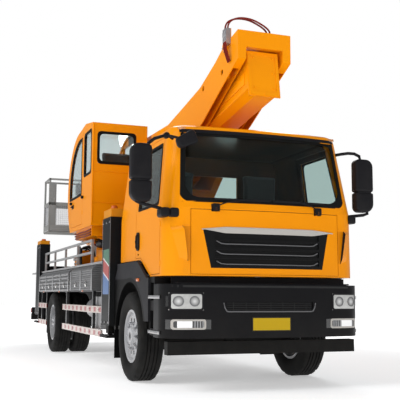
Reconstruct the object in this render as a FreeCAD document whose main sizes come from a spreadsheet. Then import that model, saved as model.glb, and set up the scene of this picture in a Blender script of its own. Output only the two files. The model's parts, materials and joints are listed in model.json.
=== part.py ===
import FreeCAD, Part
import math
import os
import Sketcher

# Cherry picker truck: a two-axle lorry chassis with a forward driver's cab, four outriggers,
# a slewing turret whose mast reaches forward over the cab, a telescopic boom that lies
# back over the deck, a rear-facing operator's cabin and a work basket.
# Millimetres. +X is forward, +Y left, +Z up. The origin is on the ground under the middle
# of the machine's overall length.

SIZES = {
    # chassis and axles
    "frontAxleX": 3700, "wheelbase": 4940, "wheelCentreZ": 510,
    "railTop": 980, "railDepth": 260, "railFlange": 75, "railWall": 8, "railOuterY": 430,
    "frameFrontX": 4999.7, "rearOverhang": 2710, "crossDepth": 120, "crossLength": 70,
    "subTop": 1250, "subWidth": 85, "subFrontX": 2990, "seatGap": 0.3, "runGap": 0.05,
    # tyres and wheels
    "tyreRadius": 510, "tyreWidth": 285, "beadRadius": 290, "beadHalf": 100, "shoulder": 34,
    "rimWall": 14, "rimHalf": 112, "flangeRadius": 303, "flangeWidth": 12, "discWall": 14,
    "frontTrack": 1018, "twinInnerY": 750, "twinOuterY": 1080,
    "hubRadius": 112, "frontHubReach": 128, "frontDiscOut": 78, "handHoleRadius": 27,
    "handHoleCircle": 192, "handHoles": 10, "rearHubRadius": 130, "rearHubReach": 1190,
    "spindleRadius": 45, "kingPinY": 840, "kingPinRadius": 30, "knuckleHeight": 60,
    "axleBeamTop": 470, "axleBeamDepth": 90, "axleBeamLength": 130, "kingBoss": 55,
    "steerArm": 190, "springHalf": 700, "springSag": 110, "springWidth": 75, "springStack": 60,
    "springSeatTop": 560,
    "rearTube": 75, "diffRadius": 215, "shaftRadius": 50, "shaftRise": 115,
    # engine and tanks
    "engineRearX": 3500, "engineFrontX": 4560, "engineHalf": 330, "engineLow": 660,
    "engineTop": 1150, "gearboxRearX": 2500, "gearboxHalf": 190, "gearboxLow": 575,
    "tankLow": 520, "tankTop": 960, "tankInnerY": 640, "tankOuterY": 1130,
    "tankFrontX": 2150, "tankRearX": 1050, "trayGap": 190, "vesselLong": 560,
    # driver's cab
    "cabRearX": 3140, "cabFootX": 5050, "cabBeltX": 5040, "cabRoofX": 4883, "cabHalf": 1120,
    "cabRoofIn": 106, "cabFloorZ": 1180, "cabBeltZ": 1885, "cabRoofZ": 2800,
    "noseCutX": 4300, "cabCorner": 240, "roofCorner": 210, "bowAngle": 7.8, "cabWall": 45, "roofRound": 70,
    "archTop": 1376, "archFlat": 860, "archKnee": 940, "archKneeZ": 1350, "archEnd": 1260,
    "archEndZ": 1186, "archPan": 40, "floorPan": 40,
    "screenLowZ": 1955, "screenTopZ": 2705, "screenLowIn": 155, "screenTopIn": 102,
    "glassInset": 12, "glassWall": 6, "glassGap": 0.3,
    "doorFrontX": 4730, "doorRearX": 3820, "doorSill": 25, "doorTopZ": 2690,
    "doorTopFrontX": 4570, "doorGap": 6, "doorHingeAhead": 15, "doorHingeIn": 8,
    "doorGlassLow": 1945, "doorGlassTop": 2625, "doorGlassRim": 62, "rearWindowHalf": 430,
    "doorFrontGap": 11, "hingeRoom": 22, "hingePin": 7,
    "hingeKnuckle": 13, "flapHingeIn": 260, "flapPin": 5,
    "rearWindowLow": 2120, "rearWindowTop": 2520,
    "flapIn": 260, "flapLow": 1200, "flapTop": 1868, "flapWall": 22, "flapGap": 6,
    "grilleTop": 1668, "grilleLow": 1262, "grilleTopIn": 125, "grilleLowIn": 210,
    "slatCount": 3, "slatHeight": 26, "grilleDepth": 60, "grilleRim": 22,
    # bumper, lamps, steps
    "bumperX": 5100, "bumperProud": 30, "bumperLow": 545, "bumperTop": 1096,
    "bumperRearX": 4642, "bumperWall": 45, "bumperBlockX": 5000, "blockLow": 760,
    "blockTop": 930, "lampDepth": 30, "lampWide": 365, "lampIn": 40,
    "lampLow": 868, "lampTop": 972, "fogWide": 445, "fogLow": 638, "fogTop": 735,
    "intakeHalf": 500, "intakeLow": 806, "intakeTop": 914, "intakeDepth": 25,
    "plateHalf": 220, "plateLow": 616, "plateTop": 756, "plateWall": 3,
    "underrunX": 4930, "underrunDeep": 110, "underrunHalf": 1085, "underrunLow": 375,
    "underrunTop": 510, "towRadius": 20, "stepRearX": 4478, "stepFrontX": 4636, "stepProud": 20,
    "stepInnerY": 900, "stepLow": 560, "stepTop": 1172, "treadA": 655, "treadB": 950,
    "treadHeight": 34, "treadDepth": 170,
    "fenderRadius": 622, "fenderBand": 20, "fenderProud": 40, "fenderPanel": 28,
    "fenderInnerY": 820, "fenderRear": 698, "fenderFront": 770, "fenderRearZ": 560,
    "fenderFrontZ": 700, "mirrorX": 4905, "mirrorOff": 192, "mirrorWide": 188,
    "mirrorLow": 1955, "mirrorTop": 2530, "mirrorDeep": 120, "mirrorTube": 17,
    "mirrorRound": 38, "smallMirrorX": 5060,
    # cab interior
    "seatX": 3900, "seatY": 560, "seatWide": 500, "seatLong": 520, "seatBase": 1750,
    "cushion": 130, "backHigh": 640, "backThick": 120, "dashRearX": 4560, "dashLow": 1650,
    "dashTop": 1900, "steerRadius": 225, "steerTube": 16, "steerX": 4450, "steerZ": 1990,
    # deck, lockers, guards
    "deckTop": 1430, "deckThick": 30, "deckHalf": 1180, "deckFrontX": 2545,
    "lockerTop": 1399.7, "lockerLow": 1036, "lockerOuterY": 1220, "lockerInnerY": 700,
    "lockerChamfer": 55, "lockerAX": 1950, "lockerGap": 160, "lockerBX": 250,
    "riggerGap": 40, "lockerRib": 8, "ribPitch": 40, "bearerWide": 90,
    "guardY": 1190, "guardThick": 30, "guardHigh": 90, "guardLowZ": 440, "guardUpZ": 745,
    "guardFrontX": 2540, "guardAhead": 1040, "guardBehind": 560, "guardEnd": 10,
    "guardPost": 60, "postInset": 175, "postX": 325, "postTop": 1399.7,
    "railPost": 34, "handRailZ": 1780, "handRailY": 1120, "handRailFrontX": 1500,
    "handRailEnd": 110, "tailBarBack": 20, "tailBarLow": 480, "tailBarHigh": 120,
    "tailBarHalf": 1180, "tailLampHigh": 130, "flapBack": 554, "flapLowZ": 300,
    "ladderX": -3200,
    # outriggers
    "riggerX": 2780, "rearRiggerBack": 1680, "riggerLong": 420, "riggerWall": 12,
    "riggerLow": 1250, "riggerTop": 1540, "riggerHalf": 1008, "beamClear": 6,
    "columnIn": 1030, "columnOut": 1222, "columnLow": 600, "columnTop": 1965,
    "capTop": 2070, "capIn": 8, "beaconRadius": 38, "beaconTop": 2128, "rearCapTop": 2035,
    "rearBeaconTop": 2078, "beamReach": 1900,
    "legHalf": 66, "legGuide": 70, "legTop": 1850, "legClear": 6, "footLow": 450,
    "footThick": 32, "footLong": 380, "footWide": 235, "ankleRadius": 60,
    # turret
    "slewX": 1150, "pedestalRadius": 560, "pedestalTop": 1560, "raceRadius": 620,
    "raceTop": 1620, "spigotRadius": 420, "spigotDepth": 50, "tableRadius": 720,
    "tableTop": 1665, "cheekOut": 320, "cheekIn": 222, "cheekWall": 12,
    "mastRearX": 350, "mastRearZ": 2100, "mastTopX": 1250, "mastTopZ": 3337,
    "mastTopBX": 2500, "mastTopBZ": 3318, "mastTopCX": 3210, "mastTopCZ": 3428,
    "mastTopDX": 3770, "mastTopDZ": 3519, "mastTopEX": 4275, "mastTopEZ": 3691,
    "mastTopFX": 4555, "mastTopFZ": 3811, "headX": 4960, "headTop": 3878, "headLow": 3554,
    "headBottomX": 4434, "headBottomZ": 3326, "neckX": 3846, "neckZ": 3062,
    "throatX": 3090, "throatZ": 2840, "throatLowZ": 2640, "bellyX": 2250, "bellyZ": 2050,
    "bellyFrontX": 1760, "archPlateX": 4742, "archPlateZ": 3692, "pivotX": 4600,
    "pivotZ": 3780, "pivotRadius": 50, "bellyPlate": 14, "cylBaseX": 600, "cylBaseZ": 1950,
    "cylPin": 45, "mastHoleX": 4490, "mastHoleZ": 3520, "mastHoleBX": 3880,
    "mastHoleBZ": 3480, "mastHole": 34, "hoseStand": 54, "hoseRise": 77, "hoseRadius": 10,
    # operator's cabin
    "boothRearX": 1720, "boothLowX": 180, "boothLow": 1963, "boothKneeX": 790,
    "boothKneeZ": 3476, "boothTopX": 1230, "boothTopZ": 3526, "boothRearZ": 3454,
    "boothOutY": 1200, "boothInY": 385, "boothWall": 40, "boothCurve": 890,
    "boothDoorFrontX": 245, "boothDoorRearX": 1070, "boothDoorLow": 2035,
    "boothDoorTop": 3405, "boothDoorKneeX": 800, "boothGlassLow": 2480,
    "boothGlassTop": 3345, "quarterFrontX": 1165, "quarterRearX": 1650, "quarterLow": 2730,
    "quarterTop": 3370, "backLow": 2862, "backTop": 3318, "backOut": 1120, "backIn": 565,
    "screenEdge": 55, "boothFrame": 140,
    "boothHingeAhead": 15, "boothHingeIn": 8,
    "opSeatX": 1190, "opSeatLong": 520, "opSeatWide": 480, "opSeatHigh": 330,
    "opCushion": 120, "opBackThick": 120, "opBackHigh": 750, "consoleAhead": 430,
    "consoleHigh": 560,
    # boom
    "slope": 7.8, "boomDrop": 147, "boomHigh": 526, "boomHalf": 190, "boomWall": 10,
    "boomButt": 260, "headA": 7057, "headB": 7259, "headC": 7400, "boomChamfer": 70, "nestGap": 12,
    "headD": 8450, "earHalf": 105, "earIn": 120, "earOut": 188, "cylEyeBack": 1700,
    "cylEyeDrop": 177, "lugIn": 64, "lugOut": 92, "lugHalf": 80, "buttPlate": 14,
    "barrelRadius": 95, "rodRadius": 52, "eyeRadius": 70, "eyeHalf": 52,
    "barrelLength": 2200, "levelBack": 8620, "levelDrop": 420, "levelPin": 32,
    "restX": -2400, "restHalf": 260,
    # basket
    "basketFrontX": -4450, "basketRearX": -5100, "basketHalf": 800, "basketFloor": 2360,
    "basketFloorThick": 40, "basketTop": 3540, "basketPost": 40, "panelHigh": 620,
    "panelThick": 12, "swingX": -4370, "swingRadius": 55, "mastLow": 1960, "mastHigh": 2900,
}


class Size:
    """A number together with the sheet expression that gives it."""

    def __init__(self, value, text):
        self.value = float(value)
        self.text = text

    def mixed(self, sign, other, value):
        return Size(value, "(" + self.text + sign + as_size(other).text + ")")

    def __add__(self, other):
        return self.mixed(" + ", other, self.value + as_size(other).value)

    def __radd__(self, other):
        return as_size(other) + self

    def __sub__(self, other):
        return self.mixed(" - ", other, self.value - as_size(other).value)

    def __rsub__(self, other):
        return as_size(other) - self

    def __mul__(self, other):
        return self.mixed(" * ", other, self.value * as_size(other).value)

    def __rmul__(self, other):
        return as_size(other) * self

    def __truediv__(self, other):
        return self.mixed(" / ", other, self.value / as_size(other).value)

    def __neg__(self):
        return Size(-self.value, "(0 - " + self.text + ")")


def as_size(item):
    """The item as a Size, whether it is one already or a plain number."""
    return item if isinstance(item, Size) else Size(item, "(" + repr(float(item)) + ")")


def sine(angle):
    return Size(math.sin(math.radians(angle.value)), "sin(" + angle.text + ")")


def cosine(angle):
    return Size(math.cos(math.radians(angle.value)), "cos(" + angle.text + ")")


def root(number):
    return Size(math.sqrt(number.value), "sqrt(" + number.text + ")")


class SizeSheet:
    """Gives each named size of the sheet as a Size."""

    def __getattr__(self, name):
        return Size(SIZES[name], "Sizes." + name)


doc = FreeCAD.newDocument("CherryPickerTruck")
sheet = doc.addObject("Spreadsheet::Sheet", "Sizes")
for row, (alias, number) in enumerate(SIZES.items(), start=1):
    sheet.set("A" + str(row), alias)
    sheet.set("B" + str(row), str(number))
    sheet.setAlias("B" + str(row), alias)
doc.recompute()
d = SizeSheet()
NODES = []

# What stands behind the rear axle moves with it
REAR_AXLE = d.frontAxleX - d.wheelbase
REAR_RIGGER = REAR_AXLE - d.rearRiggerBack
FRAME_REAR = REAR_AXLE - d.rearOverhang
TAIL_BAR = FRAME_REAR - d.tailBarBack
RIGGER_FRONT = REAR_RIGGER + d.riggerLong / 2

# What the width of the driver's cab carries with it
CAB_ROOF_HALF = d.cabHalf - d.cabRoofIn
SCREEN_LOW_HALF = d.cabHalf - d.screenLowIn
SCREEN_TOP_HALF = CAB_ROOF_HALF - d.screenTopIn
FLAP_HALF = d.cabHalf - d.flapIn
FLAP_HINGE_Y = FLAP_HALF - d.flapHingeIn
GRILLE_TOP_HALF = FLAP_HALF - d.grilleTopIn
GRILLE_LOW_HALF = FLAP_HALF - d.grilleLowIn
BUMPER_HALF = d.cabHalf + d.bumperProud
LAMP_OUTER = BUMPER_HALF - d.lampIn
LAMP_INNER = LAMP_OUTER - d.lampWide
FOG_INNER = LAMP_OUTER - d.fogWide
STEP_OUTER = d.cabHalf + d.stepProud
FENDER_OUTER = d.cabHalf + d.fenderProud
MIRROR_INNER = d.cabHalf + d.mirrorOff
MIRROR_OUTER = MIRROR_INNER + d.mirrorWide

X_AXIS = FreeCAD.Vector(1, 0, 0)
Y_AXIS = FreeCAD.Vector(0, 1, 0)
Z_AXIS = FreeCAD.Vector(0, 0, 1)


def bind(thing, field, size):
    """Sets a property from a Size, through its expression."""
    thing.setExpression(field, as_size(size).text)


def place(thing, x, y, z):
    """Binds a thing's position."""
    bind(thing, "Placement.Base.x", x)
    bind(thing, "Placement.Base.y", y)
    bind(thing, "Placement.Base.z", z)
    return thing


def box(name, x, y, z):
    """A block between pairs of coordinates."""
    block = doc.addObject("Part::Box", name)
    bind(block, "Length", as_size(x[1]) - x[0])
    bind(block, "Width", as_size(y[1]) - y[0])
    bind(block, "Height", as_size(z[1]) - z[0])
    return place(block, x[0], y[0], z[0])


def rod(name, axis, start, end, centre, radius):
    """A cylinder along X, Y or Z from start to end; centre holds the other two coordinates."""
    shaft = doc.addObject("Part::Cylinder", name)
    turns = {"X": (Y_AXIS, 90), "Y": (X_AXIS, -90), "Z": (Z_AXIS, 0)}
    shaft.Placement = FreeCAD.Placement(FreeCAD.Vector(), FreeCAD.Rotation(*turns[axis]))
    bind(shaft, "Radius", radius)
    bind(shaft, "Height", as_size(end) - start)
    spots = {"X": (start, centre[0], centre[1]), "Y": (centre[0], start, centre[1]),
             "Z": (centre[0], centre[1], start)}
    return place(shaft, *spots[axis])


def origin_plane(body, role):
    return [item for item in body.Origin.OriginFeatures if item.Role == role][0]


def outline(body, name, plane, points, offset):
    """A closed sketch on an origin plane of the body. A point is (u, v), or (u, v, radius)
    where the edge that leaves it is an arc; a negative radius bulges to the right."""
    sketch = body.newObject("Sketcher::SketchObject", name)
    sketch.AttachmentSupport = [(origin_plane(body, plane + "_Plane"), "")]
    sketch.MapMode = "FlatFace"
    bind(sketch, "AttachmentOffset.Base.z", offset)
    count = len(points)
    spots = [FreeCAD.Vector(as_size(p[0]).value, as_size(p[1]).value, 0) for p in points]
    starts = []
    ends = []
    for index in range(count):
        here = spots[index]
        there = spots[(index + 1) % count]
        if len(points[index]) == 3:
            radius = as_size(points[index][2]).value
            chord = there - here
            half = chord.Length / 2
            depth = abs(radius) - math.sqrt(max(radius * radius - half * half, 0))
            side = FreeCAD.Vector(-chord.y, chord.x, 0)
            side.normalize()
            middle = (here + there) * 0.5 + side * (depth if radius < 0 else -depth)
            sketch.addGeometry(Part.Arc(here, middle, there), False)
            arc = sketch.Geometry[index]
            ahead = (arc.StartPoint - here).Length < (arc.EndPoint - here).Length
            starts.append(1 if ahead else 2)
            ends.append(2 if ahead else 1)
        else:
            sketch.addGeometry(Part.LineSegment(here, there), False)
            starts.append(1)
            ends.append(2)
    for index in range(count):
        for kind, size in (("DistanceX", points[index][0]), ("DistanceY", points[index][1])):
            spot = as_size(size)
            number = sketch.addConstraint(
                Sketcher.Constraint(kind, -1, 1, index, starts[index], spot.value))
            if isinstance(size, Size):
                bind(sketch, "Constraints[" + str(number) + "]", spot)
        following = (index + 1) % count
        sketch.addConstraint(Sketcher.Constraint(
            "Coincident", index, ends[index], following, starts[following]))
        if len(points[index]) == 3:
            radius = as_size(points[index][2])
            bend = radius if radius.value > 0 else -radius
            number = sketch.addConstraint(Sketcher.Constraint("Radius", index, bend.value))
            bind(sketch, "Constraints[" + str(number) + "]", bend)
    return sketch


def prism(name, plane, points, low, high):
    """A flat outline given depth: XZ outlines run along Y, YZ along X and XY along Z."""
    body = doc.addObject("PartDesign::Body", name)
    offset = -as_size(high) if plane == "XZ" else low
    sketch = outline(body, name + "Sketch", plane, points, offset)
    pad = body.newObject("PartDesign::Pad", name + "Pad")
    pad.Profile = sketch
    pad.Type = "Length"
    bind(pad, "Length", as_size(high) - low)
    body.Tip = pad
    return body


def turned(name, points):
    """A profile of (radius, y) points turned about the Y axis."""
    body = doc.addObject("PartDesign::Body", name)
    sketch = outline(body, name + "Sketch", "XY", points, 0)
    spin = body.newObject("PartDesign::Revolution", name + "Turn")
    spin.Profile = sketch
    spin.ReferenceAxis = (sketch, ["V_Axis"])
    spin.Angle = 360
    body.Tip = spin
    return body


def lofted(name, levels):
    """A ruled loft through plan outlines, each given with its height."""
    body = doc.addObject("PartDesign::Body", name)
    sketches = [outline(body, name + "Level" + str(index), "XY", points, height)
                for index, (height, points) in enumerate(levels)]
    loft = body.newObject("PartDesign::AdditiveLoft", name + "Loft")
    loft.Profile = sketches[0]
    loft.Sections = sketches[1:]
    loft.Ruled = True
    body.Tip = loft
    return body


def cut(name, base, *tools):
    """The base with every tool taken out of it."""
    tool = tools[0] if len(tools) == 1 else fuse(name + "Tools", *tools)
    result = doc.addObject("Part::Cut", name)
    result.Base = base
    result.Tool = tool
    return result


def fuse(name, *pieces):
    if len(pieces) == 1:
        return pieces[0]
    result = doc.addObject("Part::MultiFuse", name)
    result.Shapes = list(pieces)
    result.Refine = True
    return result


def common(name, first, second):
    result = doc.addObject("Part::Common", name)
    result.Base = first
    result.Tool = second
    return result


def group(name, *pieces):
    """Pieces that stay separate solids of one node."""
    result = doc.addObject("Part::Compound", name)
    result.Links = list(pieces)
    return result


def mirrored(name, source):
    """The same piece on the other side of the machine."""
    result = doc.addObject("Part::Mirroring", name)
    result.Source = source
    result.Base = FreeCAD.Vector(0, 0, 0)
    result.Normal = Y_AXIS
    return result


def rounded(name, body, radius, wanted):
    """Rounds the edges of a body's shape that the test picks."""
    doc.recompute()
    names = ["Edge" + str(index + 1) for index, edge in enumerate(body.Tip.Shape.Edges)
             if wanted(edge)]
    base = body.Tip
    result = body.newObject("PartDesign::Fillet", name)
    result.Base = (base, names)
    bind(result, "Radius", radius)
    body.Tip = result
    return body


def along(axis):
    """A test for straight edges along one axis."""
    def test(edge):
        if edge.Curve.TypeId != "Part::GeomLine":
            return False
        way = edge.lastVertex().Point - edge.firstVertex().Point
        way.normalize()
        return abs(abs(way.dot(axis)) - 1) < 1e-6
    return test


def node(name, thing):
    """Marks the thing as a finished sub-part of the machine."""
    thing.Label = name
    NODES.append((name, thing))
    return thing


def pair(name, thing):
    """A right-hand piece and its left-hand twin, as two nodes."""
    node(name + "_right", thing)
    return node(name + "_left", mirrored(name + "Left", thing))


def both(name, thing):
    """A right-hand piece and its left-hand twin, as separate solids of one node."""
    return node(name, group(name + "Pair", thing, mirrored(name + "Left", thing)))


# Chassis frame: two channel rails joined by cross members

def frame_rails():
    low = d.railTop - d.railDepth
    inner = d.railOuterY - d.railWall
    toe = d.railOuterY - d.railFlange
    channel = [(d.railOuterY, low), (d.railOuterY, d.railTop), (toe, d.railTop),
               (toe, d.railTop - d.railWall), (inner, d.railTop - d.railWall),
               (inner, low + d.railWall), (toe, low + d.railWall), (toe, low)]
    left = prism("RailLeft", "YZ", channel, FRAME_REAR, d.frameFrontX)
    right = mirrored("RailRight", left)
    members = []
    for index, share in enumerate((0.0, 0.16, 0.43, 0.6, 0.8, 1.0)):
        middle = FRAME_REAR + 60 + share * (d.gearboxRearX - 400 - FRAME_REAR)
        members.append(box("CrossMember" + str(index), (middle, middle + d.crossLength),
                           (-inner, inner), (d.railTop - 100 - d.crossDepth, d.railTop - 100)))
    front = box("CrossMemberFront", (d.frameFrontX - 160, d.frameFrontX - 90),
                (-inner, inner), (low, low + d.crossDepth))
    return node("frame_rails", fuse("FrameRails", left, right, front, *members))


def sub_frame():
    beams = []
    for index, side in enumerate((1, -1)):
        near = side * (d.railOuterY - d.subWidth)
        far = side * d.railOuterY
        edges = (near, far) if side > 0 else (far, near)
        beams.append(box("SubBeam" + str(index), (FRAME_REAR, d.subFrontX), edges,
                         (d.railTop + d.seatGap, d.subTop)))
    pedestal = rod("Pedestal", "Z", d.subTop, d.pedestalTop, (d.slewX, 0), d.pedestalRadius)
    race = rod("SlewRace", "Z", d.pedestalTop, d.raceTop, (d.slewX, 0), d.raceRadius)
    pad = box("PedestalPad", (d.slewX - d.pedestalRadius, d.slewX + d.pedestalRadius),
              (-d.pedestalRadius, d.pedestalRadius), (d.subTop - 90, d.subTop))
    bore = rod("SlewBore", "Z", d.raceTop - d.spigotDepth - 10, d.raceTop + 1, (d.slewX, 0),
               d.spigotRadius + d.runGap)
    housings = []
    for name, middle in (("Front", d.riggerX), ("Rear", REAR_RIGGER)):
        back = middle - d.riggerLong / 2
        front = middle + d.riggerLong / 2
        shell = box("Housing" + name, (back, front), (-d.riggerHalf, d.riggerHalf),
                    (d.riggerLow, d.riggerTop))
        bay = (d.riggerLong - 3 * d.riggerWall) / 2
        holes = []
        for step in (0, 1):
            start = back + d.riggerWall + step * (bay + d.riggerWall)
            holes.append(box("Bay" + name + str(step), (start, start + bay),
                             (-d.riggerHalf - 1, d.riggerHalf + 1),
                             (d.riggerLow + d.riggerWall, d.riggerTop - d.riggerWall)))
        housings.append(cut("HousingTube" + name, shell, *holes))
    solid = fuse("SubFrameSolid", beams[0], beams[1], pad, pedestal, race, *housings)
    return node("sub_frame", cut("SubFrame", solid, bore))


# Axles, springs, knuckles, wheels

def spring(name, middle):
    """A leaf spring pack under one rail, with its hangers."""
    low = d.railTop - d.railDepth
    end = low - 30
    sag = end - d.springSag
    points = [(middle - d.springHalf, end - d.springStack), (middle, sag - d.springStack),
              (middle + d.springHalf, end - d.springStack), (middle + d.springHalf, end),
              (middle, sag), (middle - d.springHalf, end)]
    inside = d.railOuterY - d.springWidth
    pack = prism(name + "Pack", "XZ", points, -d.railOuterY, -inside)
    hangers = []
    for index, side in enumerate((-1, 1)):
        spot = middle + side * (d.springHalf - 40)
        hangers.append(box(name + "Hanger" + str(index), (spot - 40, spot + 40),
                           (-d.railOuterY, -inside), (end - d.springStack, low - d.seatGap)))
    return fuse(name, pack, *hangers)


def front_axle():
    middle = d.frontAxleX
    under = d.axleBeamTop - d.axleBeamDepth
    beam = box("AxleBeam", (middle - d.axleBeamLength / 2, middle + d.axleBeamLength / 2),
               (-d.kingPinY, d.kingPinY), (under, d.axleBeamTop))
    pieces = [beam]
    right = spring("FrontSpring", middle)
    seat = box("SpringSeat", (middle - 60, middle + 60),
               (-d.railOuterY, -d.railOuterY + d.springWidth), (d.axleBeamTop, d.springSeatTop))
    for thing in (right, seat):
        pieces.append(thing)
        pieces.append(mirrored(thing.Name + "Left", thing))
    for index, side in enumerate((-1, 1)):
        centre = (middle, side * d.kingPinY)
        pieces.append(rod("KingBoss" + str(index), "Z", under, d.axleBeamTop, centre, d.kingBoss))
        pieces.append(rod("KingPin" + str(index), "Z", under - d.knuckleHeight,
                          d.axleBeamTop + d.knuckleHeight, centre, d.kingPinRadius))
    return node("front_axle", fuse("FrontAxle", *pieces))


def knuckle():
    middle = d.frontAxleX
    under = d.axleBeamTop - d.axleBeamDepth
    inner = d.kingPinY
    lugs = []
    for index, (low, high) in enumerate(((under - d.knuckleHeight, under - d.seatGap),
                                         (d.axleBeamTop + d.seatGap,
                                          d.axleBeamTop + d.knuckleHeight))):
        lugs.append(rod("KnuckleLug" + str(index), "Z", low, high, (middle, -inner), d.kingBoss))
        lugs.append(box("KnuckleArm" + str(index), (middle - d.kingBoss, middle + d.kingBoss),
                        (-inner - 90, -inner), (low, high)))
    web = box("KnuckleWeb", (middle - d.kingBoss, middle + d.kingBoss),
              (-inner - 90, -inner - 60), (under - d.knuckleHeight, d.axleBeamTop + d.knuckleHeight))
    spindle = rod("Spindle", "Y", -d.frontTrack - d.frontHubReach + 30, -inner - 60,
                  (middle, d.wheelCentreZ), d.spindleRadius)
    arm = box("SteeringArm", (middle - d.steerArm, middle), (-inner - 90, -inner - 60),
              (under - d.knuckleHeight, under))
    bore = rod("KingBore", "Z", under - 200, d.axleBeamTop + 200, (middle, -inner),
               d.kingPinRadius + d.runGap)
    solid = fuse("KnuckleSolid", web, spindle, arm, *lugs)
    return pair("steering_knuckle", cut("Knuckle", solid, bore))


def tyre_profile(middle):
    """Tyre section about its own middle plane: beads, bulged side walls and a crown."""
    half = d.tyreWidth / 2
    crown = half - d.shoulder
    bead = d.beadHalf
    waist = (d.beadRadius + d.tyreRadius) / 2
    edge = d.tyreRadius - d.shoulder / 2
    clinch = d.flangeRadius + d.seatGap
    return [(d.beadRadius, middle - bead), (d.beadRadius, middle + bead),
            (clinch, middle + bead), (waist, middle + half), (edge, middle + half - 10),
            (d.tyreRadius, middle + crown), (d.tyreRadius, middle - crown),
            (edge, middle - half + 10), (waist, middle - half), (clinch, middle - bead)]


def front_wheels():
    out = d.frontDiscOut
    wall = d.rimWall
    inside = d.beadRadius - d.seatGap
    barrel = inside - wall
    flange = d.flangeRadius
    rim = d.rimHalf
    rib = d.beadHalf + d.seatGap
    # Section in (radius, y); the wheel's outer face is towards negative y.
    section = [(d.spindleRadius + d.runGap, rim - 30), (d.hubRadius + 50, rim - 30),
               (d.hubRadius + 50, -out), (barrel - 40, -out), (barrel, -out + 45),
               (barrel, rim), (flange, rim), (flange, rib), (inside, rib),
               (inside, -rib), (flange, -rib), (flange, -rim), (barrel, -rim),
               (barrel - wall, -out - 8), (barrel - 46, -out - d.discWall),
               (d.hubRadius + 30, -out - d.discWall), (d.hubRadius, -out - 30),
               (d.hubRadius - 20, -d.frontHubReach), (d.spindleRadius + d.runGap,
                                                     -d.frontHubReach)]
    wheel = turned("FrontWheelTurn", section)
    holes = []
    for index in range(int(SIZES["handHoles"])):
        angle = Size(360.0 * index / SIZES["handHoles"], "(360 * " + str(index)
                     + " / Sizes.handHoles)")
        centre = (d.handHoleCircle * cosine(angle), d.handHoleCircle * sine(angle))
        holes.append(rod("HandHole" + str(index), "Y", -out - 60, -out + 20, centre,
                         d.handHoleRadius))
    disc = cut("FrontWheelDisc", wheel, *holes)
    place(disc, d.frontAxleX, -d.frontTrack, d.wheelCentreZ)
    pair("front_wheel", disc)
    tyre = turned("FrontTyre", tyre_profile(0))
    place(tyre, d.frontAxleX, -d.frontTrack, d.wheelCentreZ)
    pair("front_tyre", tyre)


def rear_axle():
    middle = d.frontAxleX - d.wheelbase
    tube = rod("AxleTube", "Y", -d.twinInnerY + 30, d.twinInnerY - 30,
               (middle, d.wheelCentreZ), d.rearTube)
    spindle = rod("AxleSpindle", "Y", -d.twinOuterY, d.twinOuterY, (middle, d.wheelCentreZ),
                  d.spindleRadius)
    ball = doc.addObject("Part::Sphere", "Differential")
    bind(ball, "Radius", d.diffRadius)
    place(ball, middle, 0, d.wheelCentreZ)
    pieces = [tube, spindle, ball]
    right = spring("RearSpring", middle)
    seat = box("RearSpringSeat", (middle - 60, middle + 60),
               (-d.railOuterY, -d.railOuterY + d.springWidth), (d.wheelCentreZ, d.springSeatTop))
    for thing in (right, seat):
        pieces.append(thing)
        pieces.append(mirrored(thing.Name + "Left", thing))
    return node("rear_axle", fuse("RearAxle", *pieces))


def rear_wheels():
    middle = d.frontAxleX - d.wheelbase
    inside = d.beadRadius - d.seatGap
    barrel = inside - d.rimWall
    flange = d.flangeRadius
    rib = d.beadHalf + d.seatGap
    join = (d.twinInnerY + d.twinOuterY) / 2
    bore = d.spindleRadius + d.runGap
    pieces = []
    for name, centre, side in (("Outer", d.twinOuterY, -1), ("Inner", d.twinInnerY, 1)):
        ring = [(barrel, -centre - d.rimHalf), (flange, -centre - d.rimHalf),
                (flange, -centre - rib), (inside, -centre - rib), (inside, -centre + rib),
                (flange, -centre + rib), (flange, -centre + d.rimHalf),
                (barrel, -centre + d.rimHalf)]
        pieces.append(turned(name + "Rim", ring))
    hub_out = d.rearHubReach
    disc = [(bore, -join + 110), (d.rearHubRadius + 40, -join + 110),
            (d.rearHubRadius + 40, -join + d.discWall), (barrel - 40, -join + d.discWall),
            (barrel + 1, -join + 70), (barrel + 1, -join - 70), (barrel - 40, -join - d.discWall),
            (d.rearHubRadius + 30, -join - d.discWall), (d.rearHubRadius, -join - 60),
            (d.rearHubRadius - 20, -hub_out), (bore, -hub_out)]
    pieces.append(turned("TwinDisc", disc))
    solid = fuse("TwinWheelSolid", *pieces)
    holes = []
    for index in range(int(SIZES["handHoles"])):
        angle = Size(360.0 * index / SIZES["handHoles"], "(360 * " + str(index)
                     + " / Sizes.handHoles)")
        centre = (d.handHoleCircle * cosine(angle) * 1.08, d.handHoleCircle * sine(angle) * 1.08)
        holes.append(rod("TwinHole" + str(index), "Y", -join - 80, -join + 80, centre,
                         d.handHoleRadius))
    wheels = cut("TwinWheels", solid, *holes)
    place(wheels, middle, 0, d.wheelCentreZ)
    pair("rear_wheels", wheels)
    tyres = group("TwinTyres", turned("OuterTyre", tyre_profile(-d.twinOuterY)),
                  turned("InnerTyre", tyre_profile(-d.twinInnerY)))
    place(tyres, middle, 0, d.wheelCentreZ)
    pair("rear_tyres", tyres)


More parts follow.
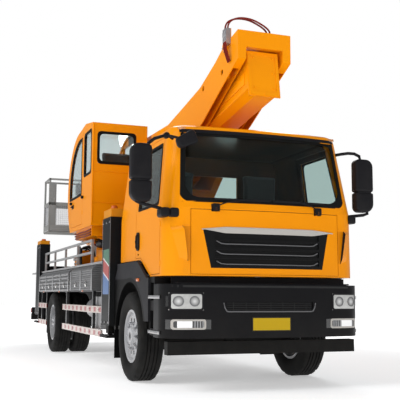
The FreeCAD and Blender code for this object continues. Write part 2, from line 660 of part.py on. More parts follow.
def drive_line():
    web = d.railOuterY - d.railWall - d.seatGap
    block = box("EngineBlock", (d.engineRearX, d.engineFrontX), (-d.engineHalf, d.engineHalf),
                (d.engineLow, d.engineTop))
    mounts = box("EngineMounts", (d.engineRearX + 300, d.engineRearX + 420), (-web, web),
                 (d.railTop - 180, d.railTop - 100))
    gearbox = box("Gearbox", (d.gearboxRearX, d.engineRearX), (-d.gearboxHalf, d.gearboxHalf),
                  (d.gearboxLow, d.railTop))
    power = fuse("EngineGearbox", block, gearbox, mounts)
    rear = d.frontAxleX - d.wheelbase
    dip = d.shaftRise - d.shaftRadius
    shaft = rod("PropellerShaft", "X",
                rear + root(d.diffRadius * d.diffRadius - dip * dip) + d.seatGap,
                d.gearboxRearX - d.seatGap, (0, d.wheelCentreZ + d.shaftRise), d.shaftRadius)
    return node("engine_and_shaft", group("DriveLine", power, shaft))


def tanks():
    right = rounded("TankRound", prism("FuelTank", "YZ", [
        (d.tankInnerY, d.tankLow), (d.tankOuterY, d.tankLow), (d.tankOuterY, d.tankTop),
        (d.tankInnerY, d.tankTop)], d.tankRearX, d.tankFrontX), 60, along(X_AXIS))
    strap = box("TankBracket", (d.tankRearX + 200, d.tankFrontX - 200),
                (d.railOuterY + d.seatGap, d.tankInnerY), (d.tankTop - 200, d.tankTop - 60))
    tank = fuse("FuelTankOnBracket", right, strap)
    trays = box("BatteryBox", (d.tankFrontX - 500, d.tankFrontX),
                (-d.tankOuterY, -d.tankInnerY), (d.tankLow, d.tankTop))
    vessel = rod("AirTank", "X", d.tankRearX, d.tankRearX + d.vesselLong,
                 (-d.tankOuterY + 170, d.tankTop - 170), 140)
    arms = box("BatteryBracket", (d.tankRearX + 100, d.tankFrontX - 100),
               (-d.tankInnerY - 260, -d.railOuterY - d.seatGap),
               (d.tankTop - 200, d.tankTop - 60))
    battery = fuse("BatteryBoxOnBracket", trays, vessel, arms)
    return node("fuel_and_air_tanks", group("ChassisTanks", tank, battery))


# Driver's cab

def cab_plan(front, half, corner, inset, rear_inset):
    """Plan outline of the cab at one height: straight sides, tangent corners and a bowed front."""
    wide = half - inset
    bend = corner - inset
    nose = front - inset
    shoulder = wide - bend * (1 - sine(d.bowAngle))
    bow = shoulder / sine(d.bowAngle)
    sag = bow * (1 - cosine(d.bowAngle))
    start = nose - sag - bend * cosine(d.bowAngle)
    back = d.cabRearX + rear_inset
    return [(back, -wide), (start, -wide, bend), (nose - sag, -shoulder, bow),
            (nose - sag, shoulder, bend), (start, wide), (back, wide)]


def cab_block(name, inset, low, rear_inset):
    """The cab's outer form, or the same form drawn in by an inset."""
    brow = d.cabRoofZ - d.roofRound
    return lofted(name, [
        (low, cab_plan(d.cabFootX, d.cabHalf, d.cabCorner, inset, rear_inset)),
        (d.cabBeltZ, cab_plan(d.cabBeltX, d.cabHalf, d.cabCorner, inset, rear_inset)),
        (brow - inset, cab_plan(d.cabRoofX, CAB_ROOF_HALF, d.roofCorner, inset, rear_inset)),
        (d.cabRoofZ - 0.28 * d.roofRound - inset,
         cab_plan(d.cabRoofX, CAB_ROOF_HALF, d.roofCorner, inset + 0.3 * d.roofRound,
                  rear_inset)),
        (d.cabRoofZ - inset,
         cab_plan(d.cabRoofX, CAB_ROOF_HALF, d.roofCorner, inset + 0.95 * d.roofRound,
                  rear_inset))])


def arch_outline(lift):
    """The wheel arch under the cab, raised by lift."""
    rear = d.cabRearX - 50
    return [(rear, 1000), (rear, d.archTop + lift), (d.cabRearX + d.archFlat, d.archTop + lift),
            (d.cabRearX + d.archKnee, d.archKneeZ + lift),
            (d.cabRearX + d.archEnd, d.archEndZ + lift),
            (d.cabRearX + d.archEnd + lift * 1.2, d.cabFloorZ - 1),
            (d.cabRearX + d.archEnd + lift * 1.2, 1000)]


def door_outline(grow, ahead):
    """Driver's door in side view, grown by an amount, and by another at its upright edges."""
    sill = d.doorSill - grow
    return [(d.doorFrontX + ahead, d.cabFloorZ + sill),
            (d.cabRearX + d.archEnd + 15 - grow / 2, d.cabFloorZ + sill),
            (d.cabRearX + d.archKnee + 10 - grow / 2, d.archKneeZ + sill),
            (d.cabRearX + d.archFlat, d.archTop + sill),
            (d.doorRearX - ahead, d.archTop + sill),
            (d.doorRearX - ahead, d.doorTopZ + grow),
            (d.doorTopFrontX + ahead, d.doorTopZ + grow),
            (d.doorFrontX + ahead, d.cabBeltZ + 10)]


def door_window(shrink):
    """Glass opening of the driver's door in side view."""
    rim = d.doorGlassRim + shrink
    return [(d.doorRearX + rim, d.doorGlassLow + shrink),
            (d.doorFrontX - rim, d.doorGlassLow + shrink),
            (d.doorTopFrontX - rim + 25, d.doorGlassTop - shrink),
            (d.doorRearX + rim, d.doorGlassTop - shrink)]


def yz_trapezoid(low, top, low_half, top_half, shrink):
    return [(-low_half + shrink, low + shrink), (low_half - shrink, low + shrink),
            (top_half - shrink, top - shrink), (-top_half + shrink, top - shrink)]


def door_hinges(edge, face, ahead, inside, heights, name, deep):
    """Hinges of a door whose front edge stands at x = edge and whose skin at y = face. Gives
    the room cut for them, the pins on the frame, and the knuckles with tabs for the leaf."""
    centre = (edge + ahead, face + inside)
    rooms = []
    pins = []
    knuckles = []
    for index, height in enumerate(heights):
        tag = name + str(index)
        rooms.append(box(tag + "Room", (edge - 8, edge + ahead + d.hingeRoom),
                         (face - 40, face + deep), (height - 34, height + 34)))
        pins.append(rod(tag + "Pin", "Z", height - 36, height + 36, centre, d.hingePin))
        knuckle = rod(tag + "Knuckle", "Z", height - 28, height + 28, centre, d.hingeKnuckle)
        tab = box(tag + "Tab", (edge - 14, edge + ahead), (face + inside - 6, face + inside + 6),
                  (height - 28, height + 28))
        hole = rod(tag + "Hole", "Z", height - 40, height + 40, centre, d.hingePin + d.runGap)
        knuckles.append(cut(tag + "Leaf", fuse(tag + "LeafSolid", knuckle, tab), hole))
    return fuse(name + "Rooms", *rooms), group(name + "Pins", *pins), knuckles


def hinged_leaf(name, panel, knuckles):
    """A door leaf with its hinge knuckles."""
    return fuse(name, panel, *knuckles)


def flap_hinges():
    """Two hinges above the front flap: lugs with pins on the cab and arms on the flap."""
    axis_x = d.cabBeltX
    axis_z = d.flapTop + 2
    lug_y = FLAP_HINGE_Y
    lug = box("FlapLugTop", (axis_x - 62, axis_x + 8), (-lug_y - 8, -lug_y + 8),
              (d.flapTop + d.flapGap + 3, d.flapTop + d.flapGap + 20))
    drop = box("FlapLugDrop", (axis_x - 8, axis_x + 8), (-lug_y - 8, -lug_y + 8),
               (axis_z - 8, d.flapTop + d.flapGap + 20))
    pin = rod("FlapPin", "Y", -lug_y - 9, -lug_y + 40, (axis_x, axis_z), d.flapPin)
    arm = box("FlapArm", (axis_x - 40, axis_x), (-lug_y + 14, -lug_y + 34),
              (axis_z - 26, axis_z - 6))
    knuckle = rod("FlapKnuckle", "Y", -lug_y + 14, -lug_y + 34, (axis_x, axis_z),
                  d.flapPin + 6)
    hole = rod("FlapHole", "Y", -lug_y - 60, -lug_y + 60, (axis_x, axis_z), d.flapPin + d.runGap)
    return fuse("FlapLugs", lug, drop, pin), cut("FlapArms", fuse("FlapArmSolid", arm, knuckle),
                                                 hole)


def driver_cab():
    """The cab shell, its glass, the two doors with theirs and the front flap with its grille."""
    outside = cab_block("CabOuter", 0, d.cabFloorZ, 0)
    inside = cab_block("CabInner", d.cabWall, d.cabFloorZ + d.floorPan, d.cabWall)
    hollow = cut("CabHollow", outside, inside)
    pan = prism("ArchPan", "XZ", arch_outline(d.archPan), -d.cabHalf - 10, d.cabHalf + 10)
    panned = fuse("CabPanned", hollow, common("ArchInCab", outside, pan))
    arch = prism("ArchSpace", "XZ", arch_outline(0), -d.cabHalf - 20, d.cabHalf + 20)
    reach = d.cabHalf + 30
    near = d.cabHalf - 200
    doorway = prism("Doorway", "XZ", door_outline(d.doorGap, d.doorFrontGap), -reach, -near)
    doorway_left = mirrored("DoorwayLeft", doorway)
    screen = prism("ScreenHole", "YZ", yz_trapezoid(d.screenLowZ, d.screenTopZ, SCREEN_LOW_HALF,
                                                    SCREEN_TOP_HALF, 0), d.noseCutX, d.bumperX)
    rear_hole = box("RearWindowHole", (d.cabRearX - 20, d.cabRearX + 80),
                    (-d.rearWindowHalf, d.rearWindowHalf), (d.rearWindowLow, d.rearWindowTop))
    flap_core = cab_block("FlapCore", d.flapWall, d.cabFloorZ - 20, 0)
    recess_core = cab_block("RecessCore", d.flapWall + d.flapGap, d.cabFloorZ - 30, 0)
    flap_box = box("FlapBox", (d.noseCutX, d.bumperX), (-FLAP_HALF, FLAP_HALF),
                   (d.flapLow, d.flapTop))
    recess_box = box("RecessBox", (d.noseCutX, d.bumperX), (-FLAP_HALF - d.flapGap,
                                                      FLAP_HALF + d.flapGap),
                     (d.flapLow - d.flapGap, d.flapTop + d.flapGap))
    skin = cut("FlapSkin", outside, flap_core)
    recess = cut("FlapRecess", recess_box, recess_core)
    reliefs, pins, leaves = door_hinges(d.doorFrontX, -d.cabHalf, d.doorHingeAhead,
                                        d.doorHingeIn, ((d.cabFloorZ + 130), (d.cabBeltZ - 160)),
                                        "DriverDoor", d.cabWall - 8)
    reliefs_left = mirrored("DriverDoorReliefsLeft", reliefs)
    shell = cut("CabShell", panned, arch, doorway, doorway_left, screen, rear_hole, recess,
                reliefs, reliefs_left)
    mounts = []
    for index, (low, high, top) in enumerate(((d.cabRearX + 40, d.cabRearX + 160, d.archTop + 10),
                                              (d.cabFootX - 570, d.cabFootX - 450,
                                               d.cabFloorZ + 10))):
        mounts.append(box("CabMount" + str(index), (low, high),
                          (-d.railOuterY, -d.railOuterY + d.railFlange),
                          (d.railTop + d.seatGap, top)))
        mounts.append(mirrored("CabMountLeft" + str(index), mounts[-1]))
    flap_lugs, flap_arms = flap_hinges()
    lugs_left = mirrored("FlapLugsLeft", flap_lugs)
    arms_left = mirrored("FlapArmsLeft", flap_arms)
    pins_left = mirrored("DriverDoorPinsLeft", pins)
    node("driver_cab", fuse("CabWithMounts", shell, pins, pins_left, flap_lugs, lugs_left,
                            *mounts))

    glass_out = cab_block("GlassOuter", d.glassInset, d.cabFloorZ, d.glassInset)
    glass_in = cab_block("GlassInner", d.glassInset + d.glassWall, d.cabFloorZ - 5,
                         d.glassInset + d.glassWall)
    pane = cut("GlassSheet", glass_out, glass_in)
    wind = prism("ScreenPane", "YZ", yz_trapezoid(d.screenLowZ, d.screenTopZ, SCREEN_LOW_HALF,
                                                  SCREEN_TOP_HALF, d.glassGap), d.noseCutX, d.bumperX)
    rear_pane = box("RearPane", (d.cabRearX + d.glassInset, d.cabRearX + d.glassInset
                                 + d.glassWall),
                    (-d.rearWindowHalf + d.glassGap, d.rearWindowHalf - d.glassGap),
                    (d.rearWindowLow + d.glassGap, d.rearWindowTop - d.glassGap))
    node("cab_glass", group("CabGlass", common("Windscreen", pane, wind), rear_pane))

    leaf = prism("DoorLeaf", "XZ", door_outline(0, 0), -reach, -near)
    door_core = cab_block("DoorCore", d.cabWall, d.cabFloorZ - 30, 0)
    wall = cut("DoorWall", common("DoorSlice", outside, leaf), door_core)
    window = prism("DoorWindow", "XZ", door_window(0), -reach, -near)
    pair("driver_door", hinged_leaf("DriverDoor", cut("DriverDoorPanel", wall, window), leaves))
    side_pane = prism("DoorPane", "XZ", door_window(d.glassGap), -reach, -near)
    pair("driver_door_glass", common("DriverDoorGlass", pane, side_pane))

    grille_hole = prism("GrilleHole", "YZ", yz_trapezoid(
        d.grilleLow, d.grilleTop, GRILLE_LOW_HALF, GRILLE_TOP_HALF, 0), d.noseCutX, d.bumperX)
    panel = fuse("FrontFlap", cut("FlapFrame", common("FlapPanel", skin, flap_box), grille_hole),
                 flap_arms, arms_left)
    grille_body = prism("GrilleBody", "YZ", yz_trapezoid(
        d.grilleLow, d.grilleTop, GRILLE_LOW_HALF, GRILLE_TOP_HALF, d.seatGap), d.noseCutX, d.bumperX)
    grille_block = common("GrilleBlock", skin, grille_body)
    mesh_core = cab_block("GrilleCore", d.flapWall - 8, d.cabFloorZ - 25, 0)
    span = d.grilleTop - d.grilleLow
    pitch = (span - 2 * d.grilleRim) / (d.slatCount + 1)
    gaps = []
    for index in range(int(SIZES["slatCount"]) + 1):
        low = d.grilleLow + d.grilleRim + index * pitch + d.slatHeight / 2
        high = low + pitch - d.slatHeight
        gaps.append(box("SlatGap" + str(index), (d.noseCutX, d.bumperX),
                        (-GRILLE_LOW_HALF + 40, GRILLE_LOW_HALF - 40), (low, high)))
    slots = cut("GrilleSlots", fuse("SlatGaps", *gaps), mesh_core)
    grille = cut("FrontGrille", grille_block, slots)
    node("front_flap", group("FlapWithGrille", panel, grille))


def interior():
    floor = d.archTop + d.archPan
    pieces = []
    for index, side in enumerate((-1, 1)):
        middle = side * d.seatY
        wide = (middle - d.seatWide / 2, middle + d.seatWide / 2)
        pieces.append(box("Pedestal" + str(index), (d.seatX - 180, d.seatX + 180),
                          (middle - 180, middle + 180), (floor + d.seatGap, d.seatBase)))
        pieces.append(box("Cushion" + str(index), (d.seatX - d.seatLong / 2,
                                                   d.seatX + d.seatLong / 2), wide,
                          (d.seatBase, d.seatBase + d.cushion)))
        pieces.append(box("Backrest" + str(index), (d.seatX - d.seatLong / 2 - d.backThick,
                                                    d.seatX - d.seatLong / 2), wide,
                          (d.seatBase, d.seatBase + d.cushion + d.backHigh)))
    left = fuse("SeatLeft", *pieces[3:])
    right = fuse("SeatRight", *pieces[:3])
    half = d.cabHalf - d.cabWall - 10
    dash = prism("Dash", "XZ", [(d.dashRearX + 60, d.dashLow), (d.dashRearX, d.dashLow + 120),
                                (d.dashRearX + 60, d.dashTop), (d.cabBeltX - 190, d.dashTop - 20),
                                (d.cabBeltX - 190, d.dashLow)], -half + 110, half - 110)
    column = box("SteeringColumn", (d.steerX, d.dashRearX + 80),
                 (d.seatY - 40, d.seatY + 40), (d.dashTop - 130, d.dashTop - 50))
    stem = rod("SteeringStem", "Z", d.dashTop - 130, d.steerZ, (d.steerX + 40, d.seatY), 30)
    ring = doc.addObject("Part::Torus", "SteeringRing")
    bind(ring, "Radius1", d.steerRadius)
    bind(ring, "Radius2", d.steerTube)
    place(ring, d.steerX + 40, d.seatY, d.steerZ)
    spoke = box("SteeringSpoke", (d.steerX + 20, d.steerX + 60),
                (d.seatY - d.steerRadius, d.seatY + d.steerRadius), (d.steerZ - 12, d.steerZ + 8))
    foot = box("DashFoot", (d.cabBeltX - 260, d.cabBeltX - 190), (-300, 300),
               (d.cabFloorZ + d.floorPan + d.seatGap, d.dashLow))
    board = fuse("Dashboard", dash, column, stem, ring, spoke, foot)
    node("cab_interior", group("CabInterior", left, right, board))


# Bumper, lamps, underrun bar, steps and mudguards

def bumper_plan(inset):
    wide = BUMPER_HALF - inset
    bend = d.cabCorner - inset
    nose = d.bumperX - d.plateWall - inset
    shoulder = wide - bend * (1 - sine(d.bowAngle))
    bow = shoulder / sine(d.bowAngle)
    sag = bow * (1 - cosine(d.bowAngle))
    start = nose - sag - bend * cosine(d.bowAngle)
    return [(d.bumperRearX, -wide), (start, -wide, bend), (nose - sag, -shoulder, bow),
            (nose - sag, shoulder, bend), (start, wide), (d.bumperRearX, wide)]


def bumper():
    outer = prism("BumperOuter", "XY", bumper_plan(0), d.bumperLow, d.bumperTop)
    inner = prism("BumperInner", "XY", [(d.bumperRearX - 1, p[1]) if index in (0, 5) else p
                                        for index, p in enumerate(bumper_plan(d.bumperWall))],
                  d.bumperLow - 1, d.bumperTop + 1)
    ring = cut("BumperRing", outer, inner)
    blocks = [box("BumperBlock" + str(index), (d.bumperBlockX, d.bumperX - d.bumperWall),
                  edges, (d.blockLow, d.blockTop))
              for index, edges in enumerate(((-d.railOuterY, -d.railOuterY + d.railFlange),
                                             (d.railOuterY - d.railFlange, d.railOuterY)))]
    thin = prism("LampDepth", "XY", [(d.bumperRearX - 1, p[1]) if index in (0, 5) else p
                                     for index, p in enumerate(bumper_plan(d.lampDepth))],
                 d.bumperLow - 1, d.bumperTop + 1)
    skin = cut("LampRing", outer, thin)
    thin_cut = prism("LampCutDepth", "XY", [(d.bumperRearX - 1, p[1]) if index in (0, 5) else p
                                            for index, p in enumerate(
                                                bumper_plan(d.lampDepth + d.seatGap))],
                     d.bumperLow - 1, d.bumperTop + 1)
    deep = cut("LampCutRing", outer, thin_cut)
    lamps = []
    pockets = []
    for name, inner_y, low, high in (("Head", LAMP_INNER, d.lampLow, d.lampTop),
                                     ("Fog", FOG_INNER, d.fogLow, d.fogTop)):
        block = box(name + "LampBox", (d.bumperRearX, d.bumperX), (-LAMP_OUTER, -inner_y), (low, high))
        room = box(name + "LampRoom", (d.bumperRearX, d.bumperX),
                   (-LAMP_OUTER - d.seatGap, -inner_y + d.seatGap),
                   (low - d.seatGap, high + d.seatGap))
        lamps.append(common(name + "Lamp", skin, block))
        pocket = common(name + "Pocket", deep, room)
        pockets.append(pocket)
        pockets.append(mirrored(name + "PocketLeft", pocket))
    slot = prism("IntakeDepth", "XY", [(d.bumperRearX - 1, p[1]) if index in (0, 5) else p
                                       for index, p in enumerate(bumper_plan(d.intakeDepth))],
                 d.bumperLow - 1, d.bumperTop + 1)
    intake = common("Intake", cut("IntakeRing", outer, slot),
                    box("IntakeBox", (d.bumperRearX, d.bumperX), (-d.intakeHalf, d.intakeHalf),
                        (d.intakeLow, d.intakeTop)))
    plate = box("NumberPlate", (d.bumperX - d.plateWall - 8, d.bumperX),
                (-d.plateHalf, d.plateHalf), (d.plateLow, d.plateTop))
    body = fuse("BumperBody", ring, plate, *blocks)
    node("front_bumper", cut("FrontBumper", body, intake, *pockets))
    right = group("LampsRight", *lamps)
    node("front_lamps", group("FrontLamps", right, mirrored("LampsLeft", right)))
    mount = box("UnderrunBar", (d.underrunX - d.underrunDeep, d.underrunX),
                (-d.underrunHalf, d.underrunHalf), (d.underrunLow, d.underrunTop))
    legs = [box("UnderrunLeg" + str(index), (d.underrunX - d.underrunDeep, d.underrunX - 30),
                edges, (d.underrunTop, d.railTop - d.railDepth - d.seatGap))
            for index, edges in enumerate(((-d.railOuterY, -d.railOuterY + d.railFlange),
                                           (d.railOuterY - d.railFlange, d.railOuterY)))]
    tow = rod("TowBore", "Z", d.underrunLow - 5, d.underrunTop + 5,
              (d.underrunX - d.underrunDeep / 2, 0), d.towRadius)
    node("front_underrun", cut("FrontUnderrun", fuse("UnderrunSolid", mount, *legs), tow))


def steps_and_mudguards():
    block = box("StepBlock", (d.stepRearX, d.stepFrontX), (-STEP_OUTER, -d.stepInnerY),
                (d.stepLow, d.stepTop))
    treads = [box("Tread" + str(index), (d.stepRearX + 12, d.stepFrontX - 12),
                  (-STEP_OUTER - 1, -STEP_OUTER + d.treadDepth),
                  (low + d.treadHeight, low + d.treadHeight + 190))
              for index, low in enumerate((d.treadA - 60, d.treadB - 60))]
    tie = box("StepBracket", (d.stepRearX + 20, d.stepFrontX - 20),
              (-d.stepInnerY, -d.railOuterY - d.seatGap), (d.railTop - 150, d.railTop - 60))
    both("cab_steps", cut("CabSteps", fuse("StepSolid", block, tie), *treads))

    axle = d.frontAxleX
    radius = d.fenderRadius
    top = d.archTop - 16
    panel = prism("FenderPanel", "XZ", [
        (axle, d.fenderFrontZ), (axle, d.fenderRearZ), (axle - d.fenderRear, d.fenderRearZ),
        (axle - d.fenderRear, d.cabFloorZ - 10),
        (d.cabRearX - 10, top - 60), (d.cabRearX - 10, top), (d.cabRearX + d.archFlat - 10, top),
        (d.cabRearX + d.archKnee - 12, d.archKneeZ - 16),
        (d.cabRearX + d.archEnd - 12, d.cabFloorZ - 16),
        (axle + d.fenderFront, d.cabFloorZ - 16), (axle + d.fenderFront, d.fenderFrontZ)],
        -FENDER_OUTER, -FENDER_OUTER + d.fenderPanel)
    outer = radius + d.fenderBand
    inner = radius + 3
    out = -FENDER_OUTER
    well = rod("FenderWell", "Y", out - 1, out + d.fenderPanel + 1, (axle, d.wheelCentreZ), radius)
    ring = cut("FenderRing", rod("FenderRingOut", "Y", out + d.fenderPanel - 2, -d.fenderInnerY,
                                 (axle, d.wheelCentreZ), outer),
               rod("FenderRingIn", "Y", out, -d.fenderInnerY + 1, (axle, d.wheelCentreZ), inner))
    upper = box("FenderUpper", (axle - outer - 1, axle + outer + 1), (out, -d.fenderInnerY + 1),
                (d.fenderFrontZ + 8, d.wheelCentreZ + outer + 1))
    band = common("FenderBand", ring, upper)
    tie = box("FenderBracket", (axle - 30, axle + 30), (-d.fenderInnerY - 40, -d.railOuterY
                                                       + d.railFlange),
              (d.wheelCentreZ + outer + 30, d.wheelCentreZ + outer + 70))
    post = box("FenderPost", (axle - 28, axle + 28), (-d.railOuterY, -d.railOuterY
                                                    + d.railFlange - 5),
               (d.railTop + d.seatGap, d.wheelCentreZ + outer + 60))
    seat = box("FenderSeat", (axle - 25, axle + 25), (-d.fenderInnerY - 35, -d.fenderInnerY - 5),
               (d.wheelCentreZ + outer - 10, d.wheelCentreZ + outer + 40))
    flap = box("MudFlapFront", (axle - d.fenderRear + 8, axle - d.fenderRear + 18),
               (-FENDER_OUTER + 5, -d.fenderInnerY), (210, d.fenderRearZ - d.seatGap))
    guard = fuse("MudguardShell", cut("FenderSide", panel, well), band, tie, post, seat)
    return [guard, mirrored("MudguardShellLeft", guard), flap,
            mirrored("MudFlapFrontLeft", flap)]


def mirrors():
    inner = -MIRROR_INNER
    outer = -MIRROR_OUTER
    split = d.mirrorLow + (d.mirrorTop - d.mirrorLow) * 0.27
    pieces = []
    for name, low, high in (("Main", split + 8, d.mirrorTop), ("Wide", d.mirrorLow, split)):
        body = prism(name + "Mirror", "XY", [
            (d.mirrorX - d.mirrorDeep / 2, outer), (d.mirrorX - d.mirrorDeep / 2, inner),
            (d.mirrorX + d.mirrorDeep / 2, inner), (d.mirrorX + d.mirrorDeep / 2, outer)],
            low, high)
        pieces.append(rounded(name + "MirrorRound", body, d.mirrorRound, along(Z_AXIS)))
    post = rod("MirrorPost", "Z", d.mirrorLow - 90, d.mirrorTop + 70, (d.mirrorX, inner + 10),
               d.mirrorTube)
    low_arm = box("MirrorLowArm", (d.mirrorX - 60, d.mirrorX + 20),
                  (inner - 5, -d.cabHalf + 58), (d.mirrorLow - 110, d.mirrorLow - 75))
    mount = box("MirrorMount", (d.mirrorX - 138, d.mirrorX + 20),
                (-d.cabHalf - 40, -d.cabHalf + 62), (d.mirrorLow - 150, d.mirrorLow - 70))
    high_arm = box("MirrorHighArm", (d.mirrorX - 20, d.mirrorX + 20),
                   (inner - 5, -d.cabHalf + 75), (d.mirrorTop + 50, d.mirrorTop + 85))
    high_reach = box("MirrorHighReach", (d.doorTopFrontX + 30, d.mirrorX + 20),
                     (-d.cabHalf + 35, -d.cabHalf + 75), (d.mirrorTop + 50, d.mirrorTop + 85))
    solid = fuse("MirrorSolid", post, low_arm, mount, high_arm, high_reach, *pieces)
    trim = cab_block("MirrorTrim", -d.seatGap, d.cabFloorZ, -50)
    both("cab_mirrors", cut("CabMirror", solid, trim))


# Deck, lockers, guards, hand rails and tail

def deck():
    edge = d.deckHalf
    low = d.deckTop - d.deckThick
    plate = box("DeckPlate", (RIGGER_FRONT + 5, d.deckFrontX),
                (-edge, edge), (low, d.deckTop))
    hole = rod("DeckHole", "Z", low - 1, d.deckTop + 1, (d.slewX, 0), d.pedestalRadius + 5)
    tail = box("TailPlate", (FRAME_REAR, REAR_RIGGER - d.riggerLong / 2 - 5), (-edge, edge),
               (low, d.deckTop))
    bearers = []
    for index, share in enumerate((0.02, 0.24, 0.5, 0.66, 0.9, 0.985)):
        middle = FRAME_REAR + 60 + share * (d.deckFrontX - FRAME_REAR - 120)
        if index in (1,):
            middle = middle + 60
        bearers.append(box("Bearer" + str(index), (middle - d.bearerWide / 2,
                                                   middle + d.bearerWide / 2),
                           (-d.lockerInnerY + 10, d.lockerInnerY - 10),
                           (d.subTop + d.seatGap, low)))
    main = fuse("MainDeck", cut("MainDeckPlate", plate, hole), *bearers[2:])
    rear = fuse("RearDeck", tail, bearers[0])
    middle_bearer = bearers[1]
    return [fuse("MainDeckAll", main, middle_bearer), rear]


def locker(name, front, rear):
    """A closed aluminium locker: chamfered top edge, ribbed outer side, brackets to the frame."""
    outer = d.lockerOuterY - d.lockerRib
    section = [(-outer, d.lockerLow), (-d.lockerInnerY, d.lockerLow),
               (-d.lockerInnerY, d.lockerTop), (-outer + d.lockerChamfer, d.lockerTop),
               (-outer, d.lockerTop - d.lockerChamfer)]
    body = prism(name + "Body", "YZ", section, rear, front)
    ribs = []
    room = SIZES["lockerTop"] - SIZES["lockerLow"] - SIZES["lockerChamfer"]
    count = int(room // SIZES["ribPitch"])
    for index in range(count):
        low = d.lockerLow + 12 + index * d.ribPitch
        ribs.append(box(name + "Rib" + str(index), (rear + 25, front - 25),
                        (-d.lockerOuterY, -outer + 1), (low, low + d.ribPitch / 2)))
    brackets = [box(name + "Bracket" + str(index), (spot - 40, spot + 40),
                    (-d.lockerInnerY - 1, -d.railOuterY - d.seatGap),
                    (d.lockerLow + 40, d.lockerLow + 110))
                for index, spot in enumerate((rear + 200, front - 200))]
    return fuse(name, body, *(ribs + brackets))


def lockers():
    first = locker("LockerA", d.lockerAX, d.lockerBX + d.lockerGap)
    second = locker("LockerB", d.lockerBX, RIGGER_FRONT + d.riggerGap)
    both("lockers", group("LockersRight", first, second))


def guards():
    outer = -d.guardY - d.guardThick
    inner = -d.guardY
    pieces = []
    top = d.lockerLow - d.seatGap
    for name, front, rear, first in (
            ("Side", d.guardFrontX, REAR_AXLE + d.guardAhead, d.lockerAX - d.guardPost),
            ("Tail", REAR_AXLE - d.guardBehind, RIGGER_FRONT + d.guardEnd,
             REAR_AXLE - d.guardBehind - d.postInset)):
        bars = [box(name + "Bar" + str(index), (rear, front), (outer, inner),
                    (low, low + d.guardHigh))
                for index, low in enumerate((d.guardLowZ, d.guardUpZ))]
        posts = [box(name + "Post" + str(index), (spot - d.guardPost / 2, spot + d.guardPost / 2),
                     (inner, inner + 40), (d.guardLowZ, top))
                 for index, spot in enumerate((first, rear + d.postInset))]
        pieces.append(fuse(name + "Guard", *(bars + posts)))
    return both("side_guards", group("SideGuards", *pieces))


def hand_rails():
    """Rails along both edges of the deck."""
    half = d.railPost / 2
    hand_rail_rear = RIGGER_FRONT + d.handRailEnd
    spots = [hand_rail_rear + share * (d.handRailFrontX - hand_rail_rear)
             for share in (0.0, 0.25, 0.5, 0.75, 1.0)]
    posts = [box("RailPost" + str(index), (spot - half, spot + half),
                 (-d.handRailY - half, -d.handRailY + half), (d.deckTop + d.seatGap, d.handRailZ))
             for index, spot in enumerate(spots)]
    bars = [box("HandBar" + str(index), (hand_rail_rear - half, d.handRailFrontX + half),
                (-d.handRailY - half, -d.handRailY + half), (level - d.railPost, level))
            for index, level in enumerate((d.handRailZ, (d.handRailZ + d.deckTop) / 2))]
    right = fuse("HandRail", *(posts + bars))
    return [right, mirrored("HandRailLeft", right)]


def tail():
    bar = box("TailBar", (TAIL_BAR, TAIL_BAR + 90), (-d.tailBarHalf, d.tailBarHalf),
              (d.tailBarLow, d.tailBarLow + d.tailBarHigh))
    pieces = [bar]
    for index, side in enumerate((-1, 1)):
        near = side * (d.railOuterY - d.railFlange)
        far = side * d.railOuterY
        edges = (near, far) if side > 0 else (far, near)
        pieces.append(box("TailLeg" + str(index), (FRAME_REAR + 5, FRAME_REAR + 85), edges,
                          (d.tailBarLow, d.railTop - d.railDepth - d.seatGap)))
        spot = side * (d.tailBarHalf - 210)
        pieces.append(box("TailLampPlate" + str(index), (TAIL_BAR + 10, TAIL_BAR + 60),
                          (spot - 200, spot + 200),
                          (d.tailBarLow + d.tailBarHigh, d.tailBarLow + d.tailBarHigh
                           + d.tailLampHigh)))
    bumper_bar = fuse("RearBumperBar", *pieces)
    lamps = [box("TailLamp" + str(index), (TAIL_BAR - 30, TAIL_BAR + 10 - d.seatGap),
                 (spot - 190, spot + 190),
                 (d.tailBarLow + d.tailBarHigh + 10, d.tailBarLow + d.tailBarHigh
                  + d.tailLampHigh - 10))
             for index, spot in enumerate((-d.tailBarHalf + 210, d.tailBarHalf - 210))]
    node("rear_underrun", group("RearUnderrun", bumper_bar, *lamps))
    flap_x = REAR_AXLE - d.flapBack
    sheet_flap = box("MudFlapRear", (flap_x, flap_x + 10),
                     (-d.lockerOuterY + 10, -d.twinInnerY + 130),
                     (d.flapLowZ, d.lockerLow - d.seatGap))
    return [sheet_flap, mirrored("MudFlapRearLeft", sheet_flap)]


def boom_rest():
    """A padded cross bar that carries the stowed boom."""
    base = d.deckTop + d.seatGap
    posts = [box("RestPost" + str(index), (d.restX - 50, d.restX + 50), edges,
                 (base, boom_floor(d.restX) - 70))
             for index, edges in enumerate(((-d.restHalf, -d.restHalf + 80),
                                            (d.restHalf - 80, d.restHalf)))]
    bar = box("RestBar", (d.restX - 50, d.restX + 50), (-d.restHalf, d.restHalf),
              (boom_floor(d.restX) - 90, boom_floor(d.restX) - 24))
    return [fuse("BoomRest", bar, *posts)]


# Turret: slewing table, mast with its cheeks, hoses, operator's cabin

HOSE_SHARE = 0.45
# Hand-placed points of the front hose, from the boom head's upper front edge
HOSE_POINTS = [(-225, -347, 77), (-225, -347, 152), (-190, -238, 210), (-120, -105, 184),
               (-67, 5, 112), (-55, 80, 57), (-98, 118, 22), (-145, 75, 18),
               (-162, -10, 37), (-170, -60, 30), (-170, -60, -10)]


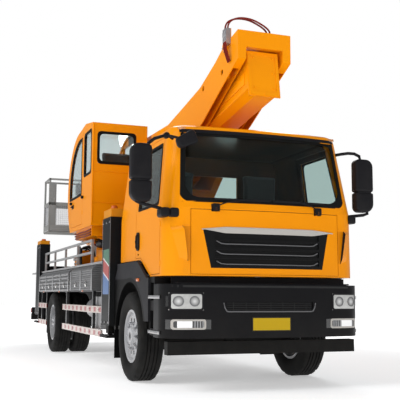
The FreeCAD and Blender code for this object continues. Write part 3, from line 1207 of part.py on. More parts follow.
def turret():
    table = rod("SlewTable", "Z", d.raceTop + d.seatGap, d.tableTop, (d.slewX, 0), d.tableRadius)
    spigot = rod("SlewSpigot", "Z", d.raceTop - d.spigotDepth, d.raceTop + d.seatGap,
                 (d.slewX, 0), d.spigotRadius)
    node("slew_table", fuse("SlewTableSolid", table, spigot))
    base = d.tableTop
    side = [(d.mastRearX + 180, base), (d.mastRearX, d.mastRearZ), (d.mastTopX, d.mastTopZ),
            (d.mastTopBX, d.mastTopBZ), (d.mastTopCX, d.mastTopCZ), (d.mastTopDX, d.mastTopDZ),
            (d.mastTopEX, d.mastTopEZ), (d.mastTopFX, d.mastTopFZ), (d.headX, d.headTop),
            (d.headX, d.headLow), (d.headBottomX, d.headBottomZ), (d.neckX, d.neckZ),
            (d.throatX, d.throatZ), (d.throatX - 20, d.throatLowZ), (d.bellyX, d.bellyZ),
            (d.bellyFrontX, base)]
    right = prism("CheekRight", "XZ", side, -d.cheekOut, -d.cheekIn)
    wall = d.cheekWall
    hollow = prism("CheekHollow", "XZ", [
        (d.throatX + 60, d.throatZ - 60), (d.throatX + 60, d.throatZ + 260),
        (d.mastTopDX, d.mastTopDZ - 60), (d.mastTopEX, d.mastTopEZ - 60),
        (d.mastTopFX, d.mastTopFZ - 160), (d.headX - 160, d.headLow + 40),
        (d.headX - 160, d.headLow - 160), (d.neckX, d.neckZ - 100)],
        -d.cheekOut + wall, -d.cheekIn - wall)
    holes = [rod("MastHole" + str(index), "Y", -d.cheekOut - 1, -d.cheekIn + 1, spot, d.mastHole)
             for index, spot in enumerate(((d.mastHoleX, d.mastHoleZ),
                                           (d.mastHoleBX, d.mastHoleBZ)))]
    cheek = cut("Cheek", right, hollow, *holes)
    arch = prism("HeadArch", "XZ", [
        (d.archPlateX, d.archPlateZ + 10), (d.headX, d.archPlateZ), (d.headX, d.headTop),
        (d.archPlateX, d.headTop - 42)], -d.cheekIn, d.cheekIn)
    belly = prism("BellyPlate", "XZ", [
        (d.bellyFrontX, base), (d.bellyX, d.bellyZ), (d.throatX - 380, d.throatLowZ - 260),
        (d.throatX - 380, d.throatLowZ - 230), (d.bellyX - 20, d.bellyZ + d.bellyPlate + 8),
        (d.bellyFrontX - 30, base)], -d.cheekIn, d.cheekIn)
    pivot = rod("PivotPin", "Y", -d.cheekIn - 5, d.cheekIn + 5, (d.pivotX, d.pivotZ),
                d.pivotRadius)
    foot = rod("CylinderPin", "Y", -d.cheekIn - 5, d.cheekIn + 5, (d.cylBaseX, d.cylBaseZ),
               d.cylPin)
    bosses = []
    for index, (spot, radius) in enumerate((((d.pivotX, d.pivotZ), d.pivotRadius + 25),
                                            ((d.cylBaseX, d.cylBaseZ), d.cylPin + 25))):
        bosses.append(rod("Boss" + str(index), "Y", -d.cheekOut - 12, -d.cheekOut, spot, radius))
        bosses.append(rod("BossLeft" + str(index), "Y", d.cheekOut, d.cheekOut + 12, spot, radius))
    hose_block = box("HoseBlock", (d.headX - 300, d.headX - 200),
                     (-d.cheekOut - d.hoseStand, -d.cheekOut + 5),
                     (d.headTop - 100, d.headTop + d.hoseRise))
    hose_gland = box("HoseGland", (d.headX - 232, d.headX - 145), (-95, -40),
                     (d.headTop - 50, d.headTop - 10))
    low = d.boothLow - d.boothFrame
    support = box("BoothSupport", (d.mastRearX + 150, d.boothRearX - 120),
                  (-d.boothOutY + 40, -d.cheekIn), (low, d.boothLow - d.seatGap))
    leg = box("BoothLeg", (d.slewX - 350, d.slewX + 350), (-620, -d.cheekIn), (base, low))
    node("turret_mast", fuse("TurretMast", cheek, mirrored("CheekLeft", cheek), arch, belly,
                             pivot, foot, support, leg, hose_block, hose_gland, *bosses))
    valve = box("ValveBlock", (d.slewX - 300, d.slewX + 150), (d.cheekOut + 30, d.cheekOut + 260),
                (base + d.seatGap, base + 420))
    drive = rod("SlewMotor", "Z", base + d.seatGap, base + 330, (d.slewX + 380, d.cheekOut + 160),
                105)
    oil = box("OilTank", (d.slewX - 420, d.slewX + 60), (d.cheekOut + 30, d.cheekOut + 290),
              (base + 420, base + 900))
    node("turret_hydraulics", group("TurretHydraulics", fuse("OilAndValves", valve, oil), drive))


def hose(name, shift):
    """A hose that arches over the boom's head from the block on the cheek and comes back to
    the gland on the head's top plate: straight runs joined by tangent arcs."""
    corner = FreeCAD.Vector(SIZES["headX"], 0, SIZES["headTop"])
    spots = [corner + FreeCAD.Vector(*point) for point in HOSE_POINTS]
    spots = [spot + FreeCAD.Vector(*shift) for spot in spots]
    spots[0].z = SIZES["headTop"] + SIZES["hoseRise"]
    spots[-1].z = SIZES["headTop"] - 10
    edges = []
    start = spots[0]
    for index in range(1, len(spots) - 1):
        here = spots[index]
        back = spots[index - 1] - here
        ahead = spots[index + 1] - here
        reach = HOSE_SHARE * min(back.Length, ahead.Length)
        half_turn = (math.pi - back.getAngle(ahead)) / 2
        print(name, "bend", index, round(reach / math.tan(half_turn), 1))
        first = here + FreeCAD.Vector(back).normalize() * reach
        last = here + FreeCAD.Vector(ahead).normalize() * reach
        inward = FreeCAD.Vector(back).normalize() + FreeCAD.Vector(ahead).normalize()
        inward.normalize()
        radius = reach / math.tan(half_turn)
        depth = radius / math.cos(half_turn) - radius
        edges.append(Part.LineSegment(start, first).toShape())
        edges.append(Part.Arc(first, here + inward * depth, last).toShape())
        start = last
    edges.append(Part.LineSegment(start, spots[-1]).toShape())
    path = Part.Wire(edges)
    ring = Part.Wire(Part.makeCircle(SIZES["hoseRadius"], spots[0], spots[1] - spots[0]))
    result = doc.addObject("Part::Feature", name.title().replace("_", ""))
    result.Shape = path.makePipeShell([ring], True, True)
    expected = math.pi * SIZES["hoseRadius"] ** 2 * path.Length
    print(name, "length", round(path.Length), "volume share",
          round(result.Shape.Volume / expected, 3))
    return node(name, result)


def head_hoses():
    hose("head_hose_front", (0, 0, 0))
    hose("head_hose_rear", (-52, -12, 6))


def booth_outline(inset):
    """The operator's cabin in side view, drawn in by an inset. Its curved screen faces the rear."""
    return [(d.boothRearX - inset, d.boothLow + inset * 1.2),
            (d.boothRearX - inset, d.boothRearZ - inset),
            (d.boothTopX, d.boothTopZ - inset),
            (d.boothKneeX + inset * 0.4, d.boothKneeZ - inset, d.boothCurve - inset),
            (d.boothLowX + inset, d.boothLow + inset * 1.2)]


def booth_door_outline(grow, hinged):
    """The cabin's side door, grown by an amount, and by another at its hinged edge."""
    return [(d.boothDoorRearX + hinged, d.boothDoorLow - grow),
            (d.boothDoorRearX + hinged, d.boothDoorTop + grow),
            (d.boothDoorKneeX, d.boothDoorTop - 40 + grow, d.boothCurve - d.boothWall - 20 + grow),
            (d.boothDoorFrontX - grow, d.boothDoorLow - grow)]


def booth_door_window(shrink):
    return [(d.boothDoorRearX - 65 - shrink, d.boothGlassLow + shrink),
            (d.boothDoorRearX - 65 - shrink, d.boothGlassTop - shrink),
            (d.boothDoorKneeX + 40, d.boothGlassTop - shrink, d.boothCurve - 140),
            (d.boothDoorFrontX - 120 + shrink, d.boothGlassLow + shrink)]


def operator_cabin():
    out = -d.boothOutY
    inn = -d.boothInY
    block = prism("BoothBlock", "XZ", booth_outline(0), out, inn)
    hollow = prism("BoothHollow", "XZ", booth_outline(d.boothWall), out + d.boothWall,
                   inn - d.boothWall)
    walls = cut("BoothWalls", block, hollow)
    edge = d.screenEdge

    def screen(shrink):
        return [(d.boothLowX - 400, d.boothLow + 210 + shrink),
                (d.boothLowX + 300, d.boothLow + 210 + shrink),
                (d.boothKneeX + 40, d.boothKneeZ - 260), (d.boothTopX - 60 - shrink,
                                                          d.boothKneeZ - 100),
                (d.boothTopX - 60 - shrink, d.boothTopZ + 50), (d.boothLowX - 400,
                                                               d.boothTopZ + 50)]

    screen_hole = prism("BoothScreenHole", "XZ", screen(0), out + edge, inn - edge)
    doorway = prism("BoothDoorway", "XZ", booth_door_outline(d.doorGap, d.doorFrontGap), out - 1,
                    out + d.boothWall + 1)
    quarter = box("QuarterHole", (d.quarterFrontX, d.quarterRearX), (out - 1, out
                                                                     + d.boothWall + 1),
                  (d.quarterLow, d.quarterTop))
    inner_hole = box("InnerWindowHole", (d.quarterFrontX - 700, d.quarterRearX - 60),
                     (inn - d.boothWall - 1, inn + 1), (d.quarterLow - 240, d.quarterTop - 40))
    back_hole = box("BackHole", (d.boothRearX - d.boothWall - 1, d.boothRearX + 1),
                    (-d.backOut, -d.backIn), (d.backLow, d.backTop))
    rooms, pins, leaves = door_hinges(d.boothDoorRearX, out, d.boothHingeAhead, d.boothHingeIn,
                                      (d.boothDoorLow + 170, d.boothDoorTop - 200),
                                      "BoothDoor", d.boothWall - 6)
    node("operator_cabin", fuse("OperatorCabin", cut("BoothShell", walls, screen_hole, doorway,
                                                     quarter, inner_hole, back_hole, rooms),
                                pins))
    gap = d.glassGap
    thin = d.glassInset
    outer = prism("BoothGlassOuter", "XZ", booth_outline(thin), out + edge + gap,
                  inn - edge - gap)
    inner = prism("BoothGlassInner", "XZ", booth_outline(thin + d.glassWall), out, inn)
    pane = cut("BoothGlassSheet", outer, inner)
    region = prism("BoothGlassRegion", "XZ", screen(gap), out, inn)
    side = box("QuarterGlass", (d.quarterFrontX + gap, d.quarterRearX - gap),
               (out + thin, out + thin + d.glassWall), (d.quarterLow + gap, d.quarterTop - gap))
    far = box("InnerWindowGlass", (d.quarterFrontX - 700 + gap, d.quarterRearX - 60 - gap),
              (inn - thin - d.glassWall, inn - thin), (d.quarterLow - 240 + gap,
                                                       d.quarterTop - 40 - gap))
    back = box("BackGlass", (d.boothRearX - thin - d.glassWall, d.boothRearX - thin),
               (-d.backOut + gap, -d.backIn - gap), (d.backLow + gap, d.backTop - gap))
    node("operator_cabin_glass", group("BoothGlass", common("BoothScreen", pane, region), side,
                                       far, back))
    leaf = prism("BoothDoorLeaf", "XZ", booth_door_outline(0, 0), out, out + d.boothWall)
    window = prism("BoothDoorWindow", "XZ", booth_door_window(0), out - 1,
                   out + d.boothWall + 1)
    node("operator_door", fuse("OperatorDoor", cut("BoothDoorPanel", leaf, window), *leaves))
    node("operator_door_glass", prism("BoothDoorGlass", "XZ", booth_door_window(gap), out + thin,
                                      out + thin + d.glassWall))
    floor = d.boothLow + d.boothWall * 1.2 + d.seatGap
    middle = (out + inn) / 2
    chair_x = d.opSeatX
    chair_half = d.opSeatWide / 2
    cushion_low = floor + d.opSeatHigh
    seat_rear = chair_x + d.opSeatLong / 2
    base = box("BoothSeatBase", (chair_x - 190, chair_x + 210), (middle - 170, middle + 170),
               (floor, cushion_low))
    seat = box("BoothSeat", (chair_x - d.opSeatLong / 2, seat_rear),
               (middle - chair_half, middle + chair_half),
               (cushion_low, cushion_low + d.opCushion))
    back_rest = box("BoothBackRest", (seat_rear - 30, seat_rear - 30 + d.opBackThick),
                    (middle - chair_half, middle + chair_half),
                    (cushion_low, cushion_low + d.opBackHigh))
    chair = fuse("OperatorSeat", base, seat, back_rest)
    consoles = [box("Console" + str(index), (chair_x - d.consoleAhead, chair_x + 110),
                    (middle + spot - 55, middle + spot + 55), (floor, floor + d.consoleHigh))
                for index, spot in enumerate((-305, 305))]
    node("operator_seat", group("OperatorSeatAndConsoles", chair, *consoles))


# Boom: nested sections drawn along a line that slopes back from the pivot

def boom_floor(x):
    """Height of the boom's underside above a world x."""
    low = d.boomDrop + d.boomHigh
    tangent = sine(d.slope) / cosine(d.slope)
    return d.pivotZ - low / cosine(d.slope) - (d.pivotX - x) * tangent


def tilt(thing):
    """Puts a piece drawn about the pivot, with the boom level to the rear, at its slope."""
    thing.Placement = FreeCAD.Placement(FreeCAD.Vector(), FreeCAD.Rotation(Y_AXIS, -1))
    place(thing, d.pivotX, 0, d.pivotZ)
    bind(thing, "Placement.Rotation.Angle", d.slope)
    thing.setExpression("Placement.Rotation.Axis.y", "-1")
    return thing


def section_outline(top, height, half, corner):
    """Boom cross-section: flat top, chamfered lower edges."""
    low = top - height
    return [(-half, top), (half, top), (half, low + corner), (half - corner, low),
            (-half + corner, low), (-half, low + corner)]


def boom():
    top = -d.boomDrop
    lengths = []
    for level in range(4):
        inset = level * (d.boomWall + d.nestGap)
        half = d.boomHalf - inset
        height = d.boomHigh - 2 * inset
        front = d.boomButt - level * 120
        rear = -(d.headA, d.headB, d.headC, d.headD)[level]
        corner = d.boomChamfer - inset * 0.4
        outer = prism("Section" + str(level), "YZ",
                      section_outline(top - inset, height, half, corner), rear, front)
        bore = prism("SectionBore" + str(level), "YZ",
                     section_outline(top - inset - d.boomWall, height - 2 * d.boomWall,
                                     half - d.boomWall, corner - d.boomWall * 0.4),
                     rear - 1, front + 1)
        tube = cut("SectionTube" + str(level), outer, bore)
        collar_half = half + (0 if level == 0 else 8)
        if level == 0:
            tube = fuse("BoomBaseSolid", tube, *boom_base_details(top))
            pivot = rod("EarBore", "Y", -d.boomHalf - 10, d.boomHalf + 10, (0, 0),
                        d.pivotRadius + d.runGap)
            tube = cut("BoomBase", tube, pivot)
        else:
            pads = []
            gap = d.nestGap - d.seatGap
            for index, (low, high) in enumerate(((top - inset - height - gap,
                                                  top - inset - height),)):
                mouth = -(d.headA, d.headB, d.headC)[level - 1]
                pads.append(box("Pad" + str(level) + str(index), (mouth + 60, mouth + 200),
                                (-half + corner + 4, half - corner - 4), (low, high)))
            tube = fuse("SectionWithPads" + str(level), tube, *pads)
        if level == 3:
            tube = fuse("BoomTip", tube, *tip_details(rear, top - inset, height, half))
        lengths.append(tube)
        names = ("boom_base_section", "boom_section_2", "boom_section_3", "boom_section_4")
        node(names[level], tilt(tube))


def boom_base_details(top):
    low = top - d.boomHigh
    ears = []
    for index, side in enumerate((-1, 1)):
        edges = (side * d.earIn, side * d.earOut) if side > 0 else (side * d.earOut,
                                                                   side * d.earIn)
        ears.append(box("Ear" + str(index), (-d.earHalf, d.earHalf), edges, (top, 0)))
        ears.append(rod("EarRound" + str(index), "Y", edges[0], edges[1], (0, 0), d.earHalf))
        lug = (side * d.lugIn, side * d.lugOut) if side > 0 else (side * d.lugOut, side * d.lugIn)
        ears.append(box("Lug" + str(index), (-d.cylEyeBack - d.lugHalf, -d.cylEyeBack + d.lugHalf),
                        lug, (low - d.cylEyeDrop, low)))
        ears.append(rod("LugRound" + str(index), "Y", lug[0], lug[1],
                        (-d.cylEyeBack, low - d.cylEyeDrop), d.eyeRadius))
    plate = box("ButtPlate", (d.boomButt, d.boomButt + d.buttPlate), (-d.boomHalf, d.boomHalf),
                (low, top))
    return ears + [plate]


def tip_details(rear, top, height, half):
    """Cheeks at the boom's tip for the basket's levelling pin."""
    cheeks = [box("TipCheek" + str(index), (-d.levelBack - 70, rear + 150),
                  (side * half - (25 if side > 0 else 0), side * half + (0 if side > 0 else 25)),
                  (-d.levelDrop - 90, -d.levelDrop + 90))
              for index, side in enumerate((-1, 1))]
    pin = rod("LevelPin", "Y", -half, half, (-d.levelBack, -d.levelDrop), d.levelPin)
    return cheeks + [pin]


def lift_cylinder():
    """The cylinder that raises the boom, drawn along X from its foot pin and then tilted."""
    eye_x = d.pivotX - d.cylEyeBack * cosine(d.slope) \
        + (d.boomDrop + d.boomHigh + d.cylEyeDrop) * sine(d.slope)
    eye_z = d.pivotZ - d.cylEyeBack * sine(d.slope) \
        - (d.boomDrop + d.boomHigh + d.cylEyeDrop) * cosine(d.slope)
    run = eye_x - d.cylBaseX
    rise = eye_z - d.cylBaseZ
    reach = root(run * run + rise * rise)
    angle = Size(math.degrees(math.atan2(rise.value, run.value)),
                 "atan2(" + rise.text + "; " + run.text + ")")

    def lean(thing):
        thing.Placement = FreeCAD.Placement(FreeCAD.Vector(), FreeCAD.Rotation(Y_AXIS, -1))
        place(thing, d.cylBaseX, 0, d.cylBaseZ)
        bind(thing, "Placement.Rotation.Angle", angle)
        thing.setExpression("Placement.Rotation.Axis.y", "-1")
        return thing

    tube = rod("Barrel", "X", 100, d.barrelLength, (0, 0), d.barrelRadius)
    knuckle_end = rod("BarrelEye", "Y", -d.eyeHalf, d.eyeHalf, (0, 0), d.cylPin + 40)
    neck = box("BarrelNeck", (0, 120), (-d.eyeHalf, d.eyeHalf), (-60, 60))
    solid = fuse("BarrelSolid", tube, knuckle_end, neck)
    hole = rod("BarrelPinHole", "Y", -200, 200, (0, 0), d.cylPin + d.runGap)
    bore = rod("BarrelBore", "X", 180, d.barrelLength + 1, (0, 0), d.rodRadius + d.runGap)
    node("lift_cylinder_barrel", lean(cut("BarrelCut", solid, hole, bore)))
    shaft = rod("Rod", "X", 200, reach - 40, (0, 0), d.rodRadius)
    eye = rod("RodEye", "Y", -d.eyeHalf, d.eyeHalf, (reach, 0), d.eyeRadius)
    eye_hole = rod("RodEyeHole", "Y", -200, 200, (reach, 0), d.cylPin)
    node("lift_cylinder_rod", lean(cut("RodCut", fuse("RodSolid", shaft, eye), eye_hole)))


# Basket and its bracket

def basket():
    level_x = d.pivotX - d.levelBack * cosine(d.slope) + d.levelDrop * sine(d.slope)
    level_z = d.pivotZ - d.levelBack * sine(d.slope) - d.levelDrop * cosine(d.slope)
    knuckle_eye = rod("LevelEye", "Y", -60, 60, (level_x, level_z), d.levelPin + 45)
    arm = box("LevelArm", (d.swingX - 60, level_x), (-60, 60), (level_z - 60, level_z + 60))
    hole = rod("LevelHole", "Y", -100, 100, (level_x, level_z), d.levelPin + d.runGap)
    post = rod("SwingPost", "Z", level_z - 60, d.mastHigh, (d.swingX, 0), d.swingRadius)
    node("basket_bracket", cut("BasketBracket", fuse("BracketSolid", knuckle_eye, arm, post),
                               hole))
    front = d.basketFrontX
    rear = d.basketRearX
    half = d.basketHalf
    post_side = d.basketPost
    floor = box("BasketFloor", (rear, front), (-half, half),
                (d.basketFloor, d.basketFloor + d.basketFloorThick))
    pieces = [floor]
    for ix, x in enumerate((rear, front - post_side)):
        for iy, y in enumerate((-half, half - post_side)):
            pieces.append(box("BasketPost" + str(ix) + str(iy), (x, x + post_side),
                              (y, y + post_side), (d.basketFloor, d.basketTop)))
    middle = (d.basketFloor + d.basketTop) / 2 + 60
    for index, level in enumerate((d.basketTop, middle)):
        low = level - post_side
        for ix, x in enumerate((rear, front - post_side)):
            pieces.append(box("LongBar" + str(index) + str(ix), (x, x + post_side),
                              (-half, half), (low, level)))
        for iy, y in enumerate((-half, half - post_side)):
            pieces.append(box("ShortBar" + str(index) + str(iy), (rear, front),
                              (y, y + post_side), (low, level)))
    panel_top = d.basketFloor + d.panelHigh
    thick = d.panelThick
    pieces.append(box("PanelFront", (front - thick, front), (-half, half),
                      (d.basketFloor, panel_top)))
    pieces.append(box("PanelRear", (rear, rear + thick), (-half, half),
                      (d.basketFloor, panel_top)))
    for index, edges in enumerate(((-half, -half + thick), (half - thick, half))):
        pieces.append(box("PanelSide" + str(index), (rear, front), edges,
                          (d.basketFloor, panel_top)))
    sleeve_reach = d.swingX
    collars = []
    for index, low in enumerate((d.basketFloor - 60, middle - 60)):
        collars.append(rod("Collar" + str(index), "Z", low, low + 60, (d.swingX, 0),
                           d.swingRadius + 30))
        collars.append(box("CollarArm" + str(index), (front - 2, sleeve_reach), (-60, 60),
                           (low, low + 60)))
    under = box("BasketSill", (rear + 100, front), (-60, 60), (d.basketFloor - 60,
                                                              d.basketFloor))
    bore = rod("SwingBore", "Z", d.basketFloor - 200, d.basketTop, (d.swingX, 0),
               d.swingRadius + d.runGap)
    node("basket", cut("Basket", fuse("BasketSolid", under, *(pieces + collars)), bore))


# Outriggers

def outriggers():
    bay = (d.riggerLong - 3 * d.riggerWall) / 2
    for name, middle in (("front", d.riggerX), ("rear", REAR_RIGGER)):
        back = middle - d.riggerLong / 2
        for side, step in (("right", 0), ("left", 1)):
            sign = -1 if side == "right" else 1
            start = back + d.riggerWall + step * (bay + d.riggerWall)
            tag = name.capitalize() + side.capitalize()

            def across(inner, outer):
                return (-outer, -inner) if sign < 0 else (inner, outer)
            beam = box("Beam" + tag, (start + d.beamClear, start + bay - d.beamClear),
                       (-d.columnIn, -d.columnIn + d.beamReach) if sign < 0
                       else (d.columnIn - d.beamReach, d.columnIn),
                       (d.riggerLow + d.riggerWall + d.seatGap,
                        d.riggerTop - d.riggerWall - d.beamClear))
            column = box("Column" + tag, (back, back + d.riggerLong),
                         across(d.columnIn, d.columnOut), (d.columnLow, d.columnTop))
            cap_top = d.capTop if name == "front" else d.rearCapTop
            lamp_top = d.beaconTop if name == "front" else d.rearBeaconTop
            cap = box("Cap" + tag, (back + d.capIn, back + d.riggerLong - d.capIn),
                      across(d.columnIn + d.capIn, d.columnOut - d.capIn),
                      (d.columnTop, cap_top))
            centre_y = sign * (d.columnIn + d.columnOut) / 2
            beacon = rod("Beacon" + tag, "Z", cap_top, lamp_top, (middle, centre_y),
                         d.beaconRadius)
            half = d.legHalf
            guide = box("Guide" + tag, (middle - half - d.seatGap, middle + half + d.seatGap),
                        (centre_y - half - d.seatGap, centre_y + half + d.seatGap),
                        (d.columnLow - 1, d.columnLow + d.legGuide))
            room = box("Room" + tag, (middle - half - d.legClear, middle + half + d.legClear),
                       (centre_y - half - d.legClear, centre_y + half + d.legClear),
                       (d.columnLow + d.legGuide, d.legTop + 30))
            node("outrigger_" + name + "_" + side,
                 cut("Outrigger" + tag, fuse("OutriggerSolid" + tag, beam, column, cap, beacon),
                     guide, room))
            leg = box("Leg" + tag, (middle - half, middle + half),
                      (centre_y - half, centre_y + half),
                      (d.footLow + d.footThick + 20, d.legTop))
            ankle = rod("Ankle" + tag, "Z", d.footLow + d.footThick, d.footLow + d.footThick + 20,
                        (middle, centre_y), d.ankleRadius)
            foot = box("Foot" + tag, (middle - d.footLong / 2, middle + d.footLong / 2),
                       (centre_y - d.footWide / 2, centre_y + d.footWide / 2),
                       (d.footLow, d.footLow + d.footThick))
            node("jack_leg_" + name + "_" + side, fuse("JackLeg" + tag, leg, ankle, foot))


frame_rails()
sub_frame()
front_axle()
knuckle()
front_wheels()
rear_axle()
rear_wheels()
drive_line()
tanks()
driver_cab()
interior()
bumper()
guard_pieces = steps_and_mudguards()
mirrors()
node("deck", group("Deck", *(deck() + hand_rails() + boom_rest())))
lockers()
guards()
node("mudguards", group("Mudguards", *(guard_pieces + tail())))
turret()
head_hoses()
operator_cabin()
boom()
lift_cylinder()
basket()
outriggers()
doc.recompute()

faults = [item.Name for item in doc.Objects
          if "Invalid" in item.State or "Error" in item.State]
if faults:
    raise SystemExit("These did not build: " + ", ".join(faults))
for name, thing in NODES:
    if thing.Shape.isNull() or not thing.Shape.isValid() or not thing.Shape.Solids:
        raise SystemExit("No sound solid: " + name)
os.makedirs("parts", exist_ok=True)
for name, thing in NODES:
    thing.Shape.exportStep("parts/" + name + ".step")
print(len(NODES), "sub-parts written")
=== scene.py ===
"""Finishes and small fittings of the cherry picker truck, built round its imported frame."""

from __future__ import annotations

import json
import logging
import math
from dataclasses import dataclass, field
from enum import Enum
from typing import Callable, Iterable, Optional, Sequence, Union

import bmesh
import bpy
from mathutils import Matrix, Vector

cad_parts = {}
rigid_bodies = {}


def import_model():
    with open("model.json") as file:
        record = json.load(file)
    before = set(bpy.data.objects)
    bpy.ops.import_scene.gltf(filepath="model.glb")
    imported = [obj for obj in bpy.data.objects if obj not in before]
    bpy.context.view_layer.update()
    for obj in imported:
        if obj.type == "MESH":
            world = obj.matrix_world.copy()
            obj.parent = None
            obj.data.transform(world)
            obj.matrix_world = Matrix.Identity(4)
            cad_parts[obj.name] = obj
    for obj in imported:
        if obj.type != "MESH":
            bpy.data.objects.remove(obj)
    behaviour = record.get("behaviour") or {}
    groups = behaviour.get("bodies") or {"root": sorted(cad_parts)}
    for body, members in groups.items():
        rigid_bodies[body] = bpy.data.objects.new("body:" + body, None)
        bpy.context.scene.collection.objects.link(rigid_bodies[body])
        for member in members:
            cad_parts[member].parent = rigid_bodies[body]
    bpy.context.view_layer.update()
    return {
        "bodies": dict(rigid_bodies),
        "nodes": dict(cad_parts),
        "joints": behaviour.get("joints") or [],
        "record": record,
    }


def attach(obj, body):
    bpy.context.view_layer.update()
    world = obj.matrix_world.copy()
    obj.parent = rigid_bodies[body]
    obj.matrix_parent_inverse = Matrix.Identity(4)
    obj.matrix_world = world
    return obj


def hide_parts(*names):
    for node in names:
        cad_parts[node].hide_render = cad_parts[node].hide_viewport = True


LOG = logging.getLogger("cherry_picker")

Colour = tuple[float, float, float]
Place = tuple[float, float, float]
Outline = tuple[tuple[float, float], ...]
Point = Union[Vector, Sequence[float]]


class Axis(Enum):
    """The three directions of the machine's frame: forward, left and up."""

    X = 0
    Y = 1
    Z = 2

    @property
    def vector(self) -> Vector:
        """The unit vector of this direction."""
        return Vector([1.0 if index == self.value else 0.0 for index in range(3)])

    @property
    def others(self) -> list["Axis"]:
        """The other two directions, in order."""
        return [one for one in Axis if one is not self]


class Side(Enum):
    """The machine's two sides, with the sign of their y."""

    RIGHT = -1
    LEFT = 1

    @property
    def word(self) -> str:
        """The side's name as node and piece names write it."""
        return self.name.lower()


# Shader trees written as expressions

class Signal:
    """A value socket whose arithmetic adds Math nodes to its tree."""

    def __init__(self, bench: "Bench", socket: bpy.types.NodeSocket) -> None:
        """Wraps a socket.

        Args:
            bench: the tree the socket belongs to.
            socket: an output that carries a number.
        """
        self.bench = bench
        self.socket = socket

    def maths(self, operation: str, *values: "Value") -> "Signal":
        """Adds one Math node.

        Args:
            operation: the Math node's operation.
            values: its inputs in order.

        Returns:
            The node's result.
        """
        node = self.bench.add("ShaderNodeMath", {"operation": operation},
                              dict(enumerate(values)))
        return Signal(self.bench, node.outputs[0])

    def __add__(self, other: "Value") -> "Signal":
        """self + other"""
        return self.maths("ADD", self, other)

    def __radd__(self, other: "Value") -> "Signal":
        """other + self"""
        return self.maths("ADD", other, self)

    def __sub__(self, other: "Value") -> "Signal":
        """self - other"""
        return self.maths("SUBTRACT", self, other)

    def __rsub__(self, other: "Value") -> "Signal":
        """other - self"""
        return self.maths("SUBTRACT", other, self)

    def __mul__(self, other: "Value") -> "Signal":
        """self * other"""
        return self.maths("MULTIPLY", self, other)

    def __rmul__(self, other: "Value") -> "Signal":
        """other * self"""
        return self.maths("MULTIPLY", other, self)

    def __truediv__(self, other: "Value") -> "Signal":
        """self / other"""
        return self.maths("DIVIDE", self, other)

    def __abs__(self) -> "Signal":
        """The size of the value without its sign."""
        return self.maths("ABSOLUTE", self)

    def __gt__(self, other: "Value") -> "Signal":
        """1 where the value is above the other, else 0."""
        return self.maths("GREATER_THAN", self, other)

    def __lt__(self, other: "Value") -> "Signal":
        """1 where the value is below the other, else 0."""
        return self.maths("LESS_THAN", self, other)

    def clamped(self) -> "Signal":
        """The value held between 0 and 1."""
        return self.maths("MINIMUM", self.maths("MAXIMUM", self, 0.0), 1.0)

    def wave(self, pitch: float) -> "Signal":
        """A sine of the value, between -1 and 1, with the given pitch in metres."""
        return self.maths("SINE", self * (2 * math.pi / pitch))

    def saw(self, pitch: float) -> "Signal":
        """The part of the value beyond the last whole pitch, from 0 to 1."""
        return self.maths("FRACT", self / pitch)


Value = Union[float, Signal]


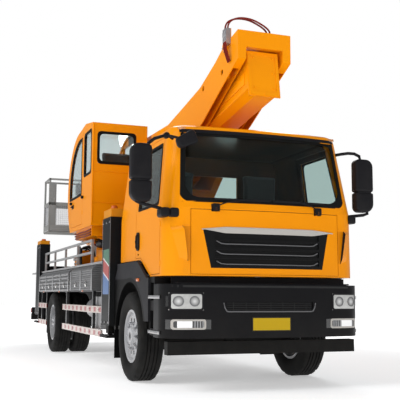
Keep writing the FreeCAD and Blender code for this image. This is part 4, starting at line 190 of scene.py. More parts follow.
class Bench:
    """The node tree of one material."""

    def __init__(self, title: str) -> None:
        """Makes an empty material.

        Args:
            title: the material's name.
        """
        self.material = bpy.data.materials.new(title)
        self.material.use_nodes = True
        self.tree = self.material.node_tree
        self.tree.nodes.clear()
        self._place: Optional[bpy.types.NodeSocket] = None
        self._axes: dict[Axis, Signal] = {}

    def add(self, kind: str, settings: Optional[dict] = None,
            inputs: Optional[dict] = None) -> bpy.types.Node:
        """Adds any node.

        Args:
            kind: the node's type.
            settings: its own properties, set first; "stops" fills a ramp.
            inputs: values or links by socket name or number.

        Returns:
            The node.
        """
        node = self.tree.nodes.new(kind)
        for key, value in (settings or {}).items():
            if key == "stops":
                self._fill_ramp(node, value)
            else:
                setattr(node, key, value)
        for key, value in (inputs or {}).items():
            socket = node.inputs[key]
            if isinstance(value, Signal):
                self.tree.links.new(value.socket, socket)
            elif isinstance(value, bpy.types.NodeSocket):
                self.tree.links.new(value, socket)
            elif isinstance(value, (tuple, list)) and socket.type == "RGBA":
                socket.default_value = (*value[:3], 1.0)
            else:
                socket.default_value = value
        return node

    @staticmethod
    def _fill_ramp(node: bpy.types.Node, stops: Sequence[tuple[float, Colour]]) -> None:
        """Sets a colour ramp's stops.

        Args:
            node: the ramp's node.
            stops: places and colours in order.
        """
        elements = node.color_ramp.elements
        while len(elements) < len(stops):
            elements.new(1.0)
        for element, (place, colour) in zip(elements, stops):
            element.position = place
            element.color = (*colour, 1.0)

    @property
    def place(self) -> bpy.types.NodeSocket:
        """Where a point of the surface is in the machine's frame."""
        if self._place is None:
            self._place = self.add("ShaderNodeTexCoord").outputs["Object"]
        return self._place

    def axis(self, axis: Axis) -> Signal:
        """One coordinate of the surface point."""
        if not self._axes:
            node = self.add("ShaderNodeSeparateXYZ", inputs={"Vector": self.place})
            self._axes = {one: Signal(self, node.outputs[one.value]) for one in Axis}
        return self._axes[axis]

    def stretched(self, scale: Sequence[float]) -> bpy.types.NodeSocket:
        """The surface point with each coordinate multiplied."""
        node = self.add("ShaderNodeVectorMath", {"operation": "MULTIPLY"},
                        {0: self.place, 1: tuple(scale)})
        return node.outputs[0]

    def noise(self, scale: float, detail: float = 2.0, roughness: float = 0.5,
              vector: Optional[bpy.types.NodeSocket] = None) -> Signal:
        """Soft random variation.

        Args:
            scale: how many clouds fit in a metre.
            detail: how many finer layers are added.
            roughness: how strong the finer layers are.
            vector: where to read it, the surface point if left out.

        Returns:
            A value around 0.5.
        """
        node = self.add("ShaderNodeTexNoise", None,
                        {"Vector": vector or self.place, "Scale": scale, "Detail": detail,
                         "Roughness": roughness})
        return Signal(self, node.outputs[0])

    def cells(self, scale: float, vector: Optional[bpy.types.NodeSocket] = None) -> Signal:
        """Distance to the middle of random cells."""
        node = self.add("ShaderNodeTexVoronoi", None,
                        {"Vector": vector or self.place, "Scale": scale})
        return Signal(self, node.outputs["Distance"])

    def blend(self, share: Value, first: object, second: object) -> bpy.types.NodeSocket:
        """Mixes two colours.

        Args:
            share: how much of the second shows.
            first: a colour or a socket.
            second: a colour or a socket.

        Returns:
            The mixed colour.
        """
        node = self.add("ShaderNodeMix", {"data_type": "RGBA", "clamp_factor": True},
                        {0: share, 6: first, 7: second})
        return node.outputs[2]

    def bump(self, height: Signal, depth: float, strength: float = 1.0) -> bpy.types.NodeSocket:
        """Turns a height into a bent normal.

        Args:
            height: the relief, from 0 to 1.
            depth: its depth in metres.
            strength: how much of it shows.

        Returns:
            The normal.
        """
        node = self.add("ShaderNodeBump", None,
                        {"Height": height, "Distance": depth, "Strength": strength})
        return node.outputs[0]

    def shader(self, **sockets: object) -> bpy.types.NodeSocket:
        """Adds a Principled shader; an underscore in a name stands for a space."""
        inputs = {key.replace("_", " "): value for key, value in sockets.items()}
        return self.add("ShaderNodeBsdfPrincipled", None, inputs).outputs[0]

    def close(self, surface: bpy.types.NodeSocket) -> bpy.types.Material:
        """Joins the surface to the material's output and hands the material over."""
        self.add("ShaderNodeOutputMaterial", None, {"Surface": surface})
        return self.material

    def finished(self, **sockets: object) -> bpy.types.Material:
        """Closes the tree with one Principled shader of the given sockets."""
        return self.close(self.shader(**sockets))

    def within(self, axis: Axis, low: float, high: float) -> Signal:
        """1 where a coordinate lies between two values, else 0."""
        value = self.axis(axis)
        return (value > low) * (value < high)


DUST: Colour = (0.30, 0.27, 0.23)
BLACK: Colour = (0.012, 0.012, 0.013)
COAT_ROUGHNESS = 0.08
PLASTIC_GLOSS = 0.10
PEEL_SCALE = 160.0


def darker(colour: Colour, share: float) -> Colour:
    """A colour with each part multiplied."""
    return tuple(part * share for part in colour)


@dataclass(frozen=True)
class Finish:
    """A surface finish; it makes its material once."""

    title: str
    colour: Colour
    roughness: float = 0.4

    def material(self) -> bpy.types.Material:
        """The finish's material, made on first use.

        Returns:
            The material.
        """
        found = bpy.data.materials.get(self.title)
        if found is not None:
            return found
        bench = Bench(self.title)
        return self.wire(bench)

    def wire(self, bench: Bench) -> bpy.types.Material:
        """Builds the tree.

        Args:
            bench: the empty tree.

        Returns:
            The finished material.
        """
        tone = bench.blend(bench.noise(9.0) * 0.4, self.colour, DUST)
        return bench.finished(Base_Color=tone, Roughness=self.roughness)


@dataclass(frozen=True)
class Paint(Finish):
    """Sprayed gloss or satin paint with road dust low down and a fine peel."""

    shade: Colour = (0.5, 0.2, 0.02)
    coat: float = 0.5
    dust: float = 0.25
    dust_top: float = 1.6
    peel: float = 0.00025
    gloss: float = 0.12

    def tone(self, bench: Bench, colour: object) -> tuple[bpy.types.NodeSocket, Signal]:
        """Colour with cloudy variation and dust.

        Args:
            bench: the tree.
            colour: the clean colour, or a socket that carries it.

        Returns:
            The colour and how dusty each point is.
        """
        cloud = bench.noise(1.4, 3.0)
        low = ((self.dust_top - bench.axis(Axis.Z)) / self.dust_top).clamped()
        grime = low * bench.noise(7.0, 4.0, 0.65) * self.dust
        base = bench.blend((cloud - 0.35).clamped() * 0.5, colour, self.shade)
        return bench.blend(grime, base, DUST), grime

    def pattern(self, bench: Bench) -> object:
        """The clean colour before dust; a plain one here."""
        return self.colour

    def relief(self, bench: Bench) -> bpy.types.NodeSocket:
        """Orange peel."""
        return bench.bump(bench.noise(PEEL_SCALE, 1.0), self.peel, 0.35)

    def wire(self, bench: Bench) -> bpy.types.Material:
        """Builds the paint's tree.

        Args:
            bench: the empty tree.

        Returns:
            The finished material.
        """
        tone, grime = self.tone(bench, self.pattern(bench))
        rough = grime * 0.5 + self.roughness + bench.noise(3.0) * 0.06
        return bench.finished(
            Base_Color=tone, Roughness=rough, Normal=self.relief(bench),
            Specular_IOR_Level=self.gloss, Coat_Weight=self.coat,
            Coat_Roughness=COAT_ROUGHNESS)


@dataclass(frozen=True)
class ColumnPaint(Paint):
    """Outrigger columns: black below, an amber cap and an amber lamp at the top."""

    cap: Colour = (0.62, 0.24, 0.012)
    lens: Colour = (0.55, 0.10, 0.01)
    cap_from: float = 1.965
    lens_from: float = 2.07

    def pattern(self, bench: Bench) -> object:
        """Black, then amber above the cap's seam, then the lens.

        Args:
            bench: the tree.

        Returns:
            The clean colour, or a socket that carries it.
        """
        height = bench.axis(Axis.Z)
        body = bench.blend(height > self.cap_from, self.colour, self.cap)
        return bench.blend(height > self.lens_from, body, self.lens)


@dataclass(frozen=True)
class BumperPlastic(Finish):
    """Moulded black plastic with a blank yellow plate in its middle."""

    plate: Colour = (0.50, 0.33, 0.01)
    plate_half: float = 0.22
    plate_low: float = 0.616
    plate_high: float = 0.756
    plate_from: float = 5.086
    rim: float = 0.008

    def wire(self, bench: Bench) -> bpy.types.Material:
        """Builds grain, and the plate with its raised rim.

        Args:
            bench: the empty tree.

        Returns:
            The finished material.
        """
        side = abs(bench.axis(Axis.Y))
        front = bench.axis(Axis.X) > self.plate_from
        inside = front * (side < self.plate_half) * bench.within(
            Axis.Z, self.plate_low, self.plate_high)
        field_area = front * (side < self.plate_half - self.rim) * bench.within(
            Axis.Z, self.plate_low + self.rim, self.plate_high - self.rim)
        grime = ((1.2 - bench.axis(Axis.Z)).clamped() * bench.noise(6.0, 4.0)) * 0.05
        dark = bench.blend(grime, self.colour, DUST)
        yellow = bench.blend(bench.noise(30.0) * 0.25, self.plate, (0.42, 0.27, 0.02))
        edge = bench.blend(field_area, (0.05, 0.04, 0.02), yellow)
        tone = bench.blend(inside, dark, edge)
        grain = bench.noise(420.0, 2.0)
        rough = self.roughness - inside * 0.12
        return bench.finished(
            Base_Color=tone, Roughness=rough, Normal=bench.bump(grain, 0.0006, 0.4),
            Specular_IOR_Level=PLASTIC_GLOSS)


@dataclass(frozen=True)
class Plastic(Finish):
    """Moulded plastic with a fine grain and a little dust."""

    grain: float = 380.0
    dust: float = 0.12

    def wire(self, bench: Bench) -> bpy.types.Material:
        """Builds the grained surface.

        Args:
            bench: the empty tree.

        Returns:
            The finished material.
        """
        grime = bench.noise(8.0, 4.0) * self.dust
        tone = bench.blend(grime, self.colour, DUST)
        bumps = bench.noise(self.grain, 2.0)
        return bench.finished(
            Base_Color=tone, Roughness=bench.noise(5.0) * 0.1 + self.roughness,
            Normal=bench.bump(bumps, 0.0005, 0.35), Specular_IOR_Level=PLASTIC_GLOSS)


@dataclass(frozen=True)
class Rubber(Finish):
    """Dusty rubber; tyres get faint rings of mould lines."""

    dust: float = 0.3

    def wire(self, bench: Bench) -> bpy.types.Material:
        """Builds the matt surface.

        Args:
            bench: the empty tree.

        Returns:
            The finished material.
        """
        patches = bench.noise(6.0, 5.0, 0.7)
        tone = bench.blend((patches - 0.35).clamped() * self.dust, self.colour, DUST)
        fine = bench.noise(260.0, 3.0) + bench.noise(40.0) * 0.5
        return bench.finished(
            Base_Color=tone, Roughness=patches * 0.15 + self.roughness,
            Normal=bench.bump(fine, 0.0008, 0.5), Specular_IOR_Level=0.12)


@dataclass(frozen=True)
class Metal(Finish):
    """Bare metal, brushed along one direction, with smudges."""

    grain: tuple[float, float, float] = (6.0, 220.0, 220.0)
    dust: float = 0.2
    dust_top: float = 1.3

    def wire(self, bench: Bench) -> bpy.types.Material:
        """Builds the brushed surface.

        Args:
            bench: the empty tree.

        Returns:
            The finished material.
        """
        lines = bench.noise(1.0, 2.0, vector=bench.stretched(self.grain))
        smudge = bench.noise(5.0, 4.0, 0.6)
        low = ((self.dust_top - bench.axis(Axis.Z)) / self.dust_top).clamped()
        grime = (smudge - 0.3).clamped() * (low + 0.2) * self.dust
        tone = bench.blend(lines * 0.35, self.colour, darker(self.colour, 0.72))
        dusty = bench.blend(grime * 2.0, tone, DUST)
        rough = lines * 0.12 + self.roughness + smudge * 0.1
        return bench.finished(
            Base_Color=dusty, Roughness=rough, Metallic=1.0 - grime.clamped(),
            Normal=bench.bump(lines, 0.0004, 0.3))


@dataclass(frozen=True)
class TreadPlate(Metal):
    """Aluminium floor plate with raised lozenges on its upper side."""

    pitch: float = 0.05

    def wire(self, bench: Bench) -> bpy.types.Material:
        """Builds the lozenge relief over the metal.

        Args:
            bench: the empty tree.

        Returns:
            The finished material.
        """
        along = bench.axis(Axis.X)
        across = bench.axis(Axis.Y)
        first = (along + across).wave(self.pitch) * (along - across).wave(self.pitch * 0.5)
        second = (along - across).wave(self.pitch) * (along + across).wave(self.pitch * 0.5)
        relief = (first.maths("MAXIMUM", first, second) - 0.55).clamped() * 2.0
        smudge = bench.noise(4.0, 5.0, 0.6)
        tone = bench.blend(smudge * 0.5, self.colour, darker(self.colour, 0.6))
        dusty = bench.blend((smudge - 0.3).clamped() * 0.6, tone, DUST)
        return bench.finished(
            Base_Color=dusty, Roughness=smudge * 0.2 + self.roughness, Metallic=0.85,
            Normal=bench.bump(relief, 0.002, 0.8))


@dataclass(frozen=True)
class Bands(Finish):
    """Pale guard bars with square red reflectors at an even pitch."""

    mark: Colour = (0.30, 0.02, 0.02)
    pitch: float = 0.30
    share: float = 0.45
    levels: tuple[float, float] = (0.485, 0.790)
    mark_half: float = 0.030
    bar_half: float = 0.0455
    axis: Axis = Axis.X

    def wire(self, bench: Bench) -> bpy.types.Material:
        """Builds the banded tape over pale aluminium.

        Args:
            bench: the empty tree.

        Returns:
            The finished material.
        """
        cell = bench.axis(self.axis).saw(self.pitch)
        height = bench.axis(Axis.Z)
        low = abs(height - self.levels[0])
        high = abs(height - self.levels[1])
        near = low.maths("MINIMUM", low, high)
        red = (cell < self.share) * (near < self.mark_half)
        shade = bench.blend(bench.noise(18.0, 4.0) * 0.5, self.colour, DUST)
        bar = bench.blend(red, shade, self.mark)
        tone = bench.blend(near > self.bar_half, bar, BLACK)
        facets = bench.cells(130.0)
        return bench.finished(
            Base_Color=tone, Roughness=self.roughness, Coat_Weight=0.3, Coat_Roughness=0.15,
            Normal=bench.bump(facets, 0.0004, 0.4))


@dataclass(frozen=True)
class Glass(Finish):
    """Tinted window glass with a faint film of dust."""

    film: float = 0.05

    def wire(self, bench: Bench) -> bpy.types.Material:
        """Builds the pane.

        Args:
            bench: the empty tree.

        Returns:
            The finished material.
        """
        smear = (bench.noise(3.0, 5.0, 0.6) - 0.45).clamped() * self.film
        return bench.finished(Base_Color=self.colour, Roughness=smear + self.roughness,
                              Transmission_Weight=1.0, IOR=1.2)


@dataclass(frozen=True)
class Lens(Finish):
    """Moulded lamp lens with ribs."""

    clear: float = 0.6
    rib: float = 0.012

    def wire(self, bench: Bench) -> bpy.types.Material:
        """Builds the ribbed lens.

        Args:
            bench: the empty tree.

        Returns:
            The finished material.
        """
        ribs = bench.axis(Axis.Y).wave(self.rib) * 0.5 + bench.axis(Axis.Z).wave(self.rib)
        tone = bench.blend(bench.noise(50.0) * 0.2, self.colour, darker(self.colour, 0.7))
        return bench.finished(
            Base_Color=tone, Roughness=self.roughness, Transmission_Weight=self.clear, IOR=1.49,
            Normal=bench.bump(ribs, 0.0008, 0.5), Coat_Weight=0.5, Coat_Roughness=0.03)


@dataclass(frozen=True)
class Fabric(Finish):
    """Woven seat cover with sheen."""

    thread: float = 0.004

    def wire(self, bench: Bench) -> bpy.types.Material:
        """Builds the weave.

        Args:
            bench: the empty tree.

        Returns:
            The finished material.
        """
        weave = bench.axis(Axis.X).wave(self.thread) * bench.axis(Axis.Y).wave(self.thread)
        weave = weave + bench.axis(Axis.Z).wave(self.thread) * 0.5
        worn = bench.noise(7.0, 3.0)
        tone = bench.blend(worn * 0.5, self.colour, darker(self.colour, 1.8))
        return bench.finished(
            Base_Color=tone, Roughness=0.9, Sheen_Weight=0.3, Sheen_Roughness=0.5,
            Normal=bench.bump(weave, 0.0008, 0.5))


AMBER = Paint("amber paint", (0.82, 0.275, 0.001), 0.28, shade=(0.72, 0.205, 0.001),
              dust=0.06, coat=0.12)
CHASSIS = Paint("chassis black", (0.006, 0.006, 0.006), 0.45, shade=(0.012, 0.012, 0.013),
                coat=0.0, dust=0.06, gloss=0.08)
GUARD_BLACK = Paint("step black", (0.007, 0.007, 0.008), 0.42, shade=(0.012, 0.012, 0.012),
                    coat=0.0, dust=0.06, gloss=0.08)
COLUMN_FRONT = ColumnPaint("front column paint", (0.008, 0.009, 0.010), 0.36,
                           shade=(0.014, 0.015, 0.017), coat=0.0, dust=0.05, gloss=0.08)
COLUMN_REAR = ColumnPaint("rear column paint", (0.008, 0.009, 0.010), 0.36,
                          shade=(0.014, 0.015, 0.017), coat=0.0, dust=0.05, gloss=0.08,
                          cap_from=1.9655, lens_from=2.0355)
BUMPER = BumperPlastic("bumper plastic", (0.005, 0.005, 0.006), 0.36)
BLACK_PLASTIC = Plastic("black plastic", (0.007, 0.007, 0.009), 0.38, dust=0.03)
GREY_PLASTIC = Plastic("grey plastic", (0.02, 0.021, 0.022), 0.5, dust=0.05)
GASKET = Rubber("window rubber", (0.005, 0.005, 0.005), 0.5, dust=0.02)
TYRE = Rubber("tyre rubber", (0.009, 0.009, 0.009), 0.62, dust=0.10)
WHEEL = Paint("wheel silver", (0.42, 0.43, 0.45), 0.32, shade=(0.25, 0.25, 0.27), coat=0.2,
              dust=0.5)
ALUMINIUM = Metal("brushed aluminium", (0.62, 0.62, 0.63), 0.36)
FLOOR_PLATE = TreadPlate("tread plate", (0.55, 0.55, 0.56), 0.4)
STEEL = Metal("bright steel", (0.58, 0.58, 0.6), 0.24, grain=(40.0, 40.0, 40.0))
CHROME = Metal("chrome", (0.78, 0.77, 0.75), 0.1, grain=(20.0, 20.0, 20.0), dust=0.05)
GREY_PAINT = Paint("grey paint", (0.26, 0.26, 0.25), 0.4, shade=(0.18, 0.18, 0.17), coat=0.1,
                   dust=0.1)
BANDS = Bands("banded guard", (0.55, 0.45, 0.40), 0.35)
CAB_GLASS = Glass("cab glass", (0.60, 0.70, 0.68), 0.01)
BOOTH_GLASS = Glass("booth glass", (0.72, 0.78, 0.78), 0.01)
CLEAR_LENS = Lens("clear lens", (0.9, 0.9, 0.88), 0.05, clear=0.9)
AMBER_LENS = Lens("amber lens", (0.75, 0.16, 0.01), 0.12, clear=0.25)
RED_LENS = Lens("red lens", (0.45, 0.012, 0.01), 0.12, clear=0.2)
SEAT_CLOTH = Fabric("seat cloth", (0.03, 0.03, 0.034))
HOSE = Rubber("hose rubber", (0.16, 0.014, 0.009), 0.42, dust=0.03)


# Meshes

def placed(name: str, data: object) -> bpy.types.Object:
    """Puts a new object with the given data in the scene.

    Args:
        name: the object's name.
        data: its mesh, curve, camera or light.

    Returns:
        The object.
    """
    thing = bpy.data.objects.new(name, data)
    bpy.context.scene.collection.objects.link(thing)
    return thing


def baked(thing: bpy.types.Object) -> bpy.types.Mesh:
    """The object's mesh with its modifiers applied."""
    graph = bpy.context.evaluated_depsgraph_get()
    return bpy.data.meshes.new_from_object(thing.evaluated_get(graph))


class Shape:
    """Collects faces for one piece, in the machine's frame."""

    def __init__(self) -> None:
        """Starts empty."""
        self.mesh = bmesh.new()

    def bridge(self, near: Sequence[bmesh.types.BMVert], far: Sequence[bmesh.types.BMVert]
               ) -> list[bmesh.types.BMFace]:
        """Joins two rings of points with a belt of faces.

        Args:
            near: one ring's points in order.
            far: the other's, as many.

        Returns:
            The belt's faces.
        """
        count = len(near)
        faces = []
        for index in range(count):
            following = (index + 1) % count
            faces.append(self.mesh.faces.new(
                (near[index], near[following], far[following], far[index])))
        return faces

    def prism(self, spots: Sequence[Point], shift: Vector) -> list[bmesh.types.BMFace]:
        """Closes a ring of points into a solid along a shift.

        Args:
            spots: the ring's points in order.
            shift: from one end to the other.

        Returns:
            The solid's faces.
        """
        ring = [self.mesh.verts.new(spot) for spot in spots]
        far = [self.mesh.verts.new(vert.co + shift) for vert in ring]
        faces = [self.mesh.faces.new(ring[::-1]), self.mesh.faces.new(far)]
        return faces + self.bridge(ring, far)

    def _soften(self, faces: Iterable[bmesh.types.BMFace], bevel: float, steps: int) -> None:
        """Rounds every edge of some faces.

        Args:
            faces: whose edges are rounded.
            bevel: the rounding's size.
            steps: its segments.
        """
        if bevel <= 0:
            return
        edges = list({edge for face in faces for edge in face.edges})
        bmesh.ops.bevel(self.mesh, geom=edges, offset=bevel, segments=steps, profile=0.5,
                        affect="EDGES", clamp_overlap=True)

    def slab(self, points: Sequence[Sequence[float]], axis: Axis, low: float, high: float,
             bevel: float = 0.0, steps: int = 2) -> "Shape":
        """A flat outline given thickness.

        Args:
            points: the outline in the two coordinates other than the axis, in x, y, z order.
            axis: the direction of the thickness.
            low: where it starts.
            high: where it ends.
            bevel: rounding of its edges.
            steps: segments of the rounding.

        Returns:
            This shape.
        """
        others = axis.others
        ring = []
        for first, second in points:
            spot = Vector((0.0, 0.0, 0.0))
            spot[axis.value] = low
            spot[others[0].value] = first
            spot[others[1].value] = second
            ring.append(spot)
        self._soften(self.prism(ring, axis.vector * (high - low)), bevel, steps)
        return self

    def block(self, low: Point, high: Point, bevel: float = 0.002, steps: int = 2) -> "Shape":
        """A block between two corners with rounded edges."""
        outline = [(low[0], low[1]), (high[0], low[1]), (high[0], high[1]), (low[0], high[1])]
        return self.slab(outline, Axis.Z, low[2], high[2], bevel, steps)

    def lathe(self, profile: Sequence[Sequence[float]], centre: Point, axis: Axis,
              steps: int = 32, wave: Optional[Callable[[int, int, float], float]] = None
              ) -> "Shape":
        """A closed profile turned about an axis.

        Args:
            profile: (radius, offset along the axis) points.
            centre: the axis passes through it.
            axis: the direction of the axis.
            steps: how many facets go round.
            wave: gives the radius from the step, the point's number and its radius.

        Returns:
            This shape.
        """
        others = axis.others
        origin = Vector(centre)
        rings = []
        for step in range(steps):
            angle = 2 * math.pi * step / steps
            way = others[0].vector * math.cos(angle) + others[1].vector * math.sin(angle)
            ring = []
            for number, (radius, offset) in enumerate(profile):
                reach = wave(step, number, radius) if wave else radius
                ring.append(self.mesh.verts.new(origin + way * reach + axis.vector * offset))
            rings.append(ring)
        for near, far in zip(rings, rings[1:] + rings[:1]):
            self.bridge(near, far)
        return self

    def disc(self, centre: Point, axis: Axis, radius: float, depth: float, sides: int = 24,
             bevel: float = 0.0) -> "Shape":
        """A solid round or many-sided plug from the centre along the axis.

        Args:
            centre: the middle of its first face.
            axis: the plug's direction.
            radius: its radius.
            depth: its length; below zero it runs back.
            sides: how many sides it has.
            bevel: rounding of its edges.

        Returns:
            This shape.
        """
        others = axis.others
        ring = []
        for step in range(sides):
            angle = 2 * math.pi * (step + 0.5) / sides
            ring.append(Vector(centre) + others[0].vector * (radius * math.cos(angle))
                        + others[1].vector * (radius * math.sin(angle)))
        self._soften(self.prism(ring, axis.vector * depth), bevel, 2)
        return self

    def bolt(self, centre: Point, axis: Axis, radius: float, depth: float, bevel: float
             ) -> "Shape":
        """A six-sided bolt head or nut from the centre along the axis."""
        return self.disc(centre, axis, radius, depth, 6, bevel)

    def tube(self, path: Sequence[Point], radius: float, sides: int = 8,
             closed: bool = False) -> "Shape":
        """A round bar along a path.

        Args:
            path: the bar's centre line.
            radius: the bar's radius.
            sides: facets round it.
            closed: whether the last point joins the first.

        Returns:
            This shape.
        """
        section = [(radius * math.cos(2 * math.pi * step / sides),
                    radius * math.sin(2 * math.pi * step / sides)) for step in range(sides)]
        return self.sweep(path, section, closed)

    def sweep(self, path: Sequence[Point], section: Sequence[Sequence[float]],
              closed: bool = False, upward: Point = (0.0, 0.0, 1.0)) -> "Shape":
        """A section carried along a path.

        Args:
            path: the points it follows.
            section: (sideways, upward) points round the path.
            closed: whether the path is a loop.
            upward: what the section's second coordinate leans towards.

        Returns:
            This shape.
        """
        spots = [Vector(point) for point in path]
        count = len(spots)
        rings = []
        for index, spot in enumerate(spots):
            before = spots[index - 1] if index or closed else spot
            after = spots[(index + 1) % count] if index + 1 < count or closed else spot
            way = ((spot - before).normalized() + (after - spot).normalized()).normalized()
            guide = Vector(upward)
            if abs(way.dot(guide.normalized())) > 0.95:
                guide = Vector((1.0, 0.0, 0.0)) if abs(way.x) < 0.9 else Vector((0.0, 1.0, 0.0))
            across = way.cross(guide).normalized()
            raise_way = across.cross(way).normalized()
            turn = (spot - before).normalized().dot(way) if spot != before else 1.0
            stretch = 1.0 / max(turn, 0.6)
            rings.append([self.mesh.verts.new(spot + across * (u * stretch) + raise_way * v)
                          for u, v in section])
        for near, far in zip(rings, rings[1:]):
            self.bridge(near, far)
        if closed:
            self.bridge(rings[-1], rings[0])
        else:
            self.mesh.faces.new(rings[0][::-1])
            self.mesh.faces.new(rings[-1])
        return self

    def band(self, outer: Sequence[Point], inner: Sequence[Point], depth: Point) -> "Shape":
        """A closed frame between two loops of equal length, given depth.

        Args:
            outer: the outer loop on the visible face.
            inner: the inner loop on the visible face.
            depth: the shift from the visible face to the hidden one.

        Returns:
            This shape.
        """
        shift = Vector(depth)
        loops = [[self.mesh.verts.new(Vector(point)) for point in loop]
                 for loop in (outer, inner)]
        loops += [[self.mesh.verts.new(vert.co + shift) for vert in loop] for loop in
                  (loops[1], loops[0])]
        for near, far in zip(loops, loops[1:] + loops[:1]):
            self.bridge(near, far)
        return self

    def mirrored(self) -> "Shape":
        """Adds the same faces on the other side of the machine.

        Returns:
            This shape.
        """
        copied = bmesh.ops.duplicate(self.mesh, geom=self.mesh.verts[:] + self.mesh.edges[:]
                                     + self.mesh.faces[:])
        verts = [item for item in copied["geom"] if isinstance(item, bmesh.types.BMVert)]
        for vert in verts:
            vert.co.y = -vert.co.y
        return self

    def turned(self, matrix: Matrix) -> "Shape":
        """Moves every point by a matrix."""
        self.mesh.transform(matrix)
        return self

    def piece(self, name: str, body: str, finish: Finish,
              replaces: Sequence[str] = (), smooth: float = 35.0) -> bpy.types.Object:
        """Args:
            name: the piece's name.
            body: the body it rides on.
            finish: its finish.
            replaces: nodes it stands for.
            smooth: edges sharper than this many degrees stay sharp.

        Returns:
            The object.
        """
        bmesh.ops.recalc_face_normals(self.mesh, faces=self.mesh.faces[:])
        mesh = bpy.data.meshes.new(name)
        self.mesh.to_mesh(mesh)
        self.mesh.free()
        mesh.shade_smooth()
        mesh.set_sharp_from_angle(angle=math.radians(smooth))
        thing = placed(name, mesh)
        mesh.materials.append(finish.material())
        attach(thing, body)
        if replaces:
            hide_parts(*replaces)
        LOG.info("%s rides on %s", name, body)
        return thing


def rounded_loop(corners: Sequence[Sequence[float]], radii: Sequence[float], steps: int = 6
                 ) -> list[tuple[float, float]]:
    """Rounds the corners of a flat outline.

    Args:
        corners: (u, v) corners in order.
        radii: the radius of each corner.
        steps: segments of each corner.

    Returns:
        The rounded outline, with steps + 1 points for each corner.
    """
    loop = []
    count = len(corners)
    for index, corner in enumerate(corners):
        here = Vector(corner)
        back = (Vector(corners[index - 1]) - here).normalized()
        ahead = (Vector(corners[(index + 1) % count]) - here).normalized()
        half = math.acos(max(-1.0, min(1.0, back.dot(ahead)))) / 2
        radius = max(radii[index], 1e-4)
        centre = here + (back + ahead).normalized() * (radius / math.sin(half))
        start = here + back * (radius / math.tan(half)) - centre
        end = here + ahead * (radius / math.tan(half)) - centre
        angle = start.angle_signed(end)
        for step in range(steps + 1):
            turn = -angle * step / steps
            spot = Vector((start.x * math.cos(turn) - start.y * math.sin(turn),
                           start.x * math.sin(turn) + start.y * math.cos(turn))) + centre
            loop.append((spot.x, spot.y))
    return loop


def rounded_box(low: Sequence[float], high: Sequence[float], radius: float
                ) -> list[tuple[float, float]]:
    """A rectangle between two opposite corners, all four rounded alike."""
    corners_of = [low, (high[0], low[1]), high, (low[0], high[1])]
    return rounded_loop(corners_of, (radius,) * 4)


def denser(loop: list[tuple[float, float]], steps: int = 10) -> list[tuple[float, float]]:
    """Adds points along an outline's four straight sides, between its corners' arcs.

    Args:
        loop: a rounded loop of four corners.
        steps: parts of each straight side.

    Returns:
        The outline with the added points.
    """
    arc = len(loop) // 4
    out = []
    for index, point in enumerate(loop):
        out.append(point)
        if index % arc == arc - 1:
            following = loop[(index + 1) % len(loop)]
            for step in range(1, steps):
                share = step / steps
                out.append((point[0] + (following[0] - point[0]) * share,
                            point[1] + (following[1] - point[1]) * share))
    return out


@dataclass(frozen=True)
class BowedSkin:
    """A bowed front with round corners, as the cab and the bumper have."""

    half: float
    corner: float
    bow: float = math.radians(7.8)

    def setback(self, y: float) -> float:
        """How far behind its nose the surface lies at a distance from the middle line.

        Args:
            y: the distance from the middle line.

        Returns:
            The setback.
        """
        shoulder = self.half - self.corner * (1 - math.sin(self.bow))
        radius = shoulder / math.sin(self.bow)
        side = abs(y)
        if side <= shoulder:
            return radius - math.sqrt(radius * radius - side * side)
        sag = radius * (1 - math.cos(self.bow))
        centre_y = shoulder - self.corner * math.sin(self.bow)
        centre = sag + self.corner * math.cos(self.bow)
        reach = min(side - centre_y, self.corner * 0.9999)
        return centre - math.sqrt(self.corner * self.corner - reach * reach)


# Camera, floor and lights

@dataclass(frozen=True)
class Panel:
    """A soft square light: where it hangs, what it points at, its width and its watts."""

    name: str
    place: tuple[float, float, float]
    aim: tuple[float, float, float]
    size: float
    power: float
    sheen: bool = True


PANELS = (Panel("right panel", (5.0, -13.0, 11.0), (1.5, 0.0, 2.0), 9.0, 1400.0, False),
          Panel("right sheen", (7.0, -12.0, 9.0), (2.0, 0.0, 2.0), 5.0, 160.0),
          Panel("front panel", (16.0, -1.0, 3.4), (4.0, 0.0, 1.8), 5.0, 380.0, False),
          Panel("rear panel", (-12.0, 6.0, 10.0), (-2.0, 0.0, 2.0), 8.0, 1050.0))


